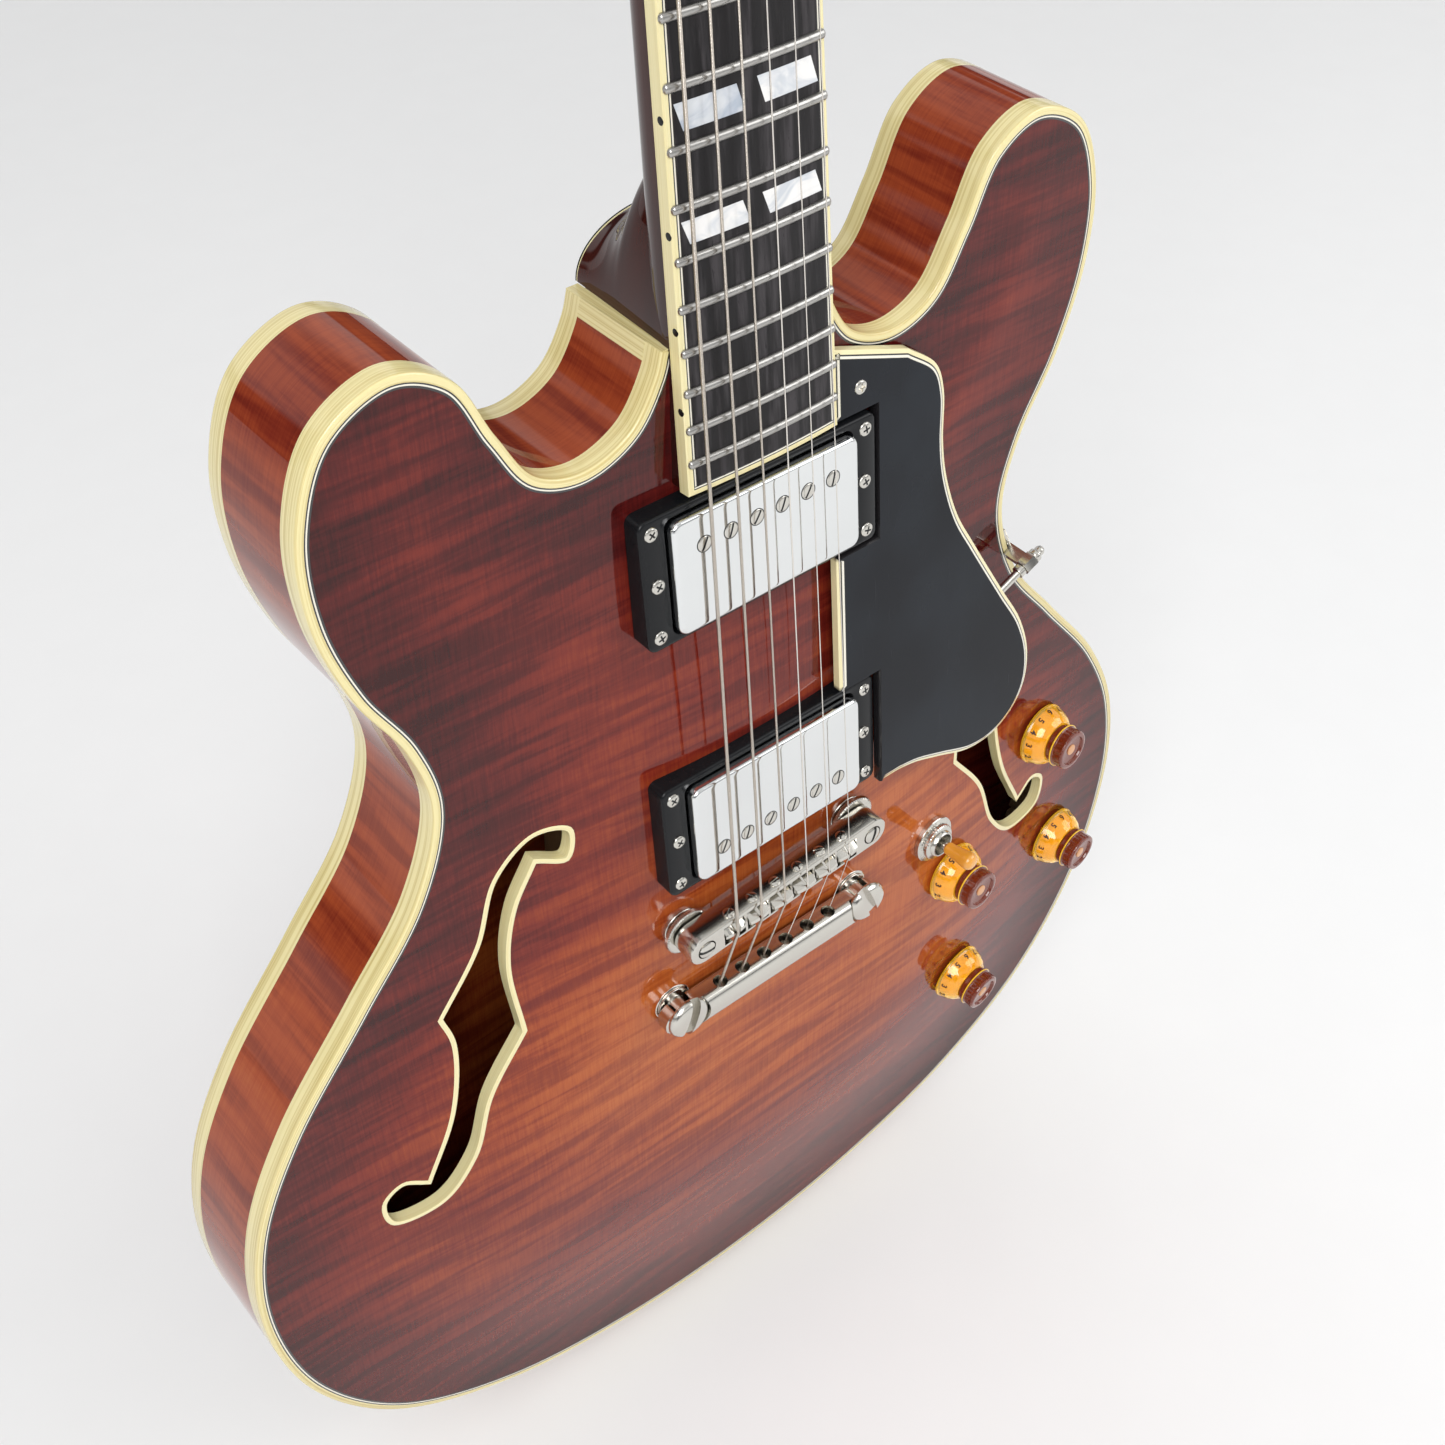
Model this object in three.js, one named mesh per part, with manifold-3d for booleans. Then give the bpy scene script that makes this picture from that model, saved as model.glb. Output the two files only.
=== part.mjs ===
import * as THREE from 'three';
import { mergeVertices } from 'three/addons/utils/BufferGeometryUtils.js';
import Module from 'manifold-3d';

const wasm = await Module();
wasm.setup();

// A semi-hollow electric guitar, in millimetres, standing with its neck up.
// Body frame: x across the strings, treble side positive; y along the strings, towards the
// headstock, zero under the saddles; z out of the face, zero at the edge of the top.
// Neck frame: the same, tilted back by the neck angle, z zero on the crown of the fingerboard.
// Head frame: tilted back further, y zero at the nut, z zero on the headstock's face.

const seat = 0.3;
const overrun = 30;
const degrees = Math.PI / 180;

// Body
const bodyLength = 487;
const lowerBout = 408;
const bodyDepth = 43;
const plateThickness = 4.2;
const archHeight = 12;
const archReach = 135;
const crestStart = 0;
const crestEnd = 170;
const crestEndShare = 0.3;
const backArchHeight = 8;
const bindingWidth = 2.4;
const bindingHeight = 7;
const rimThickness = 2.6;
const liningWidth = 8;
const liningHeight = 10;
const blockWidth = 104;
const blockNarrowWidth = 40;
const blockShoulderBack = 13.4;

// Neck and fingerboard
const scaleLength = 628.65;
const fretCount = 22;
const jointFret = 19;
const nutWidth = 43;
const boardWidth = 55.2;
const boardThickness = 5.5;
const boardRadius = 305;
const boardOverhang = 10;
const boardRiseAtJoint = 5.89;
const boardBindingWidth = 1.7;
const neckAngle = 5.21 * degrees;
const neckSlide = 1;
const neckStubMargin = 2.3;
const neckDepthAtNut = 14.6;
const neckDepthAtHeel = 19.5;
const heelLength = 16.5;
const heelWidth = 50;
const heelDrop = 1.2;
const tenonLength = 40;
const tenonWidth = 32;
const tenonFloor = 1;
const fretWidth = 2.2;
const fretHeight = 1.1;
const fretEndInset = 0.3;
const nutLength = 5;
const trussRodDiameter = 5;

// Headstock and tuners
const headAngle = 15 * degrees;
const headLength = 182;
const headWidth = 78;
const headThickness = 14.5;
const postRadius = 3;
const postRise = 13;
const postSpacing = 38;
const firstPost = 46;
const postOffsets = [20.5, 21.8, 23.1];
const tunerPlateThickness = 1.3;
const tunerPlateWidth = 15;
const gearRadius = 5.2;
const gearThickness = 3;
const wormRadius = 2;
const lugThickness = 3;
const lugGap = 1;
const lugMargin = 1.6;
const buttonLength = 17;
const buttonWidth = 20;
const buttonThickness = 6;
const buttonReach = 9;
const buttonEdge = 1;
const wormInButton = 2;

// Strings, bass to treble
const stringRadii = [0.58, 0.46, 0.36, 0.25, 0.2, 0.17];
const stringSpreadAtBridge = 50;
const stringSpreadAtNut = 35.5;
const stringRiseAtNut = 2.1;
const stringRiseAtBridge = 3.6;

// Pickups
const bridgePickupFromSaddles = 42.4;
const pickupBoardGap = 2.75;
const ringDrop = { neck: 3.5, bridge: 5.7 };
const ringLength = 89;
const ringWidth = 44.5;
const ringCorner = 3;
const ringOpeningLength = 71;
const ringOpeningWidth = 39.5;
const ringScrewSpan = 80.5;
const coverLength = 70;
const coverWidth = 38.5;
const coverRise = 3.7;
const coverDepth = 16;
const coverWall = 0.8;
const coverCorner = 3.5;
const coverEdgeRadius = 1.4;
const coilClearance = 0.4;
const pickupRouteLength = 75;
const pickupRouteWidth = 42;
const pickupRouteDepth = 24;

// Bridge
const bridgeLength = 87;
const bridgeWidth = 12;
const bridgeHeight = 9.4;
const bridgePostSpacing = 74;
const bridgeSlant = 4 * degrees;
const bridgeTopBelowStrings = 2.6;
const bridgePostRadius = 3.4;
const thumbwheelRadius = 9;
const thumbwheelThickness = 2;
const saddlePocketWidth = 9.1;
const saddlePocketLength = 8.6;
const saddlePocketDepth = 5.4;
const saddleLength = 4.4;
const stringSlotMargin = 0.8;
const stringSlotDepth = 2.4;
const postDepth = 14;
const postHoleSpare = 3;
const saddleGap = 1;
const saddleCrest = 0.6;
const saddleShoulder = 1;

// Tailpiece
const tailCentre = 41.5;
const tailBarLength = 76;
const tailBarWidth = 12.5;
const tailBarHeight = 9.6;
const tailTopHeight = 23;
const tailEarLength = 99;
const tailEarWidth = 11.5;
const tailEarHeight = 6;
const tailCornerCut = 1.5;
const studSpacing = 83;
const studOffset = 2.2;
const studNeckRadius = 3.6;
const studHeadRadius = 8.2;
const studHeadHeight = 3.6;
const studFlangeRadius = 6.4;
const studFlangeThickness = 1;
const studSlotWidth = 3.2;
const studSlotDepth = 1.8;
const stringHoleRadius = 2.2;

// Controls
const knobNames = ['neck_volume', 'neck_tone', 'bridge_volume', 'bridge_tone'];
const knobRadius = 12.8;
const knobHeight = 16;
const knobCrownRadius = 9;
const knobWaistRadius = 8.2;
const knobStandOff = 1.2;
const knobLip = 1;
const knobSkirtHeight = 4.4;
const knobShoulder = 7.6;
const knobWaist = 8.6;
const knobCrownFoot = 9.6;
const knobCrownEdge = 0.8;
const shaftRadius = 3;
const shaftDepth = 12;
const switchBushRadius = 6;
const switchNutRadius = 9.5;
const switchBoxWidth = 17;
const switchBoxDepth = 24;
const switchBoxDrop = 4;
const switchWasherLow = 1.6;
const switchWasherHigh = 2.6;
const switchNutLow = 3.4;
const switchNutHigh = 5.4;
const switchMouthHeight = 6;
const switchMouthLip = 1;
const switchSocketDepth = 3;
const leverRootDepth = 2.4;
const leverInTip = 4;
const leverRadius = 1.6;
const leverLength = 17;
const tipRadius = 3.5;
const tipLength = 13;
const leverSwing = 12 * degrees;
const plugDiameter = 6.35;
const jackRadius = plugDiameter / 2 + seat;
const jackPlateWidth = 35;
const jackPlateHeight = 23;
const jackPlateThickness = 2;
const jackBarrelRadius = 4.9;
const jackBarrelLength = 20;
const jackNutRadius = 7;
const jackNutHeight = 3;

// Guard
const guardThickness = 3.6;
const guardDrop = 3.8;
const guardRingClearance = 1.4;
const guardBoardClearance = 1.1;
const bracketBlock = 13;
const bracketDrop = 1;
const bracketBlockThickness = 7;
const bracketRodRadius = 1.8;
const bracketRodReach = 26;
const bracketShare = 0.645;
const bracketNutRadius = 4.4;
const bracketNutLength = 10;

// Strap buttons
const strapButtonRadius = 7;
const strapButtonWaist = 4;
const strapButtonHeight = 12.5;
const strapScrewRadius = 2;
const strapButtonInsetFromHeelTip = 10.3;
const strapButtonTowardsTreble = 12;

// Outline of the right half, from the end of the body round to the neck. Across: shares of half
// the lower bout. Along: shares of the body's length.
const outlineShares = [
  [0, 0], [0.304, 0.0123], [0.578, 0.0483], [0.809, 0.117], [0.951, 0.2177], [1, 0.3326],
  [0.9706, 0.423], [0.8824, 0.499], [0.7353, 0.577], [0.6176, 0.6407], [0.5652, 0.7064],
  [0.5882, 0.7598], [0.652, 0.8152], [0.6912, 0.8747], [0.6887, 0.9343], [0.6373, 0.9815],
  [0.5392, 1], [0.4559, 0.9836], [0.402, 0.9405], [0.348, 0.9045], [0.2745, 0.8939],
  [0.1985, 0.9055],
];
const stubShareAlong = 0.9476;
const stubShoulderShare = 0.9322;

// The four curved edges of an f-hole, corner to corner, treble side. Across and along: shares of
// the hole's length, from its middle.
const fHoleLength = 144.5;
const fHoleCentreShare = [0.5441, 0.5041];
const fHoleBinding = 1.7;
const fHoleShares = [
  [[-0.182, 0.41], [-0.122, 0.306], [-0.087, 0.157], [-0.097, -0.057]],
  [[-0.097, -0.057], [0.011, -0.208], [0.077, -0.383], [0.175, -0.486], [0.3, -0.476],
    [0.315, -0.38], [0.26, -0.342], [0.201, -0.377]],
  [[0.201, -0.377], [0.115, -0.19], [0.081, 0.008], [0.1, 0.102]],
  [[0.1, 0.102], [-0.014, 0.257], [-0.082, 0.426], [-0.182, 0.497], [-0.274, 0.464],
    [-0.258, 0.377], [-0.182, 0.41]],
];

// The guard's free edge, from beside the fingerboard round to the bridge pickup. Across: shares
// of half the lower bout. Along: shares of the body's length.
const guardShares = [
  [0.29, 0.882], [0.347, 0.8624], [0.3632, 0.8417], [0.3632, 0.806], [0.3706, 0.7799],
  [0.397, 0.744], [0.4368, 0.7127], [0.5078, 0.6602], [0.5574, 0.6234], [0.579, 0.5912],
  [0.5735, 0.564], [0.5451, 0.5448], [0.4961, 0.5329], [0.4387, 0.532], [0.3632, 0.5429],
  [0.3078, 0.5507], [0.2681, 0.5534],
];
const guardTopShare = 0.9047;

// Places of the four knobs and of the switch. Across: shares of half the lower bout. Along: shares
// of the body's length.
const knobPlaceShares = [[0.7353, 0.4487], [0.8275, 0.3039], [0.477, 0.3741], [0.5466, 0.2207]];
const switchPlaceShare = [0.4167, 0.4281];

// Heel: shares of its depth from the fingerboard down, of its length at the cap, of its width.
const heelShares = [
  [0, 3, 1], [0.35, 3, 1], [0.5, 2.7, 1], [0.6, 2.1, 1], [0.72, 1.5, 1], [0.86, 1.13, 1], [1, 1, 1],
];

// Headstock outline, right half, from the nut up. Across: shares of half its width. Along:
// shares of its length.
const headShares = [
  [0.56, 0.05], [0.7, 0.15], [0.86, 0.26], [0.93, 0.42], [0.97, 0.62], [1, 0.8], [0.95, 0.9],
  [0.74, 0.955], [0.4, 0.985], [0, 1],
];

// Sides given to round pieces
const fineSides = 20;
const plainSides = 14;
const smallSides = 10;

// Materials
function material(color, roughness, metalness) {
  return new THREE.MeshStandardMaterial({ color, roughness, metalness });
}
const redWood = material(0x74302a, 0.18, 0);
const rimWood = material(0x6e2a20, 0.2, 0);
const blockWood = material(0xb98d5a, 0.7, 0);
const neckWood = material(0x3c1a18, 0.2, 0);
const ebony = material(0x24211f, 0.5, 0);
const ivory = material(0xe0cf8c, 0.35, 0);
const bone = material(0xe9e2cc, 0.4, 0);
const steel = material(0x9a9a98, 0.4, 1);
const nickel = material(0xcfcbc2, 0.15, 1);
const brass = material(0xb89a55, 0.35, 1);
const blackPlastic = material(0x15181a, 0.4, 0);
const amberPlastic = material(0xb96b12, 0.2, 0);
const tipPlastic = material(0xc88a3c, 0.25, 0);
const stringMetal = material(0xb8b4aa, 0.3, 1);
const pearlButton = material(0xd8c58a, 0.3, 0);

// Solids

// Volume inside a closed set of triangles, negative where its faces point inwards.
function signedVolume(points, triangles) {
  const [a, b, c] = [new THREE.Vector3(), new THREE.Vector3(), new THREE.Vector3()];
  let sum = 0;
  for (let i = 0; i < triangles.length; i += 3) {
    a.fromArray(points, 3 * triangles[i]);
    b.fromArray(points, 3 * triangles[i + 1]);
    c.fromArray(points, 3 * triangles[i + 2]);
    sum += a.dot(b.cross(c));
  }
  return sum / 6;
}

// A geometry as a solid, with its corners merged and its faces pointing out.
function toSolid(geometry) {
  const bare = geometry.clone();
  bare.deleteAttribute('normal');
  bare.deleteAttribute('uv');
  const merged = mergeVertices(bare);
  const points = new Float32Array(merged.attributes.position.array);
  const whole = [];
  for (let i = 0; i < merged.index.count; i += 3) {
    const [a, b, c] = merged.index.array.slice(i, i + 3);
    if (a !== b && b !== c && c !== a) whole.push([a, b, c]);
  }
  const inside = signedVolume(points, whole.flat()) < 0;
  const turned = whole.map(([a, b, c]) => (inside ? [a, c, b] : [a, b, c]));
  const mesh = { numProp: 3, vertProperties: points, triVerts: new Uint32Array(turned.flat()) };
  return new wasm.Manifold(new wasm.Mesh(mesh));
}

function toGeometry(solid) {
  const mesh = solid.getMesh();
  const geometry = new THREE.BufferGeometry();
  geometry.setAttribute('position', new THREE.BufferAttribute(mesh.vertProperties, 3));
  geometry.setIndex(new THREE.BufferAttribute(mesh.triVerts, 1));
  return geometry;
}

function join(...geometries) {
  return toGeometry(geometries.map(toSolid).reduce((whole, next) => whole.add(next)));
}

function cut(geometry, ...tools) {
  return toGeometry(tools.map(toSolid).reduce((whole, next) => whole.subtract(next), toSolid(geometry)));
}

function common(...geometries) {
  return toGeometry(geometries.map(toSolid).reduce((whole, next) => whole.intersect(next)));
}

// A straight block between two corners.
function block(low, high) {
  const [width, length, height] = high.map((value, i) => value - low[i]);
  const middle = high.map((value, i) => (value + low[i]) / 2);
  return new THREE.BoxGeometry(width, length, height).translate(...middle);
}

// A flat outline raised from one height to another; holes are outlines too.
function prism(outline, low, high, holes = []) {
  const shape = outline instanceof THREE.Shape ? outline : shapeOf(outline);
  shape.holes.push(...holes.map(shapeOf));
  const settings = { depth: high - low, bevelEnabled: false, curveSegments: 4 };
  return new THREE.ExtrudeGeometry(shape, settings).translate(0, 0, low);
}

function shapeOf(points) {
  return new THREE.Shape(points.map(([x, y]) => new THREE.Vector2(x, y)));
}

function roundedRectangle(width, length, radius) {
  const [x, y] = [width / 2, length / 2];
  const shape = new THREE.Shape();
  shape.moveTo(-x, -y + radius);
  shape.absarc(-x + radius, -y + radius, radius, Math.PI, 1.5 * Math.PI);
  shape.absarc(x - radius, -y + radius, radius, 1.5 * Math.PI, 2 * Math.PI);
  shape.absarc(x - radius, y - radius, radius, 0, 0.5 * Math.PI);
  shape.absarc(-x + radius, y - radius, radius, 0.5 * Math.PI, Math.PI);
  return shape;
}

// A round bar along z, from one height to another.
function bar(radius, low, high, sides) {
  const rod = new THREE.CylinderGeometry(radius, radius, high - low, sides);
  return rod.rotateX(Math.PI / 2).translate(0, 0, (low + high) / 2);
}

// A profile of [radius, height] points turned round z.
function turned(profile, sides) {
  const points = profile.map(([radius, height]) => new THREE.Vector2(radius, height));
  return new THREE.LatheGeometry(points, sides).rotateX(Math.PI / 2);
}

// Closed rings of points, one after another, skinned and closed with flat ends.
function loft(rings) {
  const count = rings[0].length;
  const ends = [rings[0], rings[rings.length - 1]].map((ring) => {
    const middle = ring.reduce((sum, point) => sum.add(point), new THREE.Vector3());
    return middle.divideScalar(count);
  });
  const points = [...rings.flat(), ...ends];
  const triangles = [];
  for (let j = 0; j < count; j += 1) {
    const next = (j + 1) % count;
    for (let i = 0; i + 1 < rings.length; i += 1) {
      const [a, b] = [i * count + j, i * count + next];
      triangles.push([a, b, b + count], [a, b + count, a + count]);
    }
    const last = (rings.length - 1) * count;
    triangles.push([next, j, rings.length * count]);
    triangles.push([last + j, last + next, rings.length * count + 1]);
  }
  return fromTriangles(points, triangles);
}

function fromTriangles(points, triangles) {
  const geometry = new THREE.BufferGeometry().setFromPoints(points);
  geometry.setIndex(triangles.flat());
  return geometry;
}

// A solid between two height functions over a patch; place turns two shares from 0 to 1 into a
// point of the plan.
function patch(columns, rows, place, topHeight, bottomHeight) {
  const rings = [];
  for (let j = 0; j <= rows; j += 1) {
    const top = [];
    const bottom = [];
    for (let i = 0; i <= columns; i += 1) {
      const [x, y] = place(i / columns, j / rows);
      top.push(new THREE.Vector3(x, y, topHeight(x, y)));
      bottom.unshift(new THREE.Vector3(x, y, bottomHeight(x, y)));
    }
    rings.push([...top, ...bottom]);
  }
  return loft(rings);
}

// A curve that runs straight from point to point, and is sampled at those points.
class Route extends THREE.Curve {
  constructor(points) {
    super();
    this.points = points;
  }

  getPoint(share, target = new THREE.Vector3()) {
    const place = share * (this.points.length - 1);
    const index = Math.min(Math.floor(place), this.points.length - 2);
    return target.lerpVectors(this.points[index], this.points[index + 1], place - index);
  }

  getPointAt(share, target) {
    return this.getPoint(share, target);
  }
}

// A round tube through a list of points.
function tube(points, radius, sides) {
  const section = new THREE.Shape();
  section.absarc(0, 0, radius, 0, 2 * Math.PI);
  const corners = section.getPoints(sides / 2).slice(0, -1);
  const settings = { steps: points.length - 1, extrudePath: new Route(points), bevelEnabled: false };
  return new THREE.ExtrudeGeometry(new THREE.Shape(corners), settings);
}

// Frames

const stubY = fretPlace(jointFret) - seat;
const bodyEnd = stubY - stubShareAlong * bodyLength;
const boardCrownHeight = boardRiseAtJoint + (stubY - neckSlide) * Math.tan(neckAngle);

function fromNeck(geometry) {
  return geometry.rotateX(-neckAngle).translate(0, neckSlide, boardCrownHeight);
}

function neckPoint(x, y, z) {
  const point = new THREE.Vector3(x, y, z).applyAxisAngle(new THREE.Vector3(1, 0, 0), -neckAngle);
  return point.add(new THREE.Vector3(0, neckSlide, boardCrownHeight));
}

const headFoot = [0, scaleLength + nutLength, -boardThickness];

function fromHead(geometry) {
  return fromNeck(geometry.rotateX(-headAngle).translate(...headFoot));
}

function headPoint(x, y, z) {
  const point = new THREE.Vector3(x, y, z).applyAxisAngle(new THREE.Vector3(1, 0, 0), -headAngle);
  point.add(new THREE.Vector3(...headFoot));
  return neckPoint(point.x, point.y, point.z);
}

// Height over the body of a plane that lies along the strings, a drop below the fingerboard.
function stringPlane(y, drop) {
  return boardCrownHeight - drop / Math.cos(neckAngle) - (y - neckSlide) * Math.tan(neckAngle);
}

function fretPlace(fret) {
  return scaleLength * 2 ** (-fret / 12);
}

const boardEnd = fretPlace(fretCount) - boardOverhang;
const pickupPositions = {
  neck: boardEnd - pickupBoardGap - ringWidth / 2,
  bridge: bridgePickupFromSaddles,
};

function boardHalf(y) {
  const share = (scaleLength - y) / (scaleLength - boardEnd);
  return (nutWidth + (boardWidth - nutWidth) * share) / 2;
}

// Body outline

const stubHalf = boardHalf(stubY) + neckStubMargin;

function bodyPoint([across, along]) {
  return [across * lowerBout / 2, bodyEnd + along * bodyLength];
}

// The outline as points, counter-clockwise, starting at the neck's treble side.
function bodyOutline() {
  const right = outlineShares.map(bodyPoint);
  right.push([stubHalf + neckStubMargin, bodyEnd + stubShoulderShare * bodyLength]);
  right.push([stubHalf, stubY]);
  const left = right.slice(1).map(([x, y]) => [-x, y]);
  const loop = [...left.reverse(), ...right].map(([x, y]) => new THREE.Vector3(x, y, 0));
  const curve = new THREE.CatmullRomCurve3(loop, false, 'centripetal');
  return curve.getPoints(2 * (loop.length - 1)).map(({ x, y }) => [x, y]);
}
const outline = bodyOutline();
const knobPlaces = knobPlaceShares.map(bodyPoint);
const switchPlace = bodyPoint(switchPlaceShare);

// An outline drawn in by a distance, each corner moved along the mean of its two edges' normals.
function inset(points, distance) {
  return points.map(([x, y], i) => {
    const [x0, y0] = points[(i + points.length - 1) % points.length];
    const [x1, y1] = points[(i + 1) % points.length];
    const before = new THREE.Vector2(-(y - y0), x - x0).normalize();
    const after = new THREE.Vector2(-(y1 - y), x1 - x).normalize();
    const mean = before.clone().add(after).normalize();
    const reach = distance / Math.max(mean.dot(before), 0.5);
    return [x + mean.x * reach, y + mean.y * reach];
  });
}

// The same, without the edges that would run backwards.
function insetClean(points, distance) {
  const moved = inset(points, distance);
  return moved.filter(([x, y], i) => {
    const next = (i + 1) % points.length;
    const [acrossBefore, alongBefore] = [points[next][0] - points[i][0], points[next][1] - points[i][1]];
    const [across, along] = [moved[next][0] - x, moved[next][1] - y];
    return acrossBefore * across + alongBefore * along > 0;
  });
}

function edgeDistance(x, y) {
  const point = new THREE.Vector3(x, y, 0);
  const nearest = new THREE.Vector3();
  return Math.min(...outline.map(([x0, y0], i) => {
    const [x1, y1] = outline[(i + 1) % outline.length];
    const edge = new THREE.Line3(new THREE.Vector3(x0, y0, 0), new THREE.Vector3(x1, y1, 0));
    return edge.closestPointToPoint(point, true, nearest).distanceTo(point);
  }));
}

// Rise of the arch: none at the edge, the full height where the edge is archReach away, and
// lower towards the neck.
function arch(x, y, height) {
  const share = Math.min(edgeDistance(x, y) / archReach, 1);
  const crest = 1 - (1 - crestEndShare) * THREE.MathUtils.smoothstep(y, crestStart, crestEnd);
  return height * crest * (1 - Math.cos(Math.PI * share)) / 2;
}

function topHeight(x, y) {
  return arch(x, y, archHeight);
}

function backHeight(x, y) {
  return -bodyDepth - arch(x, y, backArchHeight);
}

const plateOutline = inset(outline, bindingWidth + seat);
const ringShares = [0.45, 0.72, 0.9, 1];
const plateRings = ringShares.map((share) => plateOutline.map(([x, y]) => [x * share, y * share]));

// A solid over rings of plan points that share one middle, between two height functions.
function dome(rings, high, low) {
  const count = rings[0].length;
  const points = [[0, 0], ...rings.flat()];
  const size = points.length;
  const top = points.map(([x, y]) => new THREE.Vector3(x, y, high(x, y)));
  const bottom = points.map(([x, y]) => new THREE.Vector3(x, y, low(x, y)));
  const sheet = [];
  for (let j = 0; j < count; j += 1) {
    const next = (j + 1) % count;
    sheet.push([0, 1 + j, 1 + next]);
    for (let i = 0; i + 1 < rings.length; i += 1) {
      const [a, b] = [1 + i * count + j, 1 + i * count + next];
      sheet.push([a, a + count, b + count], [a, b + count, b]);
    }
  }
  const rim = 1 + (rings.length - 1) * count;
  const wall = rings[0].flatMap((_, j) => {
    const [a, b] = [rim + j, rim + (j + 1) % count];
    return [[a, a + size, b + size], [a, b + size, b]];
  });
  const under = sheet.map(([a, b, c]) => [a + size, c + size, b + size]);
  return fromTriangles([...top, ...bottom], [...sheet, ...wall, ...under]);
}

// Everything below the top's surface, with the seating gap, for shaping what stands on it.
function belowTop(gap) {
  return dome([...plateRings, outline], (x, y) => topHeight(x, y) + gap, () => -bodyDepth);
}

// Stands what is built round z on the arched top, square to its surface at that place.
function onTop(geometry, [x, y]) {
  const step = 1;
  const across = (topHeight(x + step, y) - topHeight(x - step, y)) / (2 * step);
  const along = (topHeight(x, y + step) - topHeight(x, y - step)) / (2 * step);
  const normal = new THREE.Vector3(-across, -along, 1).normalize();
  const lean = new THREE.Quaternion().setFromUnitVectors(new THREE.Vector3(0, 0, 1), normal);
  return geometry.applyQuaternion(lean).translate(x, y, topHeight(x, y));
}

// Pieces of the body

const root = new THREE.Group();
root.rotation.x = Math.PI / 2;
const nutPoint = neckPoint(0, scaleLength, 0);
root.position.set(0, nutPoint.z, -nutPoint.y);

function piece(name, geometry, itsMaterial) {
  const clean = toGeometry(toSolid(geometry));
  clean.computeVertexNormals();
  const mesh = new THREE.Mesh(clean, itsMaterial);
  mesh.name = name;
  root.add(mesh);
}

const below = belowTop(seat);

function fHoleOutline(side) {
  const points = fHoleShares.flatMap((shares) => {
    const knots = shares.map(([x, y]) => new THREE.Vector3(x, y, 0).multiplyScalar(fHoleLength));
    const curve = new THREE.CatmullRomCurve3(knots, false, 'centripetal');
    return curve.getPoints(2 * (knots.length - 1)).slice(0, -1);
  });
  const centre = bodyPoint(fHoleCentreShare);
  const placed = points.map(({ x, y }) => [side * (x + centre[0]), y + centre[1]]);
  const area = THREE.ShapeUtils.area(placed.map(([x, y]) => new THREE.Vector2(x, y)));
  return inset(area > 0 ? placed : placed.reverse(), fHoleBinding);
}

function pickupRoute(name) {
  const shape = roundedRectangle(pickupRouteLength, pickupRouteWidth, ringCorner);
  return prism(shape, -pickupRouteDepth, overrun).translate(0, pickupPositions[name], 0);
}

function bridgePlace(x, y) {
  const [c, s] = [Math.cos(bridgeSlant), Math.sin(bridgeSlant)];
  return [x * c - y * s, x * s + y * c];
}

const bridgePosts = [-1, 1].map((side) => bridgePlace(side * bridgePostSpacing / 2, 0));
const studPlaces = [-1, 1].map((side) => [side * studSpacing / 2, studOffset - tailCentre]);

function holes(places, radius, low, high, sides) {
  return places.map(([x, y]) => bar(radius, low, high, sides).translate(x, y, 0));
}

function makeTop() {
  const plate = dome(plateRings, topHeight, (x, y) => topHeight(x, y) - plateThickness);
  const tools = [
    ...[-1, 1].map((side) => prism(fHoleOutline(side), -overrun, overrun)),
    ...Object.keys(pickupPositions).map(pickupRoute),
    ...holes(bridgePosts, bridgePostRadius + seat, -overrun, overrun, smallSides),
    ...holes(studPlaces, studNeckRadius + seat, -overrun, overrun, smallSides),
    ...knobPlaces.map((place) => onTop(bar(shaftRadius + seat, -overrun, overrun, smallSides), place)),
    onTop(bar(switchBushRadius + seat, -overrun, overrun, plainSides), switchPlace),
    tenonBlock(seat),
  ];
  piece('top_plate', cut(plate, ...tools), redWood);
}

function makeBack() {
  const inside = (x, y) => backHeight(x, y) + plateThickness;
  piece('back_plate', dome(plateRings, inside, backHeight), redWood);
}

function frame(outer, inner, low, high) {
  return prism(insetClean(outline, outer), low, high, [insetClean(outline, inner)]);
}

const rimTop = -bindingHeight - seat;
const rimBottom = -bodyDepth - rimTop;

// The neck's tongue inside the body, up to the fingerboard.
function tenonBlock(gap) {
  const half = tenonWidth / 2 + gap;
  const low = -bodyDepth + bindingHeight + tenonFloor - gap;
  return block([-half, stubY - tenonLength - gap, low], [half, stubY + heelLength / 2, overrun]);
}

function makeRim() {
  const liningTop = -plateThickness - seat;
  const liningIn = bindingWidth + seat;
  const tools = [
    frame(liningIn, liningWidth, liningTop - liningHeight, liningTop),
    frame(liningIn, liningWidth, -bodyDepth - liningTop, -bodyDepth - liningTop + liningHeight),
  ];
  const wall = frame(0, rimThickness + seat, rimBottom, rimTop);
  piece('rim', cut(join(wall, ...tools), tenonBlock(seat), jackHole(), endButtonHole()), rimWood);
}

function makeBindings() {
  const front = frame(0, bindingWidth, -bindingHeight, 0);
  piece('front_binding', cut(front, tenonBlock(seat)), ivory);
  piece('back_binding', frame(0, bindingWidth, -bodyDepth, bindingHeight - bodyDepth), ivory);
}

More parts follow.
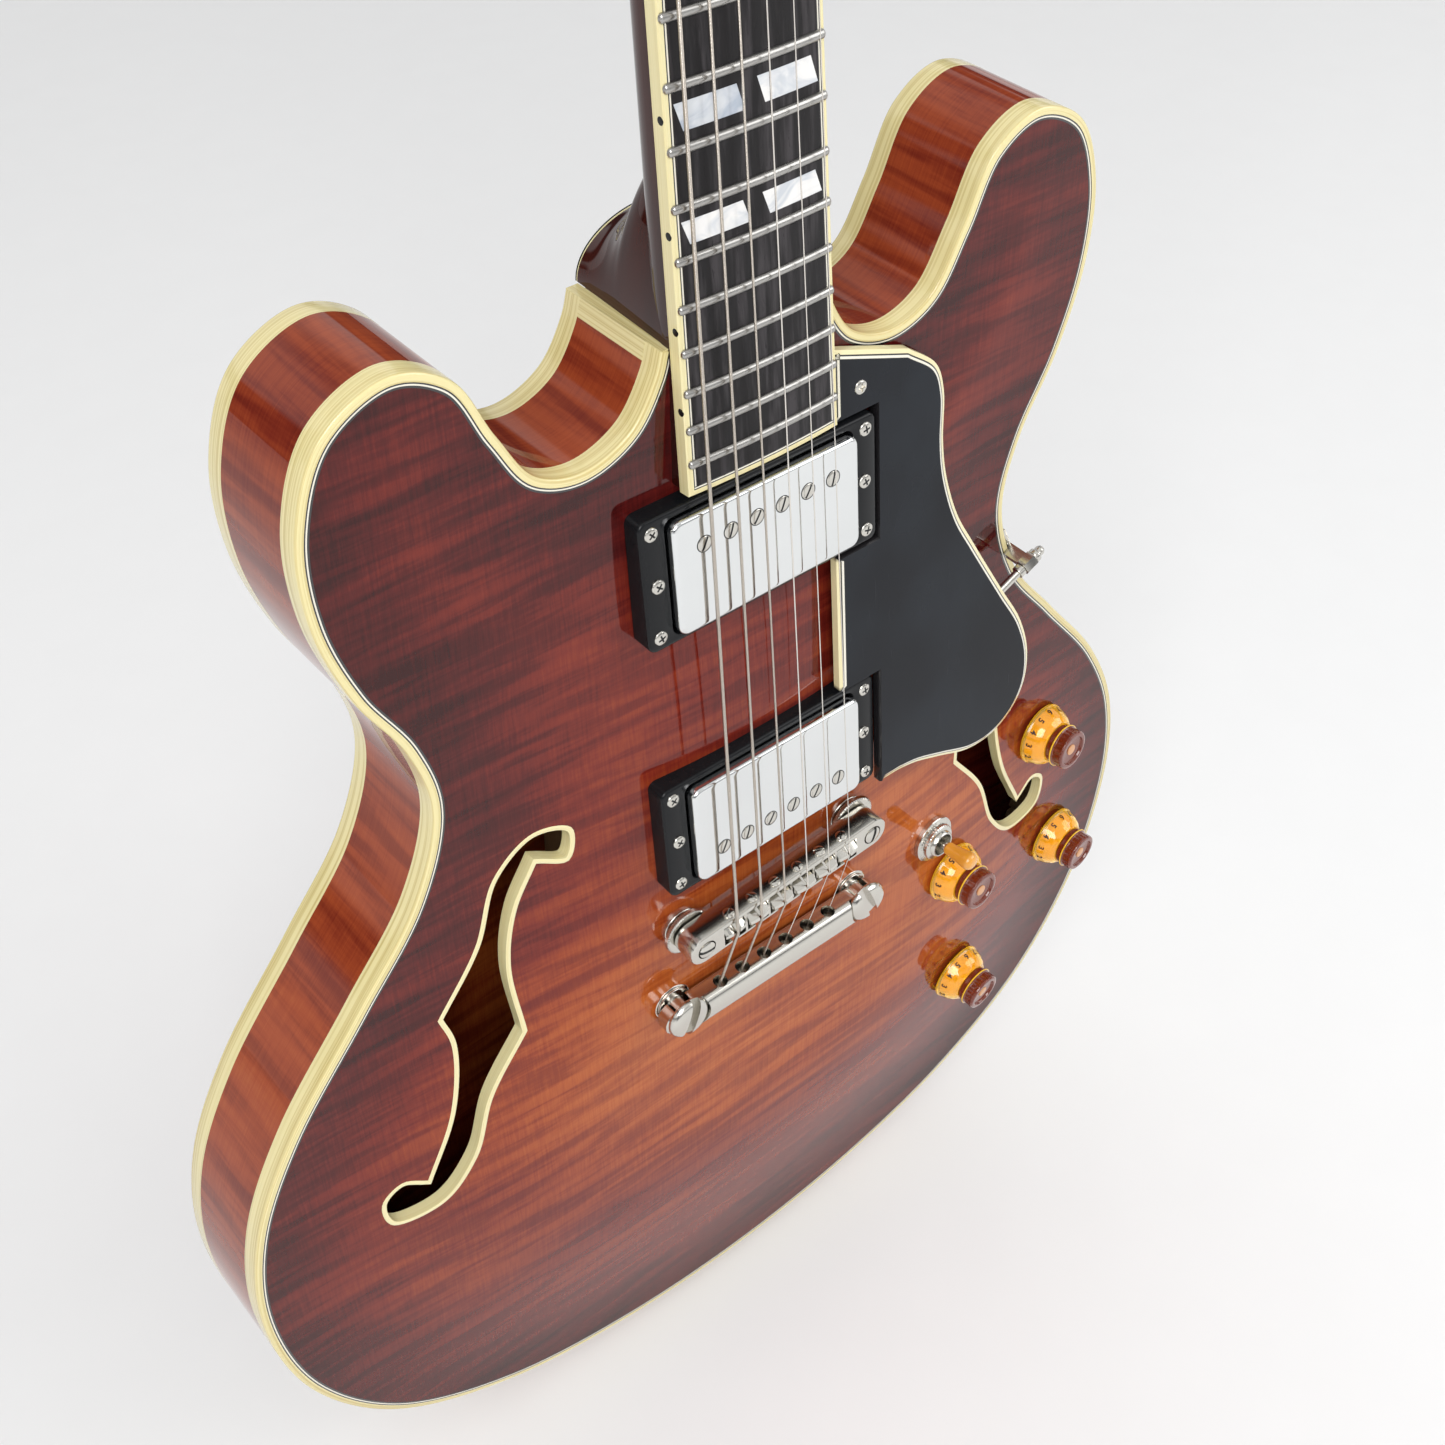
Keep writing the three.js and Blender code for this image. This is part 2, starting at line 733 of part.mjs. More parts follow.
function makeBlock() {
  const [wide, narrow] = [blockWidth / 2, blockNarrowWidth / 2];
  const shoulder = pickupPositions.neck - blockShoulderBack;
  const neckEnd = shoulder + wide - narrow;
  const plan = [
    [-wide, bodyEnd], [wide, bodyEnd], [wide, shoulder], [narrow, neckEnd],
    [narrow, stubY], [-narrow, stubY], [-narrow, neckEnd], [-wide, shoulder],
  ];
  const postHole = postDepth + seat + postHoleSpare;
  const shell = dome(
    plateRings,
    (x, y) => topHeight(x, y) - plateThickness - seat,
    (x, y) => backHeight(x, y) + plateThickness + seat,
  );
  const room = prism(insetClean(outline, liningWidth + seat), -2 * bodyDepth, overrun);
  const solid = common(prism(plan, -2 * bodyDepth, overrun), room, shell);
  const tools = [
    ...Object.keys(pickupPositions).map(pickupRoute),
    ...holes(bridgePosts, bridgePostRadius + seat, -postHole, overrun, smallSides),
    ...holes(studPlaces, studNeckRadius + seat, -postHole, overrun, smallSides),
    tenonBlock(seat),
    endButtonHole(),
  ];
  piece('center_block', cut(solid, ...tools), blockWood);
}

// Neck, fingerboard and nut

// A D-shaped section of the neck, across at one place along it.
function neckSection(y, half, depth) {
  const top = -boardThickness - seat;
  const steps = 8;
  const ring = [];
  for (let i = 0; i <= steps; i += 1) {
    const turn = Math.PI * i / steps;
    ring.push(new THREE.Vector3(half * Math.cos(turn), y, top - depth * Math.sin(turn) ** 0.8));
  }
  return ring;
}

// The heel: half an ellipse in plan at each depth, longer where it runs into the neck.
function heelSolid() {
  const steps = 10;
  const rings = heelShares.map(([down, length, width]) => {
    const half = (boardHalf(stubY) + (heelWidth / 2 - boardHalf(stubY)) * down) * width;
    return Array.from({ length: steps + 1 }, (_, i) => {
      const turn = Math.PI * i / steps;
      const y = stubY + seat + heelLength * length * Math.sin(turn);
      const high = stringPlane(y, boardThickness + seat);
      const z = high + (-bodyDepth - heelDrop - high) * down;
      return new THREE.Vector3(half * Math.cos(turn), y, z);
    });
  });
  return loft(rings);
}

function headOutline() {
  const right = headShares.map(([x, y]) => [x * headWidth / 2, y * headLength]);
  const foot = boardHalf(scaleLength);
  const loop = [[foot, 0], ...right, ...right.slice(0, -1).reverse().map(([x, y]) => [-x, y])];
  return [...loop, [-foot, 0]];
}

// Tuner posts from the nut up: the bass row on the left, the treble row on the right.
function postPlaces() {
  const row = postOffsets.map((x, i) => [x, firstPost + i * postSpacing]);
  return [-1, 1].flatMap((side) => row.map(([x, y]) => [side * x, y, side]));
}

function headHalf(share) {
  const index = headShares.findIndex(([, along]) => along > share);
  const [[x0, y0], [x1, y1]] = [headShares[index - 1], headShares[index]];
  return (x0 + (x1 - x0) * (share - y0) / (y1 - y0)) * headWidth / 2;
}
const posts = postPlaces();

function makeNeck() {
  const stations = [0, 0.06, 0.3, 0.55, 0.8, 1].map((share) => {
    const y = scaleLength + nutLength - share * (scaleLength + nutLength - boardEnd - seat);
    const depth = neckDepthAtNut + (neckDepthAtHeel - neckDepthAtNut) * share;
    return neckSection(y, boardHalf(Math.min(y, scaleLength)), depth);
  });
  const shaft = fromNeck(loft(stations));
  const head = fromHead(prism(headOutline(), -headThickness, 0));
  const bodyRoom = block([-overrun, 0, -2 * bodyDepth], [overrun, stubY + seat, seat]);
  const channelHigh = -boardThickness;
  const channel = block(
    [-trussRodDiameter / 2 - seat, boardEnd + overrun, channelHigh - trussRodDiameter - 3 * seat],
    [trussRodDiameter / 2 + seat, scaleLength, channelHigh],
  );
  const tools = [
    ...holes(posts, postRadius + seat, -overrun, overrun, smallSides).map(fromHead),
    fromNeck(channel),
    heelButtonHole(),
  ];
  const underBoard = block([-overrun, 0, -2 * bodyDepth], [overrun, scaleLength, -boardThickness - seat]);
  const tenon = common(tenonBlock(0), fromNeck(underBoard));
  const wood = cut(join(shaft, head, heelSolid()), bodyRoom, below);
  piece('neck', cut(join(wood, tenon), ...tools), neckWood);
}

function makeTrussRod() {
  const high = -boardThickness - 2 * seat;
  const from = boardEnd + overrun + seat;
  const half = trussRodDiameter / 2;
  const rod = block([-half, from, high - trussRodDiameter], [half, scaleLength - seat, high]);
  piece('truss_rod', fromNeck(rod), steel);
}

function crown(x) {
  return -x * x / (2 * boardRadius);
}

function makeFingerboard() {
  const inner = (y) => boardHalf(y) - boardBindingWidth - seat;
  const near = boardEnd + boardBindingWidth + seat;
  const columns = 4;
  const along = (share) => near + share * (scaleLength - near);
  const place = (across, share) => [(2 * across - 1) * inner(along(share)), along(share)];
  const board = patch(columns, 1, place, crown, () => -boardThickness);
  const frets = Array.from({ length: fretCount }, (_, i) => {
    const y = fretPlace(i + 1);
    const half = boardHalf(y) - fretEndInset;
    const spot = (across, share) => [(2 * across - 1) * half, y + (share - 0.5) * fretWidth];
    return patch(columns, 1, spot, (x) => crown(x) + fretHeight, (x) => crown(x) - seat);
  });
  piece('fingerboard', fromNeck(join(board, ...frets)), ebony);
}

function makeBoardBinding() {
  const [near, far] = [boardEnd, scaleLength];
  const [wide, thin] = [boardHalf(near), boardHalf(far)];
  const width = boardBindingWidth;
  const loop = [
    [-wide, near], [wide, near], [thin, far], [thin - width, far], [wide - width, near + width],
    [-wide + width, near + width], [-thin + width, far], [-thin, far],
  ];
  const high = crown(boardWidth / 2) - 2 * seat;
  piece('fingerboard_binding', fromNeck(prism(loop, -boardThickness, high)), ivory);
}

function makeNut() {
  const half = nutWidth / 2;
  const from = scaleLength + seat;
  const place = (across, share) => [(2 * across - 1) * half, from + share * (nutLength - 2 * seat)];
  const rise = stringRiseAtNut - stringRadii[0] - seat;
  const nut = patch(4, 1, place, (x) => crown(x) + rise, () => -boardThickness);
  piece('nut', fromNeck(nut), bone);
}

// Headstock hardware

const tunerNames = ['6', '5', '4', '1', '2', '3'];
const plateHigh = -headThickness - seat;
const gearHigh = plateHigh - tunerPlateThickness - seat;
const wormHeight = gearHigh - gearThickness / 2;
const wormOffset = gearRadius + wormRadius + seat;
const lugPlaces = [-gearRadius - lugThickness, gearRadius + lugGap];

function makeTunerPlate(side) {
  const row = posts.filter(([, , itsSide]) => itsSide === side);
  const low = plateHigh - tunerPlateThickness;
  const half = tunerPlateWidth / 2;
  const left = row.map(([x, y]) => [x - half, y]);
  const right = row.map(([x, y]) => [x + half, y]);
  const before = row[0][1] - half;
  const after = row[2][1] + wormOffset + half;
  const plan = [
    [left[0][0], before], [right[0][0], before], ...right, [right[2][0], after],
    [left[2][0], after], ...left.reverse(),
  ];
  const strip = prism(plan, low, plateHigh);
  const lugHalf = wormRadius + lugMargin;
  const lugs = row.flatMap(([x, y]) => lugPlaces.map((place) => {
    const from = x + side * place;
    const to = from + side * lugThickness;
    const middle = y + wormOffset;
    return block(
      [Math.min(from, to), middle - lugHalf, wormHeight - lugHalf],
      [Math.max(from, to), middle + lugHalf, plateHigh - seat],
    );
  }));
  const bores = row.flatMap(([x, y]) => [
    bar(postRadius + seat, -overrun, overrun, smallSides).translate(x, y, plateHigh),
    sidewaysBar(wormRadius + seat, -overrun, overrun, smallSides).translate(x, y + wormOffset, wormHeight),
  ]);
  const name = side < 0 ? 'tuner_plate_bass' : 'tuner_plate_treble';
  piece(name, fromHead(cut(join(strip, ...lugs), ...bores)), nickel);
}

function sidewaysBar(radius, from, to, sides) {
  const rod = new THREE.CylinderGeometry(radius, radius, to - from, sides);
  return rod.rotateZ(Math.PI / 2).translate((from + to) / 2, 0, 0);
}

function makeTuners() {
  posts.forEach(([x, y, side], i) => {
    const profile = [
      [0, gearHigh - gearThickness], [gearRadius, gearHigh - gearThickness], [gearRadius, gearHigh],
      [postRadius, gearHigh], [postRadius, postRise / 2], [postRadius * 0.8, postRise * 0.6],
      [postRadius, postRise * 0.75], [postRadius, postRise], [0, postRise],
    ];
    piece(`tuner_post_${tunerNames[i]}`, fromHead(turned(profile, plainSides).translate(x, y, 0)), nickel);
    const edge = headHalf(y / headLength) - Math.abs(x) + buttonReach;
    const shaft = sidewaysBar(wormRadius, lugPlaces[0], edge + wormInButton, smallSides);
    const shape = roundedRectangle(buttonLength, buttonWidth, buttonLength / 2 - buttonEdge);
    const paddle = prism(shape, -buttonThickness / 2, buttonThickness / 2);
    const whole = join(shaft, paddle.translate(edge + buttonLength / 2, 0, 0));
    const turnedRound = side < 0 ? whole.rotateZ(Math.PI) : whole;
    const placed = turnedRound.translate(x, y + wormOffset, wormHeight);
    piece(`tuner_button_${tunerNames[i]}`, fromHead(placed), pearlButton);
  });
}

// Strings

// Saddle tops follow the fingerboard's radius.
function saddleTop(x) {
  return boardCrownHeight + stringRiseAtBridge + crown(x);
}

function stringX(index, spread) {
  return spread * (index / 5 - 0.5);
}

const tailFront = tailBarWidth / 2 - tailCentre;
const stringHoleHeight = tailTopHeight - tailBarHeight / 2;

function makeStrings() {
  const postOrder = [0, 1, 2, 5, 4, 3];
  stringRadii.forEach((radius, i) => {
    const x = stringX(i, stringSpreadAtBridge);
    const [postX, postY, side] = posts[postOrder[i]];
    const nutX = stringX(i, stringSpreadAtNut);
    const nutHeight = stringRiseAtNut + crown(nutX);
    const endX = postX - side * (postRadius + radius + seat);
    const points = [
      new THREE.Vector3(x, tailFront - tailBarWidth / 2, stringHoleHeight),
      new THREE.Vector3(x, tailFront, stringHoleHeight),
      new THREE.Vector3(...bridgePlace(x, 0), saddleTop(x)),
      neckPoint(nutX, scaleLength + seat, nutHeight),
      neckPoint(nutX, scaleLength + nutLength, nutHeight - seat),
      headPoint(endX, postY, postRise * 0.6),
      headPoint(endX, postY + postRadius, postRise * 0.6),
    ];
    piece(`string_${6 - i}`, tube(points, radius, 6), stringMetal);
  });
}

// Pickups

function makePickup(name) {
  const middle = pickupPositions[name];
  const height = stringPlane(middle, 0) - ringDrop[name];
  const seatIt = (geometry) => geometry.rotateX(-neckAngle).translate(0, middle, height);
  const opening = roundedRectangle(ringOpeningLength, ringOpeningWidth, ringCorner);
  const ring = prism(roundedRectangle(ringLength, ringWidth, ringCorner), -overrun, 0);
  const hollow = prism(opening, -2 * overrun, overrun);
  piece(`pickup_ring_${name}`, cut(seatIt(cut(ring, hollow)), below), blackPlastic);

  const within = (drawnIn, corner) => {
    return roundedRectangle(coverLength - 2 * drawnIn, coverWidth - 2 * drawnIn, coverCorner - corner);
  };
  const shape = within(coverEdgeRadius, coverEdgeRadius);
  const bevel = {
    depth: coverDepth - coverEdgeRadius,
    bevelEnabled: true,
    bevelThickness: coverEdgeRadius,
    bevelSize: coverEdgeRadius,
    bevelSegments: 2,
    curveSegments: 3,
  };
  const solid = new THREE.ExtrudeGeometry(shape, bevel).translate(0, 0, coverRise - coverDepth);
  const low = coverRise - coverDepth;
  const room = prism(within(coverWall, coverWall), low - overrun, coverRise - coverWall);
  const waste = block([-coverLength, -coverWidth, low - overrun], [coverLength, coverWidth, low]);
  const trimmed = cut(solid, room, waste);
  piece(`pickup_cover_${name}`, seatIt(trimmed), nickel);

  const gap = coverWall + coilClearance;
  const coils = prism(within(gap, coverWall), low, coverRise - coverWall - coilClearance);
  piece(`pickup_coils_${name}`, seatIt(coils), blackPlastic);
}

// Bridge

const bridgeTop = saddleTop(0) - bridgeTopBelowStrings;

function onBridge(geometry) {
  return geometry.rotateZ(bridgeSlant);
}

function makeBridge() {
  const shape = roundedRectangle(bridgeLength, bridgeWidth, bridgeWidth / 2 - seat);
  const body = prism(shape, bridgeTop - bridgeHeight, bridgeTop);
  const pitch = stringSpreadAtBridge / 5;
  const floor = bridgeTop - saddlePocketDepth;
  const pockets = Array.from({ length: 6 }, (_, i) => {
    const x = stringX(i, stringSpreadAtBridge);
    const half = Math.min(saddlePocketWidth, pitch - saddleGap) / 2;
    const reach = saddlePocketLength / 2;
    return block([x - half, -reach, floor], [x + half, reach, overrun * 2]);
  });
  const slots = stringRadii.map((radius, i) => {
    const x = stringX(i, stringSpreadAtBridge);
    const half = radius + stringSlotMargin;
    return block([x - half, -overrun, bridgeTop - stringSlotDepth], [x + half, 0, overrun * 2]);
  });
  const bores = [-1, 1].map((side) => {
    const bore = bar(bridgePostRadius + seat, 0, overrun * 2, plainSides);
    return bore.translate(side * bridgePostSpacing / 2, 0, 0);
  });
  piece('bridge_body', onBridge(cut(body, ...pockets, ...slots, ...bores)), nickel);

  stringRadii.forEach((radius, i) => {
    const x = stringX(i, stringSpreadAtBridge);
    const half = Math.min(saddlePocketWidth, pitch - saddleGap) / 2 - seat;
    const back = saddleLength / 2;
    const high = saddleTop(x) - radius - seat;
    const shoulder = bridgeTop - saddleShoulder;
    const profile = [
      [-back, floor + seat], [back, floor + seat], [back, shoulder],
      [saddleCrest, high], [-saddleCrest, high], [-back, shoulder],
    ];
    const saddle = prism(profile, -half, half).rotateY(Math.PI / 2).rotateX(Math.PI / 2);
    piece(`saddle_${6 - i}`, onBridge(saddle.translate(x, 0, 0)), nickel);
  });

  const wheelHigh = bridgeTop - bridgeHeight - seat;
  [-1, 1].forEach((side) => {
    const profile = [
      [0, -postDepth], [bridgePostRadius, -postDepth], [bridgePostRadius, wheelHigh - thumbwheelThickness],
      [thumbwheelRadius, wheelHigh - thumbwheelThickness], [thumbwheelRadius, wheelHigh],
      [bridgePostRadius, wheelHigh], [bridgePostRadius, bridgeTop], [0, bridgeTop],
    ];
    const post = turned(profile, fineSides).translate(side * bridgePostSpacing / 2, 0, 0);
    piece(`bridge_post_${side < 0 ? 'bass' : 'treble'}`, onBridge(post), nickel);
  });
}

// Tailpiece

function makeTailpiece() {
  const half = tailBarWidth / 2;
  const low = tailTopHeight - tailBarHeight;
  const round = tailBarHeight / 2;
  const bevel = tailCornerCut;
  const profile = [[-half, low + bevel], [-half + bevel, low], [half - bevel, low], [half, low + bevel]];
  const steps = 6;
  for (let i = 0; i <= steps; i += 1) {
    const turn = Math.PI * i / steps;
    profile.push([half * Math.cos(turn), low + round + (tailBarHeight - round) * Math.sin(turn) ** 0.7]);
  }
  const length = tailBarLength / 2;
  const beam = prism(profile, -length, length).rotateY(Math.PI / 2).rotateX(Math.PI / 2);
  const earLow = low;
  const earShape = roundedRectangle(tailEarLength, tailEarWidth, tailEarWidth / 2 - seat);
  const ears = prism(earShape, earLow, earLow + tailEarHeight);
  const reach = studNeckRadius + seat;
  const headRoom = studHeadRadius + seat;
  const notches = [-1, 1].flatMap((side) => {
    const x = side * studSpacing / 2;
    return [
      bar(headRoom, earLow + tailEarHeight, overrun * 2, fineSides).translate(x, studOffset, 0),
      bar(reach, 0, overrun * 2, plainSides).translate(x, studOffset, 0),
      block([x - reach, studOffset, 0], [x + reach, overrun, overrun * 2]),
    ];
  });
  const bores = stringRadii.map((_, i) => {
    const bore = bar(stringHoleRadius, -overrun, overrun, smallSides).rotateX(Math.PI / 2);
    return bore.translate(stringX(i, stringSpreadAtBridge), 0, stringHoleHeight);
  });
  const whole = cut(join(beam, ears), ...notches, ...bores);
  piece('tailpiece', whole.translate(0, -tailCentre, 0), nickel);

  const headLow = earLow + tailEarHeight + seat;
  const flangeHigh = earLow - seat;
  const flangeLow = flangeHigh - studFlangeThickness;
  studPlaces.forEach(([x, y], i) => {
    const profile = [
      [0, -postDepth], [studNeckRadius, -postDepth], [studNeckRadius, flangeLow],
      [studFlangeRadius, flangeLow], [studFlangeRadius, flangeHigh], [studNeckRadius, flangeHigh],
      [studNeckRadius, headLow], [studHeadRadius, headLow], [studHeadRadius, headLow + studHeadHeight / 2],
      [studHeadRadius * 0.86, headLow + studHeadHeight], [0, headLow + studHeadHeight],
    ];
    const slot = block(
      [-studSlotWidth / 2, -overrun, headLow + studHeadHeight - studSlotDepth],
      [studSlotWidth / 2, overrun, overrun * 2],
    );
    const stud = cut(turned(profile, fineSides), slot).translate(x, y, 0);
    piece(`tailpiece_stud_${i ? 'treble' : 'bass'}`, stud, nickel);
  });
}

// Controls

function makeKnobs() {
  const low = knobStandOff;
  const profile = [
    [0, low - shaftDepth], [shaftRadius, low - shaftDepth], [shaftRadius, low],
    [knobRadius, low], [knobRadius, low + knobLip], [knobRadius * 0.9, low + knobSkirtHeight],
    [knobCrownRadius, low + knobShoulder], [knobWaistRadius, low + knobWaist],
    [knobCrownRadius, low + knobCrownFoot], [knobCrownRadius, low + knobHeight - knobCrownEdge],
    [knobCrownRadius - knobCrownEdge, low + knobHeight], [0, low + knobHeight],
  ];
  knobPlaces.forEach((place, i) => {
    piece(`knob_${knobNames[i]}`, onTop(turned(profile, fineSides), place), amberPlastic);
  });
}

function makeSwitch() {
  const boxTop = -plateThickness - switchBoxDrop;
  const mouthHigh = switchMouthHeight;
  const nutRadius = switchNutRadius;
  const profile = [
    [0, boxTop - seat], [switchBushRadius, boxTop - seat], [switchBushRadius, switchWasherLow],
    [nutRadius, switchWasherLow], [nutRadius, switchWasherHigh], [nutRadius * 0.74, switchNutLow],
    [nutRadius * 0.68, switchNutHigh], [nutRadius * 0.5, mouthHigh], [0, mouthHigh],
  ];
  const pivot = -plateThickness;
  const swing = Math.tan(leverSwing) * (mouthHigh - pivot);
  const wide = swing + leverRadius / Math.cos(leverSwing) + 2 * seat;
  const throat = leverRadius + 3 * seat;
  const mouth = [
    [0, pivot - switchSocketDepth], [throat, pivot - switchSocketDepth], [throat, pivot],
    [wide, mouthHigh], [wide + switchMouthLip, mouthHigh + switchSocketDepth],
    [0, mouthHigh + switchSocketDepth],
  ];
  const half = switchBoxWidth / 2;
  const box = block([-half, -half, boxTop - switchBoxDepth], [half, half, boxTop]);
  const whole = cut(join(turned(profile, fineSides), box), turned(mouth, plainSides));
  piece('switch_body', onTop(whole, switchPlace), nickel);

  const start = pivot - leverRootDepth;
  const tipLow = leverLength - tipLength + leverInTip;
  const lever = [
    [0, start], [leverRadius, start], [leverRadius, tipLow], [tipRadius * 0.72, tipLow],
    [tipRadius * 0.8, tipLow + tipLength * 0.45], [tipRadius, tipLow + tipLength * 0.75],
    [tipRadius * 0.8, tipLow + tipLength * 0.94], [0, tipLow + tipLength],
  ];
  piece('switch_lever', onTop(turned(lever, plainSides), switchPlace), tipPlastic);
}

// A point on the body's side, a share of the way up the treble half, with its outward direction.
function sidePlace(along) {
  const y = bodyEnd + along * bodyLength;
  const nextAt = (i) => outline[(i + 1) % outline.length][1];
  const index = outline.findIndex(([x, at], i) => x > 0 && at <= y && nextAt(i) > y);
  const [x0, y0] = outline[index];
  const [x1, y1] = outline[index + 1];
  const share = (y - y0) / (y1 - y0);
  return { x: x0 + (x1 - x0) * share, y, turn: Math.atan2(-(x1 - x0), y1 - y0) };
}

// Moves what is built along x to the widest place of the treble side, where it faces straight
// out, and back.
const [, widestAlong] = outlineShares.find(([across]) => across === 1);
const widestPlace = new THREE.Vector3(lowerBout / 2, bodyEnd + widestAlong * bodyLength, -bodyDepth / 2);

function onSide(geometry) {
  return geometry.translate(...widestPlace);
}

function offSide(geometry) {
  return geometry.translate(...widestPlace.clone().negate());
}

// The body's whole room with the seating gap, for shaping what sits against its side.
const withinSides = prism(inset(outline, -seat), -2 * bodyDepth, overrun);

function jackHole() {
  const hole = sidewaysBar(jackBarrelRadius + seat, -overrun, overrun, plainSides);
  return onSide(hole);
}

function makeJack() {
  const half = jackPlateWidth / 2;
  const high = jackPlateHeight / 2;
  const blank = block([-jackPlateThickness, -half, -high], [jackPlateThickness, half, high]);
  const plate = offSide(cut(onSide(blank), withinSides));
  const barrel = sidewaysBar(jackBarrelRadius, -jackBarrelLength, jackPlateThickness, plainSides);
  const nutFrom = jackPlateThickness - seat;
  const nut = sidewaysBar(jackNutRadius, nutFrom, nutFrom + jackNutHeight, 6);
  const bore = sidewaysBar(jackRadius, -overrun * 2, overrun * 2, plainSides);
  piece('output_jack', onSide(cut(join(plate, barrel, nut), bore)), nickel);
}

// Guard and its bracket

function guardHeight(y) {
  return stringPlane(y, guardDrop);
}

function makeGuard() {
  const free = guardShares.map(bodyPoint);
  const knots = free.map(([x, y]) => new THREE.Vector3(x, y, 0));
  const curve = new THREE.CatmullRomCurve3(knots, false, 'centripetal');
  const edge = curve.getPoints(2 * (free.length - 1)).map(({ x, y }) => [x, y]);
  const left = boardHalf(boardEnd) + guardBoardClearance;
  const top = bodyEnd + guardTopShare * bodyLength;
  const ringX = ringLength / 2 + guardRingClearance;
  const reach = ringWidth / 2 + guardRingClearance;
  const neck = pickupPositions.neck;
  const bridge = pickupPositions.bridge;
  const loop = [
    [left, top], [left, neck + reach], [ringX, neck + reach], [ringX, neck - reach], [left, neck - reach],
    [left, bridge + reach], [ringX, bridge + reach], [ringX, edge[edge.length - 1][1]], ...edge.reverse(),
  ];
  const flat = prism(loop, -guardThickness, 0);
  const sheared = new THREE.Matrix4().makeShear(0, 0, 0, -Math.tan(neckAngle), 0, 0);
  sheared.setPosition(0, 0, guardHeight(0));
  piece('pickguard', flat.applyMatrix4(sheared), blackPlastic);
}

function makeBracket() {
  const { x, y, turn } = sidePlace(bracketShare);
  const outward = new THREE.Vector2(Math.cos(turn), Math.sin(turn));
  const at = (out, height) => new THREE.Vector3(x + outward.x * out, y + outward.y * out, height);
  const half = bracketBlock / 2;
  const blockHigh = -bracketDrop;
  const thick = bracketBlockThickness;
  const blank = block([-thick, -half, blockHigh - bracketBlock], [thick, half, blockHigh]);
  const nut = sidewaysBar(bracketNutRadius, thick - seat, thick + bracketNutLength, smallSides);
  const outside = join(blank, nut.translate(0, 0, blockHigh - half)).rotateZ(turn).translate(x, y, 0);
  const placed = cut(outside, withinSides);
  const underGuard = (out) => {
    const drop = (guardThickness + bracketRodRadius) / Math.cos(neckAngle) + seat;
    return at(out, guardHeight(y + outward.y * out) - drop);
  };
  const start = at(thick / 2, blockHigh - half);
  const bend = underGuard(-thick / 2);
  const rise = new THREE.Vector3(start.x, start.y, bend.z / 2);
  const route = [start, rise, bend, underGuard(-bracketRodReach)];
  piece('pickguard_bracket', join(placed, tube(route, bracketRodRadius, 8)), nickel);
}

// Strap buttons

function heelButtonPlace() {
  return [strapButtonTowardsTreble, stubY + seat + heelLength - strapButtonInsetFromHeelTip];
}

function strapButton() {
  const [low, high] = [seat, strapButtonHeight];
  const shank = strapScrewRadius;
  return turned([
    [0, -strapButtonHeight], [shank, -strapButtonHeight], [shank, low], [strapButtonRadius * 0.85, low],
    [strapButtonWaist, low + high * 0.3], [strapButtonWaist, low + high * 0.6],
    [strapButtonRadius, high * 0.88], [strapButtonRadius, high], [0, high],
  ], plainSides);
}

// A hole for a strap button's screw, down from z = 0.
function screwHole() {
  return bar(strapScrewRadius + seat, -strapButtonHeight - 2 * seat, seat, smallSides);
}

function endButtonHole() {
  return screwHole().rotateX(Math.PI / 2).translate(0, bodyEnd, -bodyDepth / 2);
}

function heelButtonHole() {
  const [x, y] = heelButtonPlace();
  return screwHole().rotateX(Math.PI).translate(x, y, -bodyDepth - heelDrop);
}

function makeStrapButtons() {
  const [x, y] = heelButtonPlace();
  const heel = strapButton().rotateX(Math.PI).translate(x, y, -bodyDepth - heelDrop);
  piece('strap_button_heel', heel, nickel);
  const end = strapButton().rotateX(Math.PI / 2).translate(0, bodyEnd, -bodyDepth / 2);
  piece('strap_button_end', end, nickel);
}

makeTop();
makeBack();
makeRim();
makeBindings();
makeBlock();
makeNeck();
makeTrussRod();
makeFingerboard();
makeBoardBinding();
makeNut();
makeTunerPlate(-1);
makeTunerPlate(1);
makeTuners();
makeStrings();
makePickup('neck');
makePickup('bridge');
makeBridge();
makeTailpiece();
makeKnobs();
makeSwitch();
makeJack();
makeGuard();
makeBracket();
makeStrapButtons();

export default root;
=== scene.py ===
import bpy
import math
import numpy as np
from mathutils import Matrix, Vector, geometry


